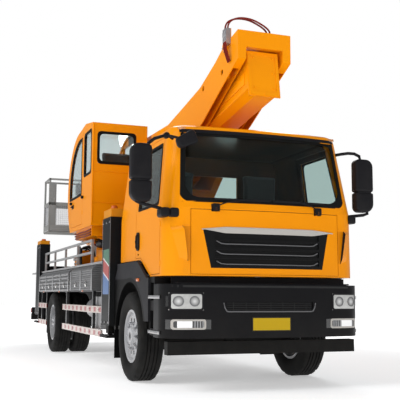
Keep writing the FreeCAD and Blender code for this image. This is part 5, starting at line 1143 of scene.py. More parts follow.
@dataclass
class Studio:
    """The view of the photograph, a pale floor and soft light."""

    eye: Vector = field(default_factory=lambda: Vector((12.49, -3.542, 0.971)))
    yaw: float = math.radians(20.32)
    pitch: float = math.radians(7.09)
    roll: float = math.radians(0.27)
    focus_px: float = 773.7
    width_px: float = 400.0
    sensor: float = 36.0
    floor_half: float = 60.0
    glow_x: float = 1.2
    glow_from: float = 4.5
    glow_over: float = 5.0
    glow_near: float = 0.42
    sky_strength: float = 0.30

    def camera(self) -> bpy.types.Object:
        """Makes the camera at the photograph's place.

        Returns:
            The camera.
        """
        ahead = Vector((-math.cos(self.yaw) * math.cos(self.pitch),
                        math.sin(self.yaw) * math.cos(self.pitch), math.sin(self.pitch)))
        right = Vector((math.sin(self.yaw), math.cos(self.yaw), 0.0))
        up = right.cross(ahead)
        tilted_right = right * math.cos(self.roll) + up * math.sin(self.roll)
        tilted_up = up * math.cos(self.roll) - right * math.sin(self.roll)
        data = bpy.data.cameras.new("photo view")
        data.sensor_width = self.sensor
        data.sensor_fit = "HORIZONTAL"
        data.lens = self.focus_px / self.width_px * self.sensor
        data.clip_end = 500.0
        thing = placed("photo view", data)
        frame = Matrix((tilted_right, tilted_up, -ahead)).transposed().to_4x4()
        frame.translation = self.eye
        thing.matrix_world = frame
        bpy.context.scene.camera = thing
        return thing

    def floor(self) -> bpy.types.Object:
        """Lays the pale floor.

        Returns:
            The floor.
        """
        mesh = bpy.data.meshes.new("floor")
        half = self.floor_half
        mesh.from_pydata([(-half, -half, 0), (half, -half, 0), (half, half, 0),
                          (-half, half, 0)], [], [(0, 1, 2, 3)])
        thing = placed("floor", mesh)
        bench = Bench("pale floor")
        grain = bench.blend(bench.noise(0.8) * 0.2, (0.9, 0.9, 0.9), (0.86, 0.86, 0.86))
        ahead = bench.axis(Axis.X) - self.glow_x
        aside = bench.axis(Axis.Y)
        far = ahead.maths("SQRT", ahead * ahead + aside * aside)
        share = ((far - self.glow_from) / self.glow_over).clamped()
        glow = bench.blend(share, (self.glow_near,) * 3, (1.0, 1.0, 1.0))
        matt = bench.shader(Base_Color=grain, Roughness=0.9, Emission_Color=glow,
                            Emission_Strength=1.0)
        mesh.materials.append(bench.close(matt))
        return thing

    @staticmethod
    def hang(panel: Panel) -> None:
        """Makes one panel light.

        Args:
            panel: the light's place, width and power.
        """
        data = bpy.data.lights.new(panel.name, "AREA")
        data.shape = "SQUARE"
        data.size = panel.size
        data.energy = panel.power
        thing = placed(panel.name, data)
        place = Vector(panel.place)
        thing.location = place
        thing.rotation_mode = "QUATERNION"
        thing.rotation_quaternion = (Vector(panel.aim) - place).to_track_quat("-Z", "Y")
        thing.visible_glossy = panel.sheen

    def sky(self) -> None:
        """An even white surrounding."""
        world = bpy.data.worlds.new("studio")
        bpy.context.scene.world = world
        world.use_nodes = True
        tree = world.node_tree
        tree.nodes.clear()
        soft = tree.nodes.new("ShaderNodeBackground")
        soft.inputs["Color"].default_value = (0.95, 0.97, 1.0, 1.0)
        soft.inputs["Strength"].default_value = self.sky_strength
        white = tree.nodes.new("ShaderNodeBackground")
        white.inputs["Color"].default_value = (1.0, 1.0, 1.0, 1.0)
        white.inputs["Strength"].default_value = 1.0
        path = tree.nodes.new("ShaderNodeLightPath")
        either = tree.nodes.new("ShaderNodeMixShader")
        shown = tree.nodes.new("ShaderNodeMath")
        shown.operation = "MAXIMUM"
        tree.links.new(path.outputs["Is Camera Ray"], shown.inputs[0])
        tree.links.new(path.outputs["Is Transmission Ray"], shown.inputs[1])
        out = tree.nodes.new("ShaderNodeOutputWorld")
        tree.links.new(shown.outputs[0], either.inputs[0])
        tree.links.new(soft.outputs[0], either.inputs[1])
        tree.links.new(white.outputs[0], either.inputs[2])
        tree.links.new(either.outputs[0], out.inputs["Surface"])

    def build(self) -> None:
        """Sets up the view, the floor and the lights."""
        bpy.context.scene.view_settings.view_transform = "Standard"
        self.camera()
        self.floor()
        self.sky()
        for panel in PANELS:
            self.hang(panel)


# Fittings

HINGE_SIDES = (0.555, 0.645)
HINGE_LEVELS = (1.850, 1.930)


def flap_hinges(bench: Bench, side: Signal) -> Signal:
    """1 on the front flap's two hinges, which are black, else 0."""
    across = (side > HINGE_SIDES[0]) * (side < HINGE_SIDES[1])
    return across * bench.within(Axis.Z, *HINGE_LEVELS)


@dataclass(frozen=True)
class GrillePaint(Paint):
    """Amber flap paint with the grille's black mouth and wire mesh in its middle."""

    mouth: Colour = (0.005, 0.005, 0.005)
    low: float = 1.262
    high: float = 1.668
    low_half: float = 0.650
    high_half: float = 0.735
    mesh: float = 0.011

    def wire(self, bench: Bench) -> bpy.types.Material:
        """Builds the paint with the mouth's mask.

        Args:
            bench: the empty tree.

        Returns:
            The finished material.
        """
        height = bench.axis(Axis.Z)
        share = (height - self.low) / (self.high - self.low)
        half = share * (self.high_half - self.low_half) + self.low_half
        side = abs(bench.axis(Axis.Y))
        inside = (side < half) * bench.within(Axis.Z, self.low, self.high)
        tone, grime = self.tone(bench, self.colour)
        across = bench.axis(Axis.Y).wave(self.mesh)
        upward = height.wave(self.mesh)
        holes = across * upward
        dark = bench.blend((holes - 0.2).clamped(), self.mouth, (0.014, 0.014, 0.015))
        mixed = bench.blend(flap_hinges(bench, side), bench.blend(inside, tone, dark), self.mouth)
        rough = grime * 0.5 + self.roughness + inside * 0.18
        relief = bench.noise(PEEL_SCALE, 1.0) * 0.12 + inside * holes
        return bench.finished(
            Base_Color=mixed, Roughness=rough, Normal=bench.bump(relief, 0.0015, 0.5),
            Specular_IOR_Level=self.gloss, Coat_Weight=(1.0 - inside) * self.coat,
            Coat_Roughness=COAT_ROUGHNESS)


@dataclass(frozen=True)
class LampFace(Finish):
    """Lamp unit behind a clear cover: bowls with a painted reflection, light in the middle and
    darkening to the rim, in a dark housing.
    """

    housing: Colour = (0.006, 0.006, 0.006)
    bowl_pitch: float = 0.163
    bowl_from: float = 0.757
    lens: tuple[float, float] = (0.745, 1.090)
    bar: tuple[float, float] = (0.862, 1.012)
    strip: tuple[float, float] = (0.745, 0.862)
    low: float = 0.868
    high: float = 0.972
    bar_low: float = 0.650
    bar_high: float = 0.723

    def wire(self, bench: Bench) -> bpy.types.Material:
        """Builds the bowls, with their painted reflection and shade, by their distance from each
        one's middle.

        Args:
            bench: the empty tree.

        Returns:
            The finished material.
        """
        side = abs(bench.axis(Axis.Y))
        height = bench.axis(Axis.Z)
        cell = (side - self.bowl_from).saw(self.bowl_pitch) - 0.5
        lift = (height - (self.low + self.high) / 2) / self.bowl_pitch
        far = cell * cell + lift * lift
        bowl = far.maths("SQRT", far)
        head = height > (self.low + self.bar_high) / 2
        lens = (side > self.lens[0]) * (side < self.lens[1]) * head
        bowls = (bowl < 0.36) * (side > self.bowl_from) * (side < self.bowl_from
                                                           + 2 * self.bowl_pitch)
        # painted reflection and shade: each bowl is light in its middle and darkens towards its
        # rim
        bowl_painted_reflection = bench.blend((bowl * 2.8).clamped(), (0.75, 0.75, 0.74), (0.06, 0.06, 0.06))
        ringed = bench.blend((bowl > 0.31) * bowls, bowl_painted_reflection, (0.55, 0.55, 0.54))
        silver = bench.blend(bench.noise(30.0) * 0.5, self.colour, (0.30, 0.30, 0.29))
        front = bench.blend(bowls, silver, ringed)
        upper = bench.blend(lens, self.housing, front)
        slot = bench.within(Axis.Z, self.bar_low, self.bar_high)
        white = (side > self.bar[0]) * (side < self.bar[1]) * slot
        cells = (side > self.strip[0]) * (side < self.strip[1]) * slot
        diodes = bench.axis(Axis.Y).wave(0.028)
        lower = bench.blend(white, self.housing, (0.92, 0.92, 0.92))
        lower = bench.blend(cells * (diodes > 0.55), lower, (0.35, 0.35, 0.36))
        tone = bench.blend(head, lower, upper)
        ribs = bench.axis(Axis.Y).wave(0.01)
        return bench.finished(
            Base_Color=tone, Roughness=0.22 - lens * 0.08, Metallic=lens * 0.35,
            Normal=bench.bump(ribs * lens, 0.0006, 0.4), Coat_Weight=1.0,
            Coat_Roughness=0.02)


@dataclass(frozen=True)
class StripePaint(Finish):
    """Enamel plate of three colours, one above the other, parted by slanting white lines."""

    top: Colour = (0.03, 0.16, 0.09)
    middle: Colour = (0.42, 0.04, 0.035)
    bottom: Colour = (0.04, 0.14, 0.38)
    top_from: float = 1.40
    middle_from: float = 1.22
    line_half: float = 0.009
    slant: float = 0.35
    centre_x: float = 2.78

    def wire(self, bench: Bench) -> bpy.types.Material:
        """Builds the bands by height along the slant.

        Args:
            bench: the empty tree.

        Returns:
            The finished material.
        """
        level = bench.axis(Axis.Z) + (bench.axis(Axis.X) - self.centre_x) * self.slant
        first = bench.blend(level > self.middle_from, self.bottom, self.middle)
        tone = bench.blend(level > self.top_from, first, self.top)
        for height in (self.middle_from, self.top_from):
            line = abs(level - height) < self.line_half
            tone = bench.blend(line, tone, (0.8, 0.8, 0.8))
        dusty = bench.blend(bench.noise(20.0, 4.0) * 0.2, tone, DUST)
        return bench.finished(Base_Color=dusty, Roughness=bench.noise(8.0) * 0.1 + 0.3,
                              Coat_Weight=0.4, Coat_Roughness=0.1)


FLAP = GrillePaint("flap paint with grille", AMBER.colour, 0.28, shade=AMBER.shade,
                   dust=0.06, coat=0.12)
HEAD_LAMP = LampFace("lamp face", (0.62, 0.62, 0.60), 0.2)
STRIPES = StripePaint("column stripes", (0.1, 0.1, 0.1), 0.3)
MIRROR_GLASS = Metal("mirror glass", (0.8, 0.82, 0.83), 0.03, grain=(3.0, 3.0, 3.0), dust=0.03)


@dataclass
class CabSkin:
    """The driver's cab's outer form, which its fittings follow."""

    foot: float = 5.050
    belt: float = 5.040
    brow: float = 4.883
    foot_z: float = 1.180
    belt_z: float = 1.885
    brow_z: float = 2.730
    half: float = 1.120
    roof_half: float = 1.014
    corner: float = 0.240
    roof_corner: float = 0.210

    def side(self, z: float) -> float:
        """Half the cab's width at a height."""
        share = max(0.0, (z - self.belt_z) / (self.brow_z - self.belt_z))
        return self.half + (self.roof_half - self.half) * min(share, 1.0)

    def front(self, y: float, z: float) -> float:
        """x of the front face at a distance from the middle line and a height.

        Args:
            y: the distance from the middle line.
            z: the height.

        Returns:
            x of the face there.
        """
        if z <= self.belt_z:
            share = (z - self.foot_z) / (self.belt_z - self.foot_z)
            nose = self.foot + (self.belt - self.foot) * share
            return nose - BowedSkin(self.half, self.corner).setback(y)
        share = min(1.0, (z - self.belt_z) / (self.brow_z - self.belt_z))
        nose = self.belt + (self.brow - self.belt) * share
        corner = self.corner + (self.roof_corner - self.corner) * share
        return nose - BowedSkin(self.side(z), corner).setback(y)

    def on_front(self, y: float, z: float, proud: float) -> Vector:
        """A point standing proud of the front face."""
        return Vector((self.front(y, z) + proud, y, z))


def spaced(start: float, end: float, count: int) -> list[float]:
    """Evenly spaced values with both ends."""
    return [start + (end - start) * index / (count - 1) for index in range(count)]


def plank(shape: Shape, upper: Sequence[Point], lower: Sequence[Point], depth: Point) -> Shape:
    """Adds a closed strip between two lines of points, given depth.

    Args:
        shape: the shape that takes it.
        upper: one long edge.
        lower: the other long edge, with as many points.
        depth: the shift from the visible face to the hidden one.

    Returns:
        The shape.
    """
    outline = list(upper) + list(reversed(lower))
    shift = Vector(depth)
    count = len(upper)
    total = len(outline)
    near = [shape.mesh.verts.new(Vector(point)) for point in outline]
    far = [shape.mesh.verts.new(vert.co + shift) for vert in near]
    for index in range(count - 1):
        other = total - 1 - index
        shape.mesh.faces.new((near[index], near[index + 1], near[other - 1], near[other]))
        shape.mesh.faces.new((far[index], far[other], far[other - 1], far[index + 1]))
    for index in range(total):
        following = (index + 1) % total
        shape.mesh.faces.new((near[index], far[index], far[following], near[following]))
    return shape


@dataclass
class CabFace:
    """What sits on the front of the driver's cab."""

    skin: CabSkin = field(default_factory=CabSkin)
    bar_right: float = -0.750
    bar_left: float = 0.790
    bar_low: float = 1.626
    bar_high: float = 1.690
    slat_half: float = 0.590
    slat_levels: tuple[float, ...] = (1.513, 1.408, 1.303)
    screen_low: float = 1.955
    screen_high: float = 2.705
    screen_low_half: float = 0.965
    screen_high_half: float = 0.912
    border: float = 0.042
    visor_low: float = 2.712
    visor_high: float = 2.748
    visor_half: float = 0.93
    wiper_blades: tuple[Place, ...] = ((-0.595, -0.60, 0.02), (0.605, 0.06, 0.70))
    wiper_z: float = 1.905
    channel_levels: tuple[float, float] = (1.330, 1.695)
    channel_y: float = 0.898
    channel_lean: float = 0.054

    def chrome(self) -> None:
        """The bar over the grille, bright by painted reflection, and the thin bright lines on its
        slats.
        """
        shape = Shape()
        upper = []
        lower = []
        for y in spaced(self.bar_right, self.bar_left, 41):
            share = (y - self.bar_right) / (self.bar_left - self.bar_right)
            taper = min(1.0, 6 * share, 6 * (1 - share))
            middle = self.bar_high - 0.024
            upper.append(self.skin.on_front(y, middle + (self.bar_high - middle) * taper + 0.001,
                                            0.010))
            lower.append(self.skin.on_front(y, middle + (self.bar_low - middle) * taper - 0.001,
                                            0.010))
        plank(shape, upper, lower, (-0.018, 0, 0))
        shape.tube([spot + Vector((0.001, 0, -0.006)) for spot in upper], 0.006)
        shape.piece("grille_bar", "front_flap", REFLECTION_PAINTED_MOULDING)
        shape = Shape()
        for level in self.slat_levels:
            path = []
            for y in spaced(-self.slat_half, self.slat_half, 25):
                rise = max(0.0, abs(y) - self.slat_half + 0.06) * 0.5
                path.append(self.skin.on_front(y, level + rise, 0.003))
            shape.tube(path, 0.0055, 6)
        shape.piece("grille_lines", "front_flap", SLAT)

    def gasket(self) -> None:
        """The screen's black border with round lower corners."""
        outline = [(-self.screen_low_half - 0.008, self.screen_low - 0.008),
                   (self.screen_low_half + 0.008, self.screen_low - 0.008),
                   (self.screen_high_half + 0.008, self.screen_high + 0.008),
                   (-self.screen_high_half - 0.008, self.screen_high + 0.008)]
        rim = self.border
        window = [(-self.screen_low_half + rim, self.screen_low + rim),
                  (self.screen_low_half - rim, self.screen_low + rim),
                  (self.screen_high_half - rim, self.screen_high - rim * 0.7),
                  (-self.screen_high_half + rim, self.screen_high - rim * 0.7)]
        outer = denser(rounded_loop(outline, (0.02, 0.02, 0.02, 0.02)))
        inner = denser(rounded_loop(window, (0.15, 0.15, 0.06, 0.06)))
        shape = Shape()
        shape.band([self.skin.on_front(y, z, 0.0025) for y, z in outer],
                   [self.skin.on_front(y, z, 0.0025) for y, z in inner], (-0.012, 0, 0))
        shape.piece("screen_border", "chassis", GASKET)
        web = Shape()
        radius = 0.105
        for way in (-1, 1):
            corner = (way * (self.screen_low_half + 0.010), self.screen_low - 0.010)
            loop = [corner, (corner[0] - way * radius * 1.05, corner[1])]
            for step in range(9):
                angle = math.pi / 2 * step / 8
                loop.append((corner[0] - way * radius * (1 - math.sin(angle)) - way * 0.002,
                             corner[1] + radius * (1 - math.cos(angle)) + 0.002))
            web.prism([self.skin.on_front(y, z, 0.004) for y, z in loop],
                      Vector((-0.012, 0, 0)))
        web.piece("screen_corners", "chassis", AMBER)

    def visor(self) -> None:
        """The dark strip between the screen and the roof."""
        shape = Shape()
        ys = spaced(-self.visor_half, self.visor_half, 31)
        plank(shape, [self.skin.on_front(y, self.visor_high, 0.0) for y in ys],
              [self.skin.on_front(y, self.visor_low, 0.010) for y in ys], (-0.03, 0, 0))
        shape.piece("brow_strip", "chassis", BLACK_PLASTIC)

    def wipers(self) -> None:
        """Two wipers parked along the screen's foot."""
        shape = Shape()
        for pivot, start, end in self.wiper_blades:
            foot = self.skin.on_front(pivot, self.wiper_z, 0.012)
            shape.disc(foot - Vector((0.012, 0, 0)), Axis.X, 0.020, 0.030, 16, 0.003)
            shape.block(foot + Vector((-0.034, -0.040, -0.052)),
                        foot + Vector((0.022, 0.038, 0.030)), 0.010, 3)
            middle = (start + end) / 2
            knee = self.skin.on_front(pivot + (middle - pivot) * 0.35, 1.948, 0.034)
            tip = self.skin.on_front(middle, 1.978, 0.026)
            shape.tube([foot, knee, tip], 0.007)
            ys = spaced(start, end, 13)
            shape.sweep([self.skin.on_front(y, 1.982 + 0.01 * abs(y - middle), 0.015)
                         for y in ys],
                        [(-0.004, -0.009), (0.004, -0.009), (0.006, 0.009), (-0.006, 0.009)])
        shape.piece("wipers", "chassis", BLACK_PLASTIC)

    def corner_vents(self) -> None:
        """Raised edges of the air channels at the cab's front corners, with a black strip of
        painted shade in each channel's mouth.
        """
        for side in Side:
            way = side.value
            zs = spaced(*self.channel_levels, 12)
            lip = []
            foot = []
            skirt = []
            for z in zs:
                share = (z - zs[0]) / (zs[-1] - zs[0])
                inner = self.channel_y + self.channel_lean * share
                outer = inner + 0.075 + 0.035 * share
                rise = (0.026 + 0.026 * share) * min(1.0, 7 * share, 14 * (1 - share)) + 0.001
                lip.append(self.skin.on_front(way * inner, z, rise))
                foot.append(self.skin.on_front(way * (inner - 0.006), z, 0.0008))
                skirt.append(self.skin.on_front(way * outer, z, 0.0005))
            blade = Shape()
            plank(blade, lip, skirt, (-0.012, 0, 0))
            blade.piece("channel_edge_" + side.word, "chassis", AMBER)
            # painted shade: a black strip along the blade's foot stands for the shade inside the
            # channel
            channel_shade_strip = Shape()
            plank(channel_shade_strip, foot, [spot - Vector((0.0005, way * 0.001, 0)) for spot in lip],
                  (-0.004, 0, 0))
            channel_shade_strip.piece("channel_mouth_" + side.word, "chassis",
                         BLACK_PLASTIC)
        crease = Shape()
        for way in (-1, 1):
            crease.tube([self.skin.on_front(way * y, z, -0.0005) for y, z in
                         ((0.952, 1.700), (0.930, 1.712), (0.900, 1.712), (0.872, 1.706))],
                        0.004, 6)
            crease.tube([self.skin.on_front(way * y, z, -0.0005) for y, z in
                         ((0.898, 1.330), (0.890, 1.318), (0.872, 1.308))], 0.004, 6)
        crease.piece("channel_creases", "chassis", AMBER)

    def roof_lamps(self) -> None:
        """Small position lamps at the brow's corners and the panel over the bumper."""
        shape = Shape()
        for way in (-1, 1):
            spot = self.skin.on_front(way * 0.900, 2.742, 0.0)
            shape.block(spot + Vector((-0.05, -0.045, 0.0)), spot + Vector((0.0, 0.045, 0.032)),
                        0.008, 3)
        shape.piece("position_lamps", "chassis", CLEAR_LENS)
        panel = Shape()
        panel.block((4.780, -1.010, 1.030), (4.815, 1.010, 1.176), 0.004)
        panel.block((4.815, -1.000, 1.098), (4.985, 1.000, 1.112), 0.004)
        panel.piece("bumper_backing", "chassis", BLACK_PLASTIC)

    def build(self) -> None:
        """Builds everything on the cab's front."""
        self.chrome()
        self.gasket()
        self.visor()
        self.wipers()
        self.corner_vents()
        self.roof_lamps()


@dataclass
class CabSides:
    """Window rubbers, handles, step edges and side lamps."""

    skin: CabSkin = field(default_factory=CabSkin)
    pane: Outline = ((3.882, 1.945), (4.668, 1.945), (4.533, 2.625), (3.882, 2.625))
    rubber: float = 0.018
    lap: float = 0.012
    pull_x: float = 3.925
    step_levels: tuple[float, float] = (0.978, 0.616)
    step_from: float = 4.490
    step_to: float = 4.860

    def window(self, side: Side) -> None:
        """The rubber round a door's glass.

        Args:
            side: which side of the machine.
        """
        low, high = self.pane[0][1], self.pane[2][1]
        rub = self.rubber
        lap = self.lap
        outline = [(self.pane[0][0] - lap, low - lap), (self.pane[1][0] + lap, low - lap),
                   (self.pane[2][0] + lap, high + lap), (self.pane[3][0] - lap, high + lap)]
        window = [(self.pane[0][0] + rub, low + rub), (self.pane[1][0] - rub - 0.01, low + rub),
                  (self.pane[2][0] - rub, high - rub), (self.pane[3][0] + rub, high - rub)]
        outer = rounded_loop(outline, (0.04, 0.04, 0.03, 0.03))
        inner = rounded_loop(window, (0.06, 0.05, 0.05, 0.06))

        def spot(point: tuple[float, float]) -> Vector:
            """The outline point on the door's skin."""
            return Vector((point[0], side.value * (self.skin.side(point[1]) + 0.003), point[1]))
        shape = Shape()
        shape.band([spot(point) for point in outer], [spot(point) for point in inner],
                   (0, -side.value * 0.012, 0))
        shape.piece("door_rubber_" + side.word, "driver_door_" + side.word,
                    GASKET)

    def handle(self, side: Side) -> None:
        """An upright door pull with its recess plate and a key barrel.

        Args:
            side: which side of the machine.
        """
        skin = side.value * self.skin.half
        shape = Shape()
        low, high = sorted((skin, skin + side.value * 0.016))
        shape.slab(rounded_box((3.868, 1.484), (3.972, 1.694), 0.036), Axis.Y, low, high, 0.004, 3)
        start = skin + side.value * 0.004
        x = self.pull_x
        shape.tube([(x, start, 1.500), (x, skin + side.value * 0.030, 1.520),
                    (x, skin + side.value * 0.034, 1.585), (x, skin + side.value * 0.030, 1.650),
                    (x, start, 1.670)], 0.011, 10)
        shape.disc((x, skin, 1.440), Axis.Y, 0.011, side.value * 0.008, 16, 0.002)
        shape.piece("door_handle_" + side.word, "driver_door_" + side.word,
                    BLACK_PLASTIC)

    def steps(self) -> None:
        """Bright edges with raised grips on the cab steps."""
        shape = Shape()
        for level in self.step_levels:
            shape.block((self.step_from, -1.166, level - 0.034), (self.step_to, -1.1505, level),
                        0.003)
            for spot in spaced(self.step_from + 0.02, self.step_to - 0.02, 16):
                shape.block((spot - 0.006, -1.169, level - 0.027),
                            (spot + 0.006, -1.163, level - 0.007), 0.0015)
        shape.mirrored()
        shape.piece("step_edges", "chassis", ALUMINIUM)

    def markers(self) -> None:
        """Amber side lamps on the mudguards and the deck's edge."""
        shape = Shape()
        for x, z, face in ((4.065, 1.180 - 0.03, -1.160), (1.300, 0.985, -1.212),
                           (-0.600, 0.985, -1.212), (-2.200, 0.985, -1.212)):
            out = face - 0.014 if face > -1.2 else face - 0.006
            low_z = z - 0.018
            shape.block((x - 0.05, out, low_z + 0.06 * (face < -1.2)),
                        (x + 0.05, face + 0.004, low_z + 0.036 + 0.06 * (face < -1.2)), 0.006, 3)
        shape.mirrored()
        shape.piece("side_markers", "chassis", AMBER_LENS)

    def build(self) -> None:
        """Builds both sides."""
        for side in Side:
            self.window(side)
            self.handle(side)
        self.steps()
        self.markers()


@dataclass
class BumperTrim:
    """Lines, vents and lamp frames on the front bumper."""

    nose: float = 5.097
    half: float = 1.150
    corner: float = 0.240
    line_z: float = 0.815
    top_z: float = 1.072
    holder_x: float = 5.0998
    screw_x: float = 5.0965
    screw_y: float = 0.15
    screw_z: float = 0.737
    bowls: tuple[float, float] = (0.8385, 1.0015)
    bowl_z: float = 0.920
    bowl_radius: float = 0.050

    def spot(self, y: float, z: float, proud: float) -> Vector:
        """A point standing proud of the bumper's face."""
        return Vector((self.nose - BowedSkin(self.half, self.corner).setback(y) + proud, y, z))

    def lines(self) -> None:
        """The bright line round the air intake's foot and the one along the bumper's top."""
        shape = Shape()
        path = [self.spot(-0.530, 0.905, -0.002), self.spot(-0.520, 0.860, -0.002),
                self.spot(-0.500, 0.822, -0.002)]
        path += [self.spot(y, self.line_z, -0.002) for y in spaced(-0.480, 0.480, 21)]
        path += [self.spot(0.500, 0.822, -0.002), self.spot(0.520, 0.860, -0.002),
                 self.spot(0.530, 0.905, -0.002)]
        shape.tube(path, 0.007)
        shape.piece("intake_line", "chassis", SLAT)
        edge = Shape()
        ys = spaced(-1.06, 1.06, 41)
        plank(edge, [self.spot(y, self.top_z + 0.010, 0.0005) for y in ys],
              [self.spot(y, self.top_z - 0.010, 0.0005) for y in ys], (-0.01, 0, 0))
        edge.piece("bumper_edge", "chassis", GREY_PLASTIC)

    def intake(self) -> None:
        """Slats inside the air intake and the grid under the number plate."""
        shape = Shape()
        for level in (0.838, 0.860, 0.882, 0.904):
            shape.tube([self.spot(y, level, -0.016) for y in spaced(-0.49, 0.49, 17)], 0.0045, 6)
        for y in spaced(-0.42, 0.42, 7):
            shape.tube([self.spot(y, 0.810, -0.019), self.spot(y, 0.912, -0.019)], 0.0035, 6)
        shape.piece("intake_grid", "chassis", GREY_PLASTIC)

    def lamp_frames(self) -> None:
        """Frames round the fog lamps, bright by painted reflection, and dark ones round the head
        lamps.
        """
        for name, inner, outer, low, high, finish in (
                ("fog_frame", 0.728, 1.062, 0.645, 0.728, REFLECTION_PAINTED_MOULDING),
                ("head_frame", 0.752, 1.082, 0.836, 1.000, BLACK_PLASTIC)):
            outer_line = denser(rounded_box((-outer - 0.008, low - 0.010),
                                            (-inner + 0.010, high + 0.010), 0.025))
            inner_line = denser(rounded_box((-outer + 0.014, low + 0.008),
                                            (-inner - 0.010, high - 0.008), 0.018))
            shape = Shape()
            shape.band([self.spot(y, z, 0.004) for y, z in outer_line],
                       [self.spot(y, z, 0.004) for y, z in inner_line], (-0.010, 0, 0))
            shape.mirrored()
            shape.piece(name, "chassis", finish)

    def head_lenses(self) -> None:
        """Bright head lamp faces with two ringed bowls each."""
        shape = Shape()
        ys = spaced(0.744, 1.088, 15)
        plank(shape, [self.spot(y, 1.006, 0.0025) for y in ys],
              [self.spot(y, 0.830, 0.0025) for y in ys], (-0.008, 0, 0))
        shape.mirrored()
        shape.piece("head_lenses", "chassis", HEAD_LAMP)
        rings = Shape()
        for middle in self.bowls:
            ring = []
            for step in range(24):
                angle = 2 * math.pi * step / 24
                ring.append(self.spot(middle + self.bowl_radius * math.cos(angle),
                                      self.bowl_z + self.bowl_radius * math.sin(angle), 0.004))
            rings.tube(ring, 0.004, 6, True)
        rings.mirrored()
        rings.piece("head_lamp_rings", "chassis", SLAT)

    def plate_frame(self) -> None:
        """The number plate's holder and its two screws."""
        shape = Shape()
        outline = rounded_box((-0.226, 0.610), (0.226, 0.762), 0.012)
        window = rounded_box((-0.214, 0.622), (0.214, 0.750), 0.008)
        shape.band([Vector((self.holder_x, y, z)) for y, z in outline],
                   [Vector((self.holder_x, y, z)) for y, z in window], (-0.012, 0, 0))
        for y in (-self.screw_y, self.screw_y):
            shape.disc((self.screw_x, y, self.screw_z), Axis.X, 0.006, 0.003, 12, 0.001)
        shape.piece("plate_holder", "chassis", BLACK_PLASTIC)

    def build(self) -> None:
        """Builds the bumper's trim."""
        self.lines()
        self.intake()
        self.head_lenses()
        self.lamp_frames()
        self.plate_frame()


@dataclass
class RoadWheel:
    """Tyres with tread, wheel nuts and the hub's bolts."""

    axle_x: float
    radius: float = 0.510
    bead: float = 0.290
    half: float = 0.1425
    height: float = 0.510
    steps: int = 96

    def tyre(self, shape: Shape, middle: float) -> None:
        """Adds one tyre whose middle plane stands at a y.

        Args:
            shape: the shape that takes it.
            middle: y of its middle plane.
        """
        r = self.radius
        b = self.bead
        side = [(b, 0.100), (b + 0.016, 0.108), (b + 0.050, 0.130), (0.400, self.half),
                (0.452, self.half - 0.002), (0.484, 0.133), (0.500, 0.122), (r, 0.104)]
        tread = [(r, 0.068), (r - 0.015, 0.066), (r - 0.015, 0.057), (r, 0.055),
                 (r, 0.030), (r - 0.015, 0.028), (r - 0.015, 0.019), (r, 0.017)]
        half_profile = side + tread
        profile = half_profile + [(radius, -offset) for radius, offset in
                                  reversed(half_profile)]
        shoulders = {index for index, (radius, offset) in enumerate(profile)
                     if abs(offset) > 0.09 and radius > 0.495}
        ribs = {index for index, (radius, offset) in enumerate(profile)
                if abs(offset) < 0.09 and radius > 0.505}

        def wave(step: int, number: int, radius: float) -> float:
            """Cuts the shoulder lugs and the fine sipes.

            Args:
                step: the facet's number.
                number: the profile point's number.
                radius: the point's radius.

            Returns:
                The radius to use.
            """
            if number in shoulders and step % 4 == 0:
                return radius - 0.012
            if number in ribs and step % 4 == 2:
                return radius - 0.005
            return radius
        shape.lathe(profile, (self.axle_x, middle, self.height), Axis.Y, self.steps, wave)

    def nuts(self, shape: Shape, face: float, circle: float, side: Side, count: int = 10,
             size: float = 0.017) -> None:
        """Adds a ring of wheel nuts with washers and studs.

        Args:
            shape: the shape that takes it.
            face: y of the face they stand on.
            circle: the ring's radius.
            side: which side of the machine.
            count: how many nuts.
            size: a nut's radius.
        """
        way = side.value
        for index in range(count):
            angle = 2 * math.pi * index / count
            spot = Vector((self.axle_x + circle * math.cos(angle), face,
                           self.height + circle * math.sin(angle)))
            shape.disc(spot - Vector((0, way * 0.002, 0)), Axis.Y, size * 1.35, way * 0.005, 16,
                       0.001)
            shape.bolt(spot, Axis.Y, size, way * 0.024, 0.002)
            shape.disc(spot, Axis.Y, size * 0.5, way * 0.032, 10, 0.001)


@dataclass
class Wheels:
    """All the machine's tyres and their fastenings."""

    front_x: float = 3.700
    rear_x: float = -1.240
    front_y: float = 1.018
    twin_y: tuple[float, float] = (0.750, 1.080)
    front_face: float = 1.110
    front_circle: float = 0.152
    rear_face: float = 0.929
    rear_circle: float = 0.170
    hub_face: float = 1.188
    hub_circle: float = 0.095

    def build(self) -> None:
        """Builds the front singles and the rear twins on both sides."""
        front = RoadWheel(self.front_x)
        rear = RoadWheel(self.rear_x)
        for side in Side:
            tyre = Shape()
            front.tyre(tyre, side.value * self.front_y)
            tyre.piece("treaded_tyre_front_" + side.word, "front_wheel_" + side.word,
                       TYRE, ("front_tyre_" + side.word,), 30.0)
            twins = Shape()
            for offset in self.twin_y:
                rear.tyre(twins, side.value * offset)
            twins.piece("treaded_tyres_rear_" + side.word, "rear_wheels_" + side.word,
                        TYRE, ("rear_tyres_" + side.word,), 30.0)
            nuts = Shape()
            front.nuts(nuts, side.value * self.front_face, self.front_circle, side)
            nuts.piece("wheel_nuts_front_" + side.word, "front_wheel_" + side.word,
                       STEEL)
            bolts = Shape()
            rear.nuts(bolts, side.value * self.rear_face, self.rear_circle, side)
            rear.nuts(bolts, side.value * self.hub_face, self.hub_circle, side, 8, 0.010)
            bolts.piece("wheel_nuts_rear_" + side.word, "rear_wheels_" + side.word,
                        STEEL)


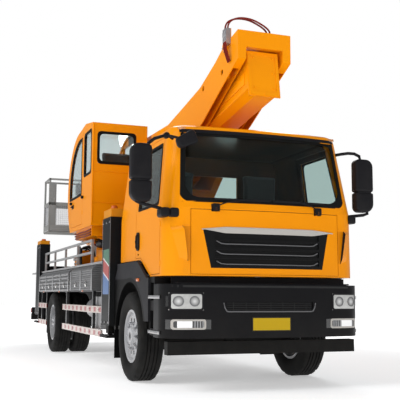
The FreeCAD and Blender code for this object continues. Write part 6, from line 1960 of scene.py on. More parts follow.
@dataclass
class Booth:
    """Window rubbers, seams, handle, latch and hinge cap of the operator's cabin."""

    side_y: float = -1.200
    back_x: float = 1.720
    rubber: float = 0.026
    back_pane: tuple[tuple[float, float], ...] = ((-1.120, 2.862), (-0.565, 3.318))
    side_pane: tuple[tuple[float, float], ...] = ((1.165, 2.730), (1.650, 3.370))
    door_rear: float = 1.005
    door_top: float = 3.345
    door_low: float = 2.480
    door_arc: float = 0.750

    def ring(self, shape: Shape, loop: Sequence[Sequence[float]], hole: Sequence[Sequence[float]],
             axis: Axis, face: float, depth: float) -> None:
        """Adds a rubber between two flat loops on a wall.

        Args:
            shape: the shape that takes it.
            loop: the outer loop.
            hole: the inner loop.
            axis: the wall's normal.
            face: where the rubber's visible face stands.
            depth: how far it goes in.
        """
        def spot(point: Sequence[float]) -> Vector:
            """A loop point in the machine's frame."""
            if axis is Axis.X:
                return Vector((face, point[0], point[1]))
            return Vector((point[0], face, point[1]))
        shape.band([spot(point) for point in loop], [spot(point) for point in hole],
                   axis.vector * depth)

    def window(self, shape: Shape, low: Sequence[float], high: Sequence[float], axis: Axis,
               face: float, depth: float, radius: float) -> None:
        """Adds the rubber of one straight-sided window with round corners.

        Args:
            shape: the shape that takes it.
            low: the opening's first corner.
            high: the opposite corner.
            axis: the wall's normal.
            face: where the rubber's visible face stands.
            depth: how far it goes in.
            radius: of the corners.
        """
        grow = 0.012
        rub = self.rubber
        outer = rounded_box((low[0] - grow, low[1] - grow), (high[0] + grow, high[1] + grow),
                            radius)
        inner = rounded_box((low[0] + rub, low[1] + rub), (high[0] - rub, high[1] - rub), radius)
        self.ring(shape, outer, inner, axis, face, depth)

    def door_loop(self, shrink: float) -> list[tuple[float, float]]:
        """The door's window drawn in: straight behind and below, curved in front.

        Args:
            shrink: how far it is drawn in.

        Returns:
            The outline.
        """
        rear = self.door_rear - shrink
        top = self.door_top - shrink
        low = self.door_low + shrink
        start = Vector((0.840 + shrink * 0.2, top))
        end = Vector((0.125 + shrink * 1.4, low))
        chord = end - start
        middle = (start + end) / 2
        radius = self.door_arc
        half = chord.length / 2
        normal = Vector((-chord.y, chord.x)).normalized()
        centre = middle + normal * math.sqrt(max(radius * radius - half * half, 0.0))
        first = math.atan2(start.y - centre.y, start.x - centre.x)
        last = math.atan2(end.y - centre.y, end.x - centre.x)
        if last < first:
            last += 2 * math.pi
        arc = [(centre.x + radius * math.cos(angle), centre.y + radius * math.sin(angle))
               for angle in spaced(first, last, 15)]
        return [(rear, low), (rear, top)] + arc

    def rubbers(self) -> None:
        """The rubbers round the windows of the cabin and its door."""
        shape = Shape()
        self.window(shape, *self.back_pane, Axis.X, self.back_x + 0.004, -0.014, 0.06)
        self.window(shape, *self.side_pane, Axis.Y, self.side_y - 0.004, 0.014, 0.06)
        shape.piece("booth_rubbers", "turret", GASKET)
        door = Shape()
        self.ring(door, self.door_loop(-0.012), self.door_loop(self.rubber), Axis.Y,
                  self.side_y - 0.004, 0.014)
        door.piece("booth_door_rubber", "operator_door", GASKET)

    def beads(self) -> None:
        """Raised seams across and up the cabin's rear wall."""
        beads = Shape()
        x = self.back_x + 0.001
        for level in (2.740, 2.291):
            beads.tube([(x, -1.185, level), (x, -0.400, level)], 0.006)
        for y in (-1.188, -0.397):
            beads.tube([(x, y, 2.0), (x, y, 3.43)], 0.007)
        beads.piece("booth_beads", "turret", AMBER)

    def grips(self) -> None:
        """The door's handle and latch, and the cap of its hinge."""
        grips = Shape()
        grips.slab(rounded_box((0.300, 2.330), (0.440, 2.390), 0.015), Axis.Y, -1.206, -1.198,
                   0.002)
        grips.tube([(0.315, -1.204, 2.360), (0.330, -1.226, 2.362), (0.410, -1.226, 2.362),
                    (0.425, -1.204, 2.360)], 0.009)
        grips.piece("booth_door_handle", "operator_door", BLACK_PLASTIC)
        for name, body, x, z in (("booth_latch", "operator_door", 0.285, 2.420),
                                 ("booth_hinge_cap", "turret", 1.142, 2.430)):
            shape = Shape()
            shape.block((x - 0.025, -1.236, z - 0.022), (x + 0.025, -1.1995, z + 0.022), 0.010, 3)
            shape.piece(name, body, BLACK_PLASTIC)

    def build(self) -> None:
        """Builds the cabin's trim."""
        self.rubbers()
        self.beads()
        self.grips()


@dataclass
class Outriggers:
    """Stripes, beacons, bolts and feet of the four outriggers."""

    places: tuple[tuple[str, float, float, float], ...] = (
        ("front", 2.780, 2.070, 2.128), ("rear", -2.920, 2.035, 2.078))
    inner: float = 1.030
    outer: float = 1.222
    plate_low: float = 0.990
    plate_high: float = 1.560
    bolt_levels: tuple[float, float] = (0.640, 1.900)
    foot_z: float = 0.482

    def stripes(self, name: str, x: float, side: Side) -> None:
        """The enamel plate on a front column.

        Args:
            name: the outrigger's name.
            x: the column's middle.
            side: which side of the machine.
        """
        way = side.value
        face = way * self.outer
        plate = Shape()
        low, high = sorted((face - way * 0.001, face + way * 0.0025))
        plate.slab(rounded_box((x - 0.150, self.plate_low), (x + 0.160, self.plate_high), 0.012),
                   Axis.Y, low, high)
        plate.piece("stripes_" + name, "outrigger_" + name, STRIPES)

    def beacon(self, name: str, centre: Vector, cap: float, top: float) -> None:
        """The amber lamp on a column.

        Args:
            name: the outrigger's name.
            centre: a point of the column's axis.
            cap: where the lens starts.
            top: where it ends.
        """
        lens = Shape()
        profile = [(0.0005, cap), (0.041, cap), (0.044, cap + 0.004), (0.043, top - 0.016),
                   (0.036, top - 0.004), (0.020, top), (0.0005, top)]
        lens.lathe(profile, centre, Axis.Z, 24,
                   lambda step, number, reach: reach - 0.0015 * (step % 2))
        lens.piece("beacon_" + name, "outrigger_" + name, AMBER_LENS)

    def bolts(self, name: str, x: float, side: Side) -> None:
        """Bolts and edge strips on a column's outer face.

        Args:
            name: the outrigger's name.
            x: the column's middle.
            side: which side of the machine.
        """
        way = side.value
        face = way * self.outer
        trim = Shape()
        for level in self.bolt_levels:
            for spot in spaced(x - 0.17, x + 0.17, 3):
                trim.bolt((spot, face, level), Axis.Y, 0.014, way * 0.010, 0.002)
        low, high = sorted((face, face + way * 0.003))
        for corner in (x - 0.202, x + 0.202):
            trim.block((corner - 0.006, low, 0.62), (corner + 0.006, high, 1.95), 0.001)
        trim.piece("column_bolts_" + name, "outrigger_" + name, STEEL)

    def foot(self, name: str, centre: Vector) -> None:
        """Bolts and the carrying loop on a jack's foot.

        Args:
            name: the outrigger's name.
            centre: a point of the jack's axis.
        """
        foot = Shape()
        x, y = centre.x, centre.y
        for dx in (-0.15, 0.15):
            for dy in (-0.085, 0.085):
                foot.bolt((x + dx, y + dy, self.foot_z), Axis.Z, 0.013, 0.010, 0.002)
        foot.tube([(x - 0.06, y, 0.484), (x - 0.05, y, 0.530), (x + 0.05, y, 0.530),
                   (x + 0.06, y, 0.484)], 0.008)
        foot.piece("foot_bolts_" + name, "jack_leg_" + name, STEEL)

    def build(self) -> None:
        """Builds the fittings of each column and leg."""
        for end, x, cap, top in self.places:
            for side in Side:
                name = end + "_" + side.word
                centre = Vector((x, side.value * (self.inner + self.outer) / 2, 0.0))
                if end == "front":
                    self.stripes(name, x, side)
                self.beacon(name, centre, cap, top)
                self.bolts(name, x, side)
                self.foot(name, centre)


@dataclass
class WorkBasket:
    """The basket: square tubes, wire mesh, plate floor and its carrying arms."""

    front: float = -4.450
    rear: float = -5.100
    half: float = 0.800
    floor: float = 2.360
    floor_thick: float = 0.040
    top: float = 3.540
    post: float = 0.040
    panel: float = 0.620
    wire: float = 0.0028
    mesh: float = 0.045
    swing_x: float = -4.370

    def frame(self) -> None:
        """Posts, rails and floor beams."""
        shape = Shape()
        post = self.post
        middle = (self.floor + self.top) / 2 + 0.060
        mesh_top = self.floor + self.panel
        for x in (self.rear, self.front - post):
            for y in (-self.half, -post / 2, self.half - post):
                shape.block((x, y, self.floor), (x + post, y + post, self.top), 0.004)
            for level in (self.top, middle, mesh_top):
                shape.block((x + 0.001, -self.half, level - post),
                            (x + post - 0.001, self.half, level), 0.004)
        for y in (-self.half, self.half - post):
            for level in (self.top, middle, mesh_top):
                shape.block((self.rear, y + 0.001, level - post),
                            (self.front, y + post - 0.001, level), 0.004)
        for x in spaced(self.rear + 0.02, self.front - 0.06, 4):
            shape.block((x, -self.half + 0.01, self.floor - 0.02),
                        (x + 0.04, self.half - 0.01, self.floor + 0.02), 0.004)
        for low in (self.floor - 0.060, middle - 0.060):
            shape.block((self.front - 0.002, -0.060, low),
                        (self.swing_x - 0.060, 0.060, low + 0.060), 0.006)
            profile = [(0.0552, low), (0.085, low), (0.088, low + 0.004), (0.088, low + 0.056),
                       (0.085, low + 0.060), (0.0552, low + 0.060)]
            shape.lathe(profile, (self.swing_x, 0, 0), Axis.Z, 32)
        shape.block((self.rear + 0.1, -0.06, self.floor - 0.06), (self.front, 0.06, self.floor),
                    0.006)
        shape.piece("basket_frame", "basket", GREY_PAINT, ("basket",))

    def mesh_panels(self) -> None:
        """Wire mesh between the lower rails."""
        shape = Shape()
        low = self.floor + self.floor_thick
        high = self.floor + self.panel - self.post
        inset = self.post / 2
        walls = (((self.rear + inset, -self.half), (self.rear + inset, self.half)),
                 ((self.front - inset, -self.half), (self.front - inset, self.half)),
                 ((self.rear, -self.half + inset), (self.front, -self.half + inset)),
                 ((self.rear, self.half - inset), (self.front, self.half - inset)))
        for start, end in walls:
            long = math.dist(start, end)
            count = int(long / self.mesh)
            for index in range(1, count):
                share = index / count
                x = start[0] + (end[0] - start[0]) * share
                y = start[1] + (end[1] - start[1]) * share
                shape.tube([(x, y, low), (x, y, high)], self.wire, 4)
            rows = int((high - low) / self.mesh)
            for index in range(1, rows):
                level = low + (high - low) * index / rows
                shape.tube([(*start, level), (*end, level)], self.wire, 4)
        shape.piece("basket_mesh", "basket", STEEL)

    def trim(self) -> None:
        """Plate floor, kick plates, the control box and the tall side panels."""
        shape = Shape()
        shape.block((self.rear + 0.002, -self.half + 0.002, self.floor + 0.02),
                    (self.front - 0.002, self.half - 0.002, self.floor + self.floor_thick), 0.002)
        shape.piece("basket_floor_plate", "basket", FLOOR_PLATE)
        kick = Shape()
        for x in (self.rear, self.front - 0.004):
            kick.block((x, -self.half + 0.04, self.floor + 0.03),
                       (x + 0.004, self.half - 0.04, self.floor + 0.15), 0.001)
        for y in (-self.half, self.half - 0.004):
            kick.block((self.rear + 0.04, y, self.floor + 0.03),
                       (self.front - 0.04, y + 0.004, self.floor + 0.15), 0.001)
        kick.piece("basket_kick_plates", "basket", GREY_PAINT)
        box = Shape()
        box.block((self.front - 0.20, -0.18, 3.20), (self.front - 0.045, 0.18, 3.46), 0.012, 3)
        for y in spaced(-0.12, 0.12, 4):
            box.disc((self.front - 0.12, y, 3.458), Axis.Z, 0.014, 0.030, 12, 0.004)
            box.tube([(self.front - 0.12, y, 3.48), (self.front - 0.12, y, 3.53)], 0.006)
        box.piece("basket_controls", "basket", BLACK_PLASTIC)
        tall = Shape()
        for near, far in ((-0.798, -0.640), (0.640, 0.798)):
            tall.slab(rounded_box((near, 2.415), (far, 3.420), 0.02), Axis.X,
                      self.front - 0.006, self.front - 0.001, 0.001)
        tall.piece("basket_side_panels", "basket", GREY_PAINT)

    def build(self) -> None:
        """Builds the basket."""
        self.frame()
        self.mesh_panels()
        self.trim()


@dataclass
class BoomTrim:
    """Seams, bolts and wear pads on the mast and the boom."""

    pivot_x: float = 4.600
    pivot_z: float = 3.780
    slope: float = math.radians(7.8)
    drop: float = 0.147
    high: float = 0.526
    half: float = 0.190
    mouths: tuple[float, ...] = (7.057, 7.259, 7.400, 8.450)
    wall: float = 0.010
    nest: float = 0.012
    collar_long: float = 0.13
    butt_x: float = 0.274
    pin_places: tuple[Place, ...] = ((4.600, 3.780, 0.055), (0.600, 1.950, 0.050))
    cheek_y: float = 0.332
    union_y: float = -0.378
    union_from: float = 4.680
    union_pitch: float = 0.031

    def lean(self) -> Matrix:
        """From the boom's own frame, level to the rear of its pivot, to the machine's."""
        return (Matrix.Translation((self.pivot_x, 0, self.pivot_z))
                @ Matrix.Rotation(-self.slope, 4, "Y"))

    def collars(self) -> None:
        """Strengthening collars with wear-pad bolts at each section's mouth."""
        bodies = ("boom_base", "boom_section_2", "boom_section_3", "boom_section_4")
        for level, body in enumerate(bodies):
            inset = level * (self.wall + self.nest)
            half = self.half - inset
            top = -self.drop - inset
            low = top - self.high + 2 * inset
            mouth = -self.mouths[level]
            shape = Shape()
            wide = 0.007
            corner = 0.070 - inset * 0.4
            outline = [(-half - wide, top + wide), (half + wide, top + wide),
                       (half + wide, low + corner), (half - corner + wide, low - wide),
                       (-half + corner - wide, low - wide), (-half - wide, low + corner)]
            hole = [(-half + 0.001, top - 0.001), (half - 0.001, top - 0.001),
                    (half - 0.001, low + corner), (half - corner, low + 0.001),
                    (-half + corner, low + 0.001), (-half + 0.001, low + corner)]
            shape.band([Vector((mouth, y, z)) for y, z in outline],
                       [Vector((mouth, y, z)) for y, z in hole], (self.collar_long, 0, 0))
            bolt = mouth + self.collar_long / 2
            for y in (-half * 0.6, half * 0.6):
                shape.bolt((bolt, y, top + wide), Axis.Z, 0.016, 0.008, 0.002)
            for side in (-1, 1):
                for z in (top - 0.06, low + corner + 0.05):
                    shape.bolt((bolt, side * (half + wide), z), Axis.Y, 0.016, side * 0.008,
                               0.002)
            shape.turned(self.lean())
            shape.piece("collar_" + body, body, AMBER)

    def butt(self) -> None:
        """The raised edge and bolts on the boom's front plate, and the seams under it."""
        shape = Shape()
        front = self.butt_x
        top = -self.drop
        low = top - self.high
        outer = rounded_loop([(-0.182, low + 0.010), (0.182, low + 0.010), (0.182, top - 0.006),
                              (-0.182, top - 0.006)], (0.05, 0.05, 0.02, 0.02))
        inner = rounded_loop([(-0.148, low + 0.050), (0.148, low + 0.050), (0.148, top - 0.030),
                              (-0.148, top - 0.030)], (0.05, 0.05, 0.03, 0.03))
        shape.band([Vector((front + 0.006, y, z)) for y, z in outer],
                   [Vector((front + 0.006, y, z)) for y, z in inner], (-0.008, 0, 0))
        for y, z in ((0.115, top - 0.07), (0.115, top - 0.24), (0.115, low + 0.10),
                     (-0.115, top - 0.07), (-0.115, low + 0.10), (0.0, low + 0.028)):
            shape.bolt((front, y, z), Axis.X, 0.010, 0.012, 0.002)
        for side in (-1, 1):
            shape.block((-6.9, side * (self.half + 0.003) - 0.003, low + 0.075),
                        (0.24, side * (self.half + 0.003) + 0.003, low + 0.095), 0.002)
            shape.block((-0.60, side * (self.half + 0.004) - 0.004, low + 0.16),
                        (0.18, side * (self.half + 0.004) + 0.004, low + 0.30), 0.003)
        shape.turned(self.lean())
        shape.piece("butt_edge", "boom_base", AMBER)

    def mast(self) -> None:
        """Bolt rings on the mast's pins, hose unions and pipes down the cheek."""
        shape = Shape()
        for x, z, reach in self.pin_places:
            for side in (-1, 1):
                face = side * self.cheek_y
                for index in range(6):
                    angle = math.pi * index / 3
                    shape.bolt((x + reach * math.cos(angle), face, z + reach * math.sin(angle)),
                               Axis.Y, 0.009, side * 0.008, 0.0015)
                shape.disc((x, face, z), Axis.Y, 0.030, side * 0.010, 24, 0.003)
        shape.piece("mast_pin_bolts", "turret", STEEL)
        block = Shape()
        lines = Shape()
        for index in range(3):
            x = self.union_from + self.union_pitch * index
            block.bolt((x, self.union_y, 3.860), Axis.Z, 0.014, 0.060, 0.003)
            block.disc((x, self.union_y, 3.800), Axis.Z, 0.010, 0.150, 12, 0.002)
            lines.tube([(x, self.union_y, 3.805), (x + 0.010, -0.374, 3.72),
                        (x + 0.022, -0.356, 3.64), (x + 0.026, -0.334, 3.57)], 0.009)
        block.piece("hose_unions", "turret", STEEL)
        lines.piece("cheek_pipes", "turret", HOSE)

    def build(self) -> None:
        """Builds the boom's and the mast's trim."""
        self.collars()
        self.butt()
        self.mast()


@dataclass
class DeckTrim:
    """Locker latches and frames, guard bolts and tail lamps."""

    outer: float = -1.220
    lockers: Outline = ((0.410, 1.950), (-2.670, 0.250))
    door_width: float = 0.75
    frame_low: float = 1.048
    frame_high: float = 1.335
    lamp_x: float = -4.002

    def doors(self) -> None:
        """Upright frames and latches of the locker doors."""
        frames = Shape()
        latches = Shape()
        for low, high in self.lockers:
            doors = max(2, round((high - low) / self.door_width))
            edges = spaced(low + 0.02, high - 0.02, doors + 1)
            for x in edges:
                frames.block((x - 0.018, self.outer - 0.006, self.frame_low),
                             (x + 0.018, self.outer + 0.006, self.frame_high), 0.003)
            for left, right in zip(edges, edges[1:]):
                middle = (left + right) / 2
                latches.slab(rounded_box((middle - 0.035, 1.10), (middle + 0.035, 1.18), 0.012),
                             Axis.Y, self.outer - 0.008, self.outer + 0.002, 0.002)
                latches.disc((middle, self.outer - 0.006, 1.14), Axis.Y, 0.012, -0.014, 12,
                             0.002)
        frames.mirrored()
        frames.piece("locker_frames", "chassis", ALUMINIUM)
        latches.mirrored()
        latches.piece("locker_latches", "chassis", CHROME)

    def guards(self) -> None:
        """Bolts along the side guards' bars."""
        bolts = Shape()
        for x in spaced(0.1, 2.4, 5):
            for z in BANDS.levels:
                bolts.bolt((x, self.outer, z), Axis.Y, 0.011, -0.007, 0.0015)
        bolts.mirrored()
        bolts.piece("guard_bolts", "chassis", STEEL)

    def tail(self) -> None:
        """Red lenses on the tail lamps."""
        lamps = Shape()
        for y in spaced(0.80, 1.14, 4):
            lamps.block((self.lamp_x, y - 0.040, 0.622), (self.lamp_x + 0.006, y + 0.040, 0.708),
                        0.003)
        lamps.mirrored()
        lamps.piece("tail_lenses", "chassis", RED_LENS)

    def build(self) -> None:
        """Builds the fittings along both sides of the deck."""
        self.doors()
        self.guards()
        self.tail()


@dataclass(frozen=True)
class CabPaint(Paint):
    """Amber outside the driver's cab, dark trim within it, black under its floor and painted shade
    in the recesses of its corner air channels.
    """

    lining: Colour = (0.02, 0.021, 0.022)
    floor: float = 1.178

    def pattern(self, bench: Bench) -> object:
        """Amber, the lining, the black underside and the painted shade in the corner channels.

        Args:
            bench: the tree.

        Returns:
            The clean colour, or a socket that carries it.
        """
        x = bench.axis(Axis.X)
        z = bench.axis(Axis.Z)
        side = abs(bench.axis(Axis.Y))
        skin = CabSkin()
        share = ((z - skin.belt_z) / (skin.brow_z - skin.belt_z)).clamped()
        half = skin.half - share * (skin.half - skin.roof_half)
        front = skin.belt - share * (skin.belt - skin.brow)
        broad = (side < half - 0.022) * (x < front - 0.34)
        ahead = (side < half - 0.26) * (x < front - side * side * 0.075 - 0.022)
        within = broad.maths("MAXIMUM", broad, ahead)
        room = within * (x > 3.165) * bench.within(Axis.Z, 1.2, 2.776)
        # painted shade: the recess of each corner air channel is darkened towards deep red-brown
        inner = (z - 1.33) * 0.148 + 0.898
        scoop_shade_mask = (side < inner) * (side > inner - 0.085) * bench.within(Axis.Z, 1.335, 1.69)
        shaded = bench.blend(scoop_shade_mask * (x > 4.7) * 0.34, self.colour, (0.30, 0.05, 0.0))
        hinge = flap_hinges(bench, side)
        tone = bench.blend(room, shaded, self.lining)
        dark = hinge.maths("MAXIMUM", hinge * (x > 4.9), z < self.floor)
        return bench.blend(dark, tone, BLACK)


@dataclass(frozen=True)
class ArchPlastic(Plastic):
    """Mudguard plastic, with painted shade: near black within the arch and below the band towards
    the rear.
    """

    centre: tuple[float, float] = (3.70, 0.50)
    arch: float = 0.68
    band: float = 1.17
    # colour of the painted shade
    inner: Colour = (0.003, 0.003, 0.003)

    def wire(self, bench: Bench) -> bpy.types.Material:
        """Builds the band and the painted shade of the arch.

        Args:
            bench: the empty tree.

        Returns:
            The finished material.
        """
        # painted shade: near black within the arch and below the band towards the rear
        ahead = bench.axis(Axis.X) - self.centre[0]
        above = bench.axis(Axis.Z) - self.centre[1]
        within = (ahead * ahead + above * above) < self.arch * self.arch
        rear = (ahead < 0.1) * (bench.axis(Axis.Z) < self.band)
        dark = within.maths("MAXIMUM", within, rear)
        grime = (bench.noise(9.0, 4.0, 0.65) - 0.4).clamped() * self.dust
        tone = bench.blend(grime, self.colour, DUST)
        return bench.finished(
            Base_Color=bench.blend(dark, tone, self.inner),
            Roughness=bench.noise(5.0) * 0.1 + self.roughness,
            Normal=bench.bump(bench.noise(90.0, 2.0), 0.0005, 0.35),
            Specular_IOR_Level=PLASTIC_GLOSS)


@dataclass(frozen=True)
class BoothPaint(Paint):
    """Amber outside the operator's cabin and dark trim within it."""

    lining: Colour = (0.045, 0.045, 0.046)

    def pattern(self, bench: Bench) -> object:
        """Amber and the lining.

        Args:
            bench: the tree.

        Returns:
            The clean colour, or a socket that carries it.
        """
        x = bench.axis(Axis.X)
        y = bench.axis(Axis.Y)
        room = (y > -1.178) * (y < -0.41) * (x > 0.8) * (x < 1.70)
        room = room * bench.within(Axis.Z, 2.0, 3.46)
        return bench.blend(room, self.colour, self.lining)


@dataclass(frozen=True)
class MastPaint(Paint):
    """Amber mast whose hose block is plated steel."""

    plated: Colour = (0.22, 0.22, 0.23)

    def pattern(self, bench: Bench) -> object:
        """Amber and the plated block.

        Args:
            bench: the tree.

        Returns:
            The clean colour, or a socket that carries it.
        """
        spot = (bench.axis(Axis.Y) < -0.3225) * (bench.axis(Axis.X) > 4.655)
        spot = spot * (bench.axis(Axis.Z) > 3.776)
        return bench.blend(spot, self.colour, self.plated)


@dataclass(frozen=True)
class LockerSheet(Metal):
    """Pressed aluminium sheet: ribs along the rear lockers, lozenges on the front ones."""

    rib: float = 0.062
    lozenge: float = 0.075
    parting: float = 0.33

    def wire(self, bench: Bench) -> bpy.types.Material:
        """Builds both reliefs, the colour darker in their troughs, and smudges of dirt.

        Args:
            bench: the empty tree.

        Returns:
            The finished material.
        """
        x = bench.axis(Axis.X)
        z = bench.axis(Axis.Z)
        ribs = z.wave(self.rib)
        first = (x + z * 1.3).wave(self.lozenge)
        second = (x - z * 1.3).wave(self.lozenge)
        diamonds = first * second
        ahead = x > self.parting
        relief = ribs * (1.0 - ahead) + diamonds * ahead
        smudge = bench.noise(5.0, 5.0, 0.62)
        # the colour darkens in the troughs of the ribs and lozenges
        tone = bench.blend((1.0 - relief).clamped() * 0.75, self.colour,
                           darker(self.colour, 0.42))
        dirty = bench.blend((smudge - 0.35).clamped() * 0.9, tone, (0.12, 0.115, 0.105))
        return bench.finished(
            Base_Color=dirty, Roughness=smudge * 0.2 + self.roughness, Metallic=0.7,
            Normal=bench.bump(relief, 0.006, 0.8))


MUDGUARD = ArchPlastic("mudguard plastic", (0.020, 0.020, 0.023), 0.45, dust=0.06)
CAB_PAINT = CabPaint("cab paint", AMBER.colour, 0.26, shade=AMBER.shade, dust=0.08, coat=0.12)
BOOTH_PAINT = BoothPaint("booth paint", AMBER.colour, 0.28, shade=AMBER.shade, dust=0.05,
                         coat=0.12)
MAST_PAINT = MastPaint("mast paint", AMBER.colour, 0.28, shade=AMBER.shade, dust=0.05, coat=0.12)
LOCKER_SHEET = LockerSheet("locker sheet", (0.36, 0.36, 0.37), 0.38)
# light grey stands in for the chrome mouldings' reflection: painted reflection
REFLECTION_PAINTED_MOULDING = Plastic("polished moulding", (0.44, 0.42, 0.39), 0.16, dust=0.03)
SLAT = Plastic("slat edge", (0.13, 0.13, 0.135), 0.25, dust=0.03)
TRIM = Plastic("dark trim", (0.012, 0.012, 0.013), 0.6, dust=0.04)


def pillow(shape: Shape, loop: Sequence[Sequence[float]], axis: Axis, low: float, high: float,
           soft: float, steps: int = 5) -> Shape:
    """Adds a moulded housing: an outline given depth, with fully rounded faces.

    Args:
        shape: the shape that takes it.
        loop: the outline in the two coordinates other than the axis.
        axis: the direction of its depth.
        low: where it starts.
        high: where it ends.
        soft: the radius between its faces and its sides.
        steps: segments of that radius.

    Returns:
        The shape.
    """
    others = axis.others
    middle = [(min(p[k] for p in loop) + max(p[k] for p in loop)) / 2 for k in (0, 1)]
    reach = [(max(p[k] for p in loop) - min(p[k] for p in loop)) / 2 for k in (0, 1)]
    levels = []
    for step in range(steps + 1):
        angle = math.pi / 2 * step / steps
        levels.append((low + soft * (1 - math.cos(angle)), soft * (1 - math.sin(angle))))
    levels += [(high - (level - low), inset) for level, inset in reversed(levels)]
    rings = []
    for level, inset in levels:
        ring = []
        for point in loop:
            spot = Vector((0.0, 0.0, 0.0))
            spot[axis.value] = level
            for k in (0, 1):
                spot[others[k].value] = middle[k] + (point[k] - middle[k]) * (1 - inset / reach[k])
            ring.append(shape.mesh.verts.new(spot))
        rings.append(ring)
    for near, far in zip(rings, rings[1:]):
        shape.bridge(near, far)
    shape.mesh.faces.new(rings[0][::-1])
    shape.mesh.faces.new(rings[-1])
    return shape


@dataclass
class Mirrors:
    """Tall mirror housings with wide-angle ones below, on bowed arms."""

    x: float = 4.905
    half_deep: float = 0.066
    tube: float = 0.018
    right_edges: tuple[float, float] = (-1.276, -1.4985)
    left_edges: tuple[float, float] = (1.136, 1.362)
    glass_edges: Outline = ((-1.312, -1.470), (1.172, 1.330))
    glass_levels: Outline = ((2.190, 2.490), (1.965, 2.115))
    arms: tuple[tuple[Place, ...], ...] = (
        ((4.905, -1.330, 2.470), (4.905, -1.305, 2.545), (4.903, -1.240, 2.600),
         (4.900, -1.123, 2.642), (4.870, -1.060, 2.640), (4.830, -1.020, 2.630)),
        ((4.905, -1.440, 1.975), (4.905, -1.430, 1.935), (4.905, -1.380, 1.915),
         (4.905, -1.171, 1.872), (4.880, -1.090, 1.850)),
        ((4.770, 0.960, 2.590), (4.840, 1.020, 2.598), (4.890, 1.080, 2.603),
         (4.905, 1.150, 2.600), (4.905, 1.215, 2.575), (4.905, 1.235, 2.500)),
        ((4.905, 1.300, 1.965), (4.905, 1.305, 1.915), (4.905, 1.250, 1.896),
         (4.890, 1.150, 1.884), (4.860, 1.060, 1.874)))
    kerb_arm: tuple[Place, ...] = ((4.900, -1.110, 2.640), (4.960, -1.070, 2.625),
                                   (5.010, -1.010, 2.600))
    kerb_outline: Outline = ((-0.125, -0.062), (0.110, -0.085), (0.125, 0.070),
                             (-0.105, 0.055))
    kerb_middle: tuple[float, float] = (-0.935, 2.590)
    kerb_tilt: float = math.radians(28.0)

    def housing(self, shape: Shape, inner: float, outer: float) -> None:
        """Adds one side's two housings between two distances from the middle line.

        Args:
            shape: the shape that takes it.
            inner: y of the edge near the cab.
            outer: y of the far edge.
        """
        for low, high, radii in ((2.157, 2.535, (0.020, 0.030, 0.085, 0.055)),
                                 (1.925, 2.150, (0.060, 0.100, 0.020, 0.020))):
            loop = rounded_loop([(inner, low), (outer, low), (outer, high), (inner, high)], radii)
            pillow(shape, loop, Axis.X, self.x - self.half_deep, self.x + self.half_deep, 0.030)
        middle = (inner + outer) / 2
        shape.block((self.x - 0.050, middle - 0.085, 2.130),
                    (self.x + 0.050, middle + 0.085, 2.180), 0.006)

    def build(self) -> None:
        """Builds both sides and the kerb mirror."""
        shape = Shape()
        self.housing(shape, *self.right_edges)
        self.housing(shape, *self.left_edges)
        for arm in self.arms:
            shape.tube(arm, self.tube, 12)
        shape.disc((4.875, -1.110, 2.642), Axis.X, 0.034, 0.050, 20, 0.006)
        for near, far in ((-1.176, -1.080), (-1.077, -0.978)):
            pillow(shape, rounded_box((near, 1.782), (far, 1.880), 0.026), Axis.X, 4.790, 4.965,
                   0.020)
        pillow(shape, rounded_box((1.040, 1.790), (1.140, 1.880), 0.02), Axis.X, 4.800, 4.935,
               0.016)
        shape.tube(self.kerb_arm, self.tube * 0.8, 12)
        run = math.cos(self.kerb_tilt)
        rise = math.sin(self.kerb_tilt)
        loop = []
        for along, across in rounded_loop(self.kerb_outline, (0.045, 0.04, 0.04, 0.04)):
            loop.append((self.kerb_middle[0] + along * run - across * rise,
                         self.kerb_middle[1] + along * rise + across * run))
        pillow(shape, loop, Axis.X, 4.985, 5.070, 0.030)
        shape.piece("mirror_housings", "chassis", BLACK_PLASTIC,
                    ("cab_mirrors",))
        glass = Shape()
        for inner, outer in self.glass_edges:
            for low, high in self.glass_levels:
                glass.slab(rounded_loop([(inner, low), (outer, low), (outer, high),
                                         (inner, high)], (0.02, 0.03, 0.04, 0.03)), Axis.X,
                           self.x - self.half_deep - 0.002, self.x - self.half_deep + 0.002)
        glass.piece("mirror_glasses", "chassis", MIRROR_GLASS)


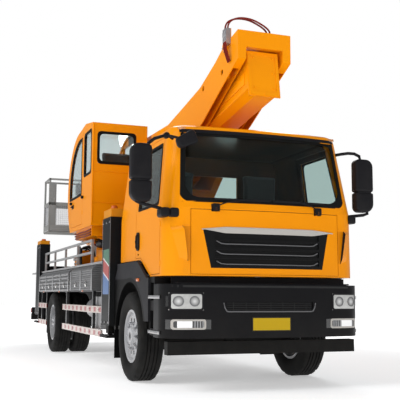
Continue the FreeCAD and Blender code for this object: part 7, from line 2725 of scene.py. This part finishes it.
@dataclass
class Cushion:
    """A stuffed block, blown up as cloth and held near its own space."""

    low: Point
    high: Point
    shrink: float = 0.014
    cap: float = 0.022
    voxel: float = 0.014
    frames: int = 12
    pressure: float = 4.0
    groove: float = 0.007
    groove_wide: float = 0.010

    def blown(self, name: str) -> bpy.types.Mesh:
        """The swollen mesh, before its seams.

        Args:
            name: the cushion's name.

        Returns:
            The mesh.
        """
        shape = Shape()
        inset = Vector((self.shrink,) * 3)
        shape.block(Vector(self.low) + inset, Vector(self.high) - inset, 0.035, 4)
        mesh = bpy.data.meshes.new(name + " start")
        shape.mesh.to_mesh(mesh)
        shape.mesh.free()
        thing = placed(name + " start", mesh)
        scene = bpy.context.scene
        remesh = thing.modifiers.new("even", "REMESH")
        remesh.mode = "VOXEL"
        remesh.voxel_size = self.voxel
        even = baked(thing)
        thing.modifiers.clear()
        thing.data = even
        start = [vert.co.copy() for vert in even.vertices]
        cloth = thing.modifiers.new("stuffing", "CLOTH")
        cloth.settings.quality = 4
        cloth.settings.use_pressure = True
        cloth.settings.uniform_pressure_force = self.pressure
        cloth.settings.effector_weights.gravity = 0.0
        for frame in range(1, self.frames + 1):
            scene.frame_set(frame)
        swollen = baked(thing)
        thing.modifiers.clear()
        scene.frame_set(1)
        for vert, first in zip(swollen.vertices, start):
            step = vert.co - first
            if step.length > self.cap:
                vert.co = first + step.normalized() * self.cap
        thing.data = swollen
        smooth = thing.modifiers.new("fine", "SUBSURF")
        smooth.levels = 1
        smooth.render_levels = 1
        final = baked(thing)
        bpy.data.objects.remove(thing)
        return final

    def build(self, name: str, body: str, seams: Sequence[float], level: Axis, way: float,
              fill: float = 0.6) -> bpy.types.Object:
        """Makes the cushion and presses its sewn channels in.

        Args:
            name: the piece's name.
            body: the body it rides on.
            seams: the channels' distances from the cushion's middle, across the machine.
            level: the axis that the used face looks along.
            way: 1 or -1, the side of that face.
            fill: not used.

        Returns:
            The cushion.
        """
        mesh = self.blown(name)
        middle = (Vector(self.low) + Vector(self.high)) / 2
        depth = level.value
        reach = (Vector(self.high) - Vector(self.low))[depth] / 2
        for vert in mesh.vertices:
            above = (vert.co[depth] - middle[depth]) * way / reach
            if above < 0.2:
                continue
            pull = sum(math.exp(-((vert.co.y - middle.y - seam) / self.groove_wide) ** 2)
                       for seam in seams)
            vert.co[depth] -= way * self.groove * min(pull, 1.0) * min(1.0, above)
        for vert in mesh.vertices:
            for index in range(3):
                vert.co[index] = min(max(vert.co[index], self.low[index]), self.high[index])
        mesh.shade_smooth()
        thing = placed(name, mesh)
        mesh.materials.append(SEAT_CLOTH.material())
        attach(thing, body)
        return thing


@dataclass
class CabInterior:
    """Seats, dashboard and steering wheel of the driver's cab."""

    seat_x: float = 3.900
    seat_y: float = 0.560
    wide: float = 0.500
    long: float = 0.520
    base: float = 1.750
    thick: float = 0.130
    back_high: float = 0.640
    back_thick: float = 0.120
    floor: float = 1.221
    dash_outline: Outline = ((4.620, 1.650), (4.560, 1.770), (4.620, 1.900), (4.850, 1.880),
                             (4.850, 1.650))
    dash_half: float = 0.955
    vents_y: tuple[float, ...] = (-0.78, -0.30, -0.05, 0.24, 0.86)
    wheel_x: float = 4.490
    wheel_z: float = 1.990
    wheel_radius: float = 0.225
    wheel_rim: float = 0.0158

    def seats(self) -> None:
        """Two sprung seats with padded cushions and backrests."""
        frames = Shape()
        for side in Side:
            middle = side.value * self.seat_y
            for step in range(5):
                low = self.floor + 0.02 + step * 0.09
                frames.block((self.seat_x - 0.165 + 0.01 * (step % 2), middle - 0.165, low),
                             (self.seat_x + 0.165 - 0.01 * (step % 2), middle + 0.165,
                              low + 0.085), 0.02, 3)
            frames.block((self.seat_x - 0.18, middle - 0.18, self.floor),
                         (self.seat_x + 0.18, middle + 0.18, self.floor + 0.025), 0.006)
            frames.block((self.seat_x - 0.24, middle - 0.22, self.base - 0.055),
                         (self.seat_x + 0.24, middle + 0.22, self.base), 0.014, 3)
        frames.piece("seat_frames", "chassis", TRIM, ("cab_interior",))
        front = self.seat_x + self.long / 2
        rear = self.seat_x - self.long / 2
        for side in Side:
            middle = side.value * self.seat_y
            low = (rear, middle - self.wide / 2, self.base)
            high = (front, middle + self.wide / 2, self.base + self.thick)
            Cushion(low, high).build("seat_cushion_" + side.word, "chassis",
                                     (-0.15, -0.05, 0.05, 0.15), Axis.Z, 1.0)
            low = (rear - self.back_thick, middle - self.wide / 2, self.base)
            high = (rear, middle + self.wide / 2, self.base + self.thick + self.back_high)
            Cushion(low, high).build("seat_back_" + side.word, "chassis",
                                     (-0.16, 0.16), Axis.X, 1.0)

    def dashboard(self) -> None:
        """A moulded dashboard with a hood, vents and the steering column."""
        shape = Shape()
        outline = rounded_loop(self.dash_outline, (0.02, 0.03, 0.035, 0.01, 0.01))
        shape.slab(outline, Axis.Y, -self.dash_half, self.dash_half, 0.008, 3)
        shape.block((4.785, -0.295, self.floor), (4.848, 0.295, 1.66), 0.01)
        pillow(shape, rounded_loop([(0.36, 1.84), (0.76, 1.84), (0.74, 1.94), (0.38, 1.94)],
                                   (0.03,) * 4), Axis.X, 4.62, 4.80, 0.02)
        for y in self.vents_y:
            shape.block((4.556, y - 0.06, 1.775), (4.580, y + 0.06, 1.825), 0.006)
        shape.block((4.450, 0.522, 1.772), (4.640, 0.598, 1.848), 0.014, 3)
        x = self.wheel_x
        shape.tube([(x, self.seat_y, 1.800), (x, self.seat_y, 1.975)], 0.029, 16)
        shape.piece("dashboard", "chassis", TRIM)
        wheel = Shape()
        parts = 40
        ring = [(x + self.wheel_radius * math.cos(2 * math.pi * step / parts),
                 self.seat_y + self.wheel_radius * math.sin(2 * math.pi * step / parts),
                 self.wheel_z) for step in range(parts)]
        wheel.tube(ring, self.wheel_rim, 10, True)
        wheel.tube([(x, 0.340, self.wheel_z), (x, 0.500, 1.984), (x, 0.620, 1.984),
                    (x, 0.780, self.wheel_z)], 0.012, 10)
        pillow(wheel, rounded_box((4.43, 0.50), (4.55, 0.62), 0.04), Axis.Z, 1.974, 2.004, 0.012)
        wheel.piece("steering_wheel", "chassis", BLACK_PLASTIC)

    def build(self) -> None:
        """Builds the interior."""
        self.seats()
        self.dashboard()


@dataclass
class BoothInterior:
    """The operator's seat with its arm consoles."""

    middle: float = -0.7925
    floor: float = 2.0115
    seat_low: float = 2.3415
    console_off: float = 0.305
    console_half: float = 0.054
    console: Outline = ((0.760, 2.25), (0.800, 2.0115), (1.300, 2.0115), (1.300, 2.500),
                        (0.760, 2.571))
    lever_x: float = 0.85

    def build(self) -> None:
        """Builds the base, consoles, levers, cushion and backrest."""
        shape = Shape()
        mid = self.middle
        for step in range(3):
            low = self.floor + 0.03 + step * 0.1
            shape.block((1.01 + 0.01 * (step % 2), mid - 0.16, low),
                        (1.39 - 0.01 * (step % 2), mid + 0.16, low + 0.095), 0.02, 3)
        shape.block((1.0, mid - 0.17, self.floor), (1.4, mid + 0.17, self.floor + 0.03), 0.006)
        outline = rounded_loop(self.console, (0.03, 0.01, 0.01, 0.04, 0.03))
        for spot in (-self.console_off, self.console_off):
            y = mid + spot
            shape.slab(outline, Axis.Y, y - self.console_half, y + self.console_half, 0.01, 3)
            shape.tube([(self.lever_x + 0.01, y, 2.52), (self.lever_x, y, 2.60)], 0.007)
            shape.disc((self.lever_x, y, 2.585), Axis.Z, 0.019, 0.055, 16, 0.008)
        shape.piece("operator_seat_base", "turret", TRIM, ("operator_seat",))
        Cushion((0.930, mid - 0.24, self.seat_low), (1.420, mid + 0.24, self.seat_low + 0.12)
                ).build("operator_cushion", "turret", (-0.13, 0.13), Axis.Z, 1.0)
        Cushion((1.422, mid - 0.24, self.seat_low), (1.540, mid + 0.24, self.seat_low + 0.75)
                ).build("operator_backrest", "turret", (-0.15, 0.15), Axis.X, -1.0)


@dataclass
class HeadHoses:
    """Two hoses that arch over the mast's head from the block on its cheek."""

    route: tuple[Point, ...] = (
        (4.735, -0.347, 3.955), (4.735, -0.347, 4.030), (4.770, -0.238, 4.088),
        (4.840, -0.105, 4.062), (4.893, 0.005, 3.990), (4.905, 0.080, 3.935),
        (4.862, 0.118, 3.900), (4.815, 0.075, 3.896), (4.798, -0.010, 3.915),
        (4.790, -0.060, 3.908), (4.790, -0.060, 3.868))
    shift: Point = (-0.052, -0.012, 0.006)
    radius: float = 0.010
    lengths: tuple[float, float] = (0.866, 0.877)

    def hose(self, name: str, points: Sequence[Point]) -> None:
        """Makes one hose and hides the frame's node it stands for.

        Args:
            name: which hose of the frame it stands for.
            points: its line's control points.
        """
        curve = bpy.data.curves.new("soft_" + name, "CURVE")
        curve.dimensions = "3D"
        curve.bevel_depth = self.radius
        curve.bevel_resolution = 4
        curve.resolution_u = 16
        curve.use_fill_caps = True
        spline = curve.splines.new("NURBS")
        spline.points.add(len(points) - 1)
        for target, point in zip(spline.points, points):
            target.co = (*point, 1.0)
        spline.order_u = 3
        spline.use_endpoint_u = True
        thing = placed("soft_" + name, curve)
        curve.materials.append(HOSE.material())
        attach(thing, "turret")
        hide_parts(name)

    def build(self) -> None:
        """Builds the front and the rear hose."""
        self.hose("head_hose_front", self.route)
        moved = [tuple(Vector(point) + Vector(self.shift)) for point in self.route]
        moved[0] = (moved[0][0], moved[0][1], self.route[0][2])
        moved[-1] = (moved[-1][0], moved[-1][1], self.route[-1][2])
        self.hose("head_hose_rear", moved)


@dataclass
class Plumbing:
    """Pipes, gussets and an accumulator under the cabin, and a valve chest on the deck."""

    gussets_x: tuple[float, ...] = (0.780, 1.120, 1.490)
    gusset: Outline = ((-0.620, 1.690), (-0.620, 1.822), (-1.060, 1.822), (-1.060, 1.800))
    gusset_half: float = 0.008
    vessel: Place = (1.300, -0.930, 1.745)
    vessel_profile: Outline = (
        (0.0005, -0.20), (0.035, -0.20), (0.062, -0.17), (0.068, -0.14),
        (0.068, 0.14), (0.062, 0.17), (0.030, 0.20), (0.0005, 0.20))
    motor: Place = (0.640, -0.960, 1.880)
    motor_profile: Outline = (
        (0.0005, -0.09), (0.05, -0.09), (0.055, -0.07), (0.055, 0.05), (0.04, 0.07),
        (0.04, 0.09), (0.0005, 0.09))
    vessel_hoops_x: tuple[float, float] = (1.17, 1.43)
    drive: Place = (0.760, -0.800, 0.0)
    drive_profile: Outline = (
        (0.0005, 1.475), (0.125, 1.475), (0.125, 1.560), (0.095, 1.575), (0.095, 1.700),
        (0.080, 1.720), (0.045, 1.722), (0.045, 1.785), (0.0005, 1.785))
    cover: Outline = ((0.930, -0.600), (1.480, -0.600), (1.440, -0.930), (0.960, -0.930))
    cover_low: float = 1.475
    cover_high: float = 1.650
    wall_y: float = -1.172
    hoop: float = 0.008
    pipe: float = 0.011
    bundle: float = 0.012
    loose: float = 0.013
    deck_top: float = 1.432
    chest_face: float = -1.020

    def gussets(self) -> None:
        """Triangular plates that carry the cabin's floor frame."""
        shape = Shape()
        for x in self.gussets_x:
            shape.slab(self.gusset, Axis.X, x - self.gusset_half, x + self.gusset_half, 0.001)
        shape.piece("floor_gussets", "turret", AMBER)

    def vessels(self) -> None:
        """An accumulator, a motor and their unions."""
        shape = Shape()
        shape.lathe(self.vessel_profile, self.vessel, Axis.X, 28)
        shape.lathe(self.motor_profile, self.motor, Axis.Y, 24)
        for x in self.vessel_hoops_x:
            shape.tube([(x, -0.86, 1.745), (x, -0.86, 1.80), (x, -0.93, 1.822), (x, -1.0, 1.80),
                        (x, -1.0, 1.745)], self.hoop)
        shape.piece("hydraulic_vessels", "turret", BLACK_PLASTIC)

    def pipes(self) -> None:
        """Hose bundles along the floor frame and round the turret's foot."""
        shape = Shape()
        for index in range(3):
            y = self.wall_y
            z = 1.842 + 0.038 * index
            shape.tube([(1.58, y, z), (1.2, y - 0.006, z - 0.012), (0.9, y, z),
                        (0.6, y - 0.004, z - 0.010), (0.50 - 0.03 * index, y, z + 0.004),
                        (0.44 - 0.03 * index, y + 0.05, z + 0.03),
                        (0.42 - 0.02 * index, y + 0.16, 1.945)], self.pipe)
        for index in range(6):
            x = 0.72 + 0.13 * index
            shape.tube([(x, -0.76, 1.82), (x + 0.01, -0.80, 1.76), (x + 0.03, -0.86, 1.715),
                        (x + 0.05, -0.92, 1.745), (x + 0.05, -0.94, 1.82)], self.bundle)
        shape.piece("turret_pipes", "turret", HOSE)

    def covers(self) -> None:
        """The slewing drive, its cover and the hoses that hang at the cabin's rear corner."""
        shape = Shape()
        shape.slab(rounded_loop(self.cover, (0.02, 0.02, 0.05, 0.05)), Axis.Z, self.cover_low,
                   self.cover_high, 0.012, 3)
        shape.lathe(self.drive_profile, self.drive, Axis.Z, 28)
        shape.piece("slewing_drive", "turret", AMBER)
        hoses = Shape()
        bright = Shape()
        for index in range(8):
            y = -1.120 + 0.062 * index
            back = 0.30 - 0.055 * ((index * 3) % 5)
            low = 1.838 + 0.012 * (index % 3)
            target = bright if index % 3 == 1 else hoses
            target.tube([(0.560, y, 1.900), (0.470, y, 1.925), (0.400, y - 0.01, 1.900),
                         (back + 0.03, y, low + 0.03), (back, y + 0.03, low + 0.015),
                         (back + 0.06, y + 0.07, low), (0.40, y + 0.09, low + 0.005),
                         (0.520, y + 0.10, 1.860)], self.loose)
        bright.piece("hanging_pipes", "turret", HOSE)
        hoses.piece("hanging_hoses", "turret", BLACK_PLASTIC)

    def strap(self) -> None:
        """The black hose guide between the front and the rear lockers."""
        shape = Shape()
        for side in (-1, 1):
            near, far = sorted((side * 1.1505, side * 1.1640))
            shape.block((-0.330, near, 1.020), (0.100, far, 1.405), 0.008, 3)
            for x in spaced(-0.25, 0.02, 3):
                shape.tube([(x, side * 1.166, 1.39), (x, side * 1.170, 1.25),
                            (x + 0.02, side * 1.166, 1.04)], self.bundle)
        shape.piece("hose_guides", "chassis", BLACK_PLASTIC)

    def chest(self) -> None:
        """The deck's valve chest with its spool caps and pipes."""
        shape = Shape()
        shape.block((-0.30, self.chest_face, self.deck_top), (0.28, -0.82, 1.640), 0.012, 3)
        shape.block((-0.26, -0.98, 1.640), (0.10, -0.86, 1.700), 0.010, 3)
        shape.piece("valve_chest", "chassis", AMBER)
        caps = Shape()
        for x in spaced(-0.24, 0.22, 7):
            caps.disc((x, self.chest_face, 1.560), Axis.Y, 0.022, -0.030, 16, 0.004)
            caps.bolt((x, self.chest_face, 1.490), Axis.Y, 0.014, -0.018, 0.002)
        caps.piece("spool_caps", "chassis", STEEL)
        lines = Shape()
        for index, x in enumerate(spaced(-0.22, 0.20, 6)):
            lines.tube([(x, -0.93, 1.69), (x, -0.93, 1.740), (x + 0.04, -0.90, 1.768),
                        (x + 0.09, -0.84, 1.70 + 0.01 * (index % 2)), (x + 0.10, -0.80, 1.56),
                        (x + 0.10, -0.78, self.deck_top)], self.pipe)
        for index in range(6):
            x = 0.31 + 0.024 * index
            lines.tube([(x, -1.05, self.deck_top), (x + 0.01, -1.06, 1.58),
                        (x - 0.03, -1.05, 1.70), (x - 0.09, -1.04, 1.745 - 0.012 * index),
                        (x - 0.16, -1.03, 1.68), (x - 0.18, -1.03, 1.60)], self.pipe)
        lines.piece("chest_pipes", "chassis", BLACK_PLASTIC)

    def build(self) -> None:
        """Builds the plumbing."""
        self.gussets()
        self.vessels()
        self.pipes()
        self.covers()
        self.strap()
        self.chest()


# Finishes of the CAD nodes

@dataclass
class Dressing:
    """Gives every node of the frame its finish."""

    frame: dict
    finishes: tuple[tuple[str, Finish], ...] = (
        ("driver_cab", CAB_PAINT), ("driver_door", CAB_PAINT), ("driver_door_glass", CAB_GLASS),
        ("cab_glass", CAB_GLASS), ("front_flap", FLAP), ("cab_mirrors", BLACK_PLASTIC),
        ("cab_interior", GREY_PLASTIC), ("cab_steps", GUARD_BLACK), ("front_bumper", BUMPER),
        ("front_lamps", HEAD_LAMP), ("front_underrun", CHASSIS), ("mudguards", MUDGUARD),
        ("operator_cabin", BOOTH_PAINT), ("operator_cabin_glass", BOOTH_GLASS),
        ("operator_door", BOOTH_PAINT), ("operator_door_glass", BOOTH_GLASS),
        ("operator_seat", GREY_PLASTIC), ("turret_mast", MAST_PAINT), ("slew_table", AMBER),
        ("turret_hydraulics", AMBER), ("boom", AMBER), ("lift_cylinder_barrel", AMBER),
        ("lift_cylinder_rod", CHROME), ("basket", GREY_PAINT), ("basket_bracket", GREY_PAINT),
        ("outrigger_front", COLUMN_FRONT), ("outrigger_rear", COLUMN_REAR),
        ("jack_leg", CHASSIS), ("head_hose", HOSE), ("lockers", LOCKER_SHEET),
        ("deck", FLOOR_PLATE), ("side_guards", BANDS), ("rear_underrun", GUARD_BLACK),
        ("front_wheel", WHEEL), ("rear_wheels", WHEEL), ("front_tyre", TYRE),
        ("rear_tyres", TYRE), ("fuel_and_air_tanks", ALUMINIUM), ("frame_rails", CHASSIS),
        ("sub_frame", CHASSIS), ("front_axle", CHASSIS), ("rear_axle", CHASSIS),
        ("steering_knuckle", CHASSIS), ("engine_and_shaft", CHASSIS))

    def finish_of(self, node: str) -> Finish:
        """The finish whose key is the longest start of the node's name.

        Args:
            node: the node's name.

        Returns:
            The finish.
        """
        matches = [(len(key), index) for index, (key, _) in enumerate(self.finishes)
                   if node.startswith(key)]
        if not matches:
            raise ValueError("no finish for " + node)
        return self.finishes[max(matches)[1]][1]

    def build(self) -> None:
        """Assigns the materials."""
        for name, thing in sorted(self.frame["nodes"].items()):
            thing.data.materials.clear()
            thing.data.materials.append(self.finish_of(name).material())
            thing.data.shade_smooth()
            thing.data.set_sharp_from_angle(angle=math.radians(28.0))
            LOG.info("%s dressed", name)


def corners(pair: tuple[Vector, Vector]) -> list[list[float]]:
    """Two corners as plain lists."""
    return [list(pair[0]), list(pair[1])]


def main() -> None:
    """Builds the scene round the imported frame."""
    logging.basicConfig(level=logging.INFO, format="%(name)s: %(message)s")
    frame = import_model()
    Studio().build()
    Dressing(frame).build()
    for assembly in (CabFace(), CabSides(), BumperTrim(), Wheels(), Booth(), Outriggers(),
                     WorkBasket(), BoomTrim(), DeckTrim(), Mirrors(), CabInterior(),
                     BoothInterior(), HeadHoses(), Plumbing()):
        assembly.build()


if __name__ == "__main__":
    main()
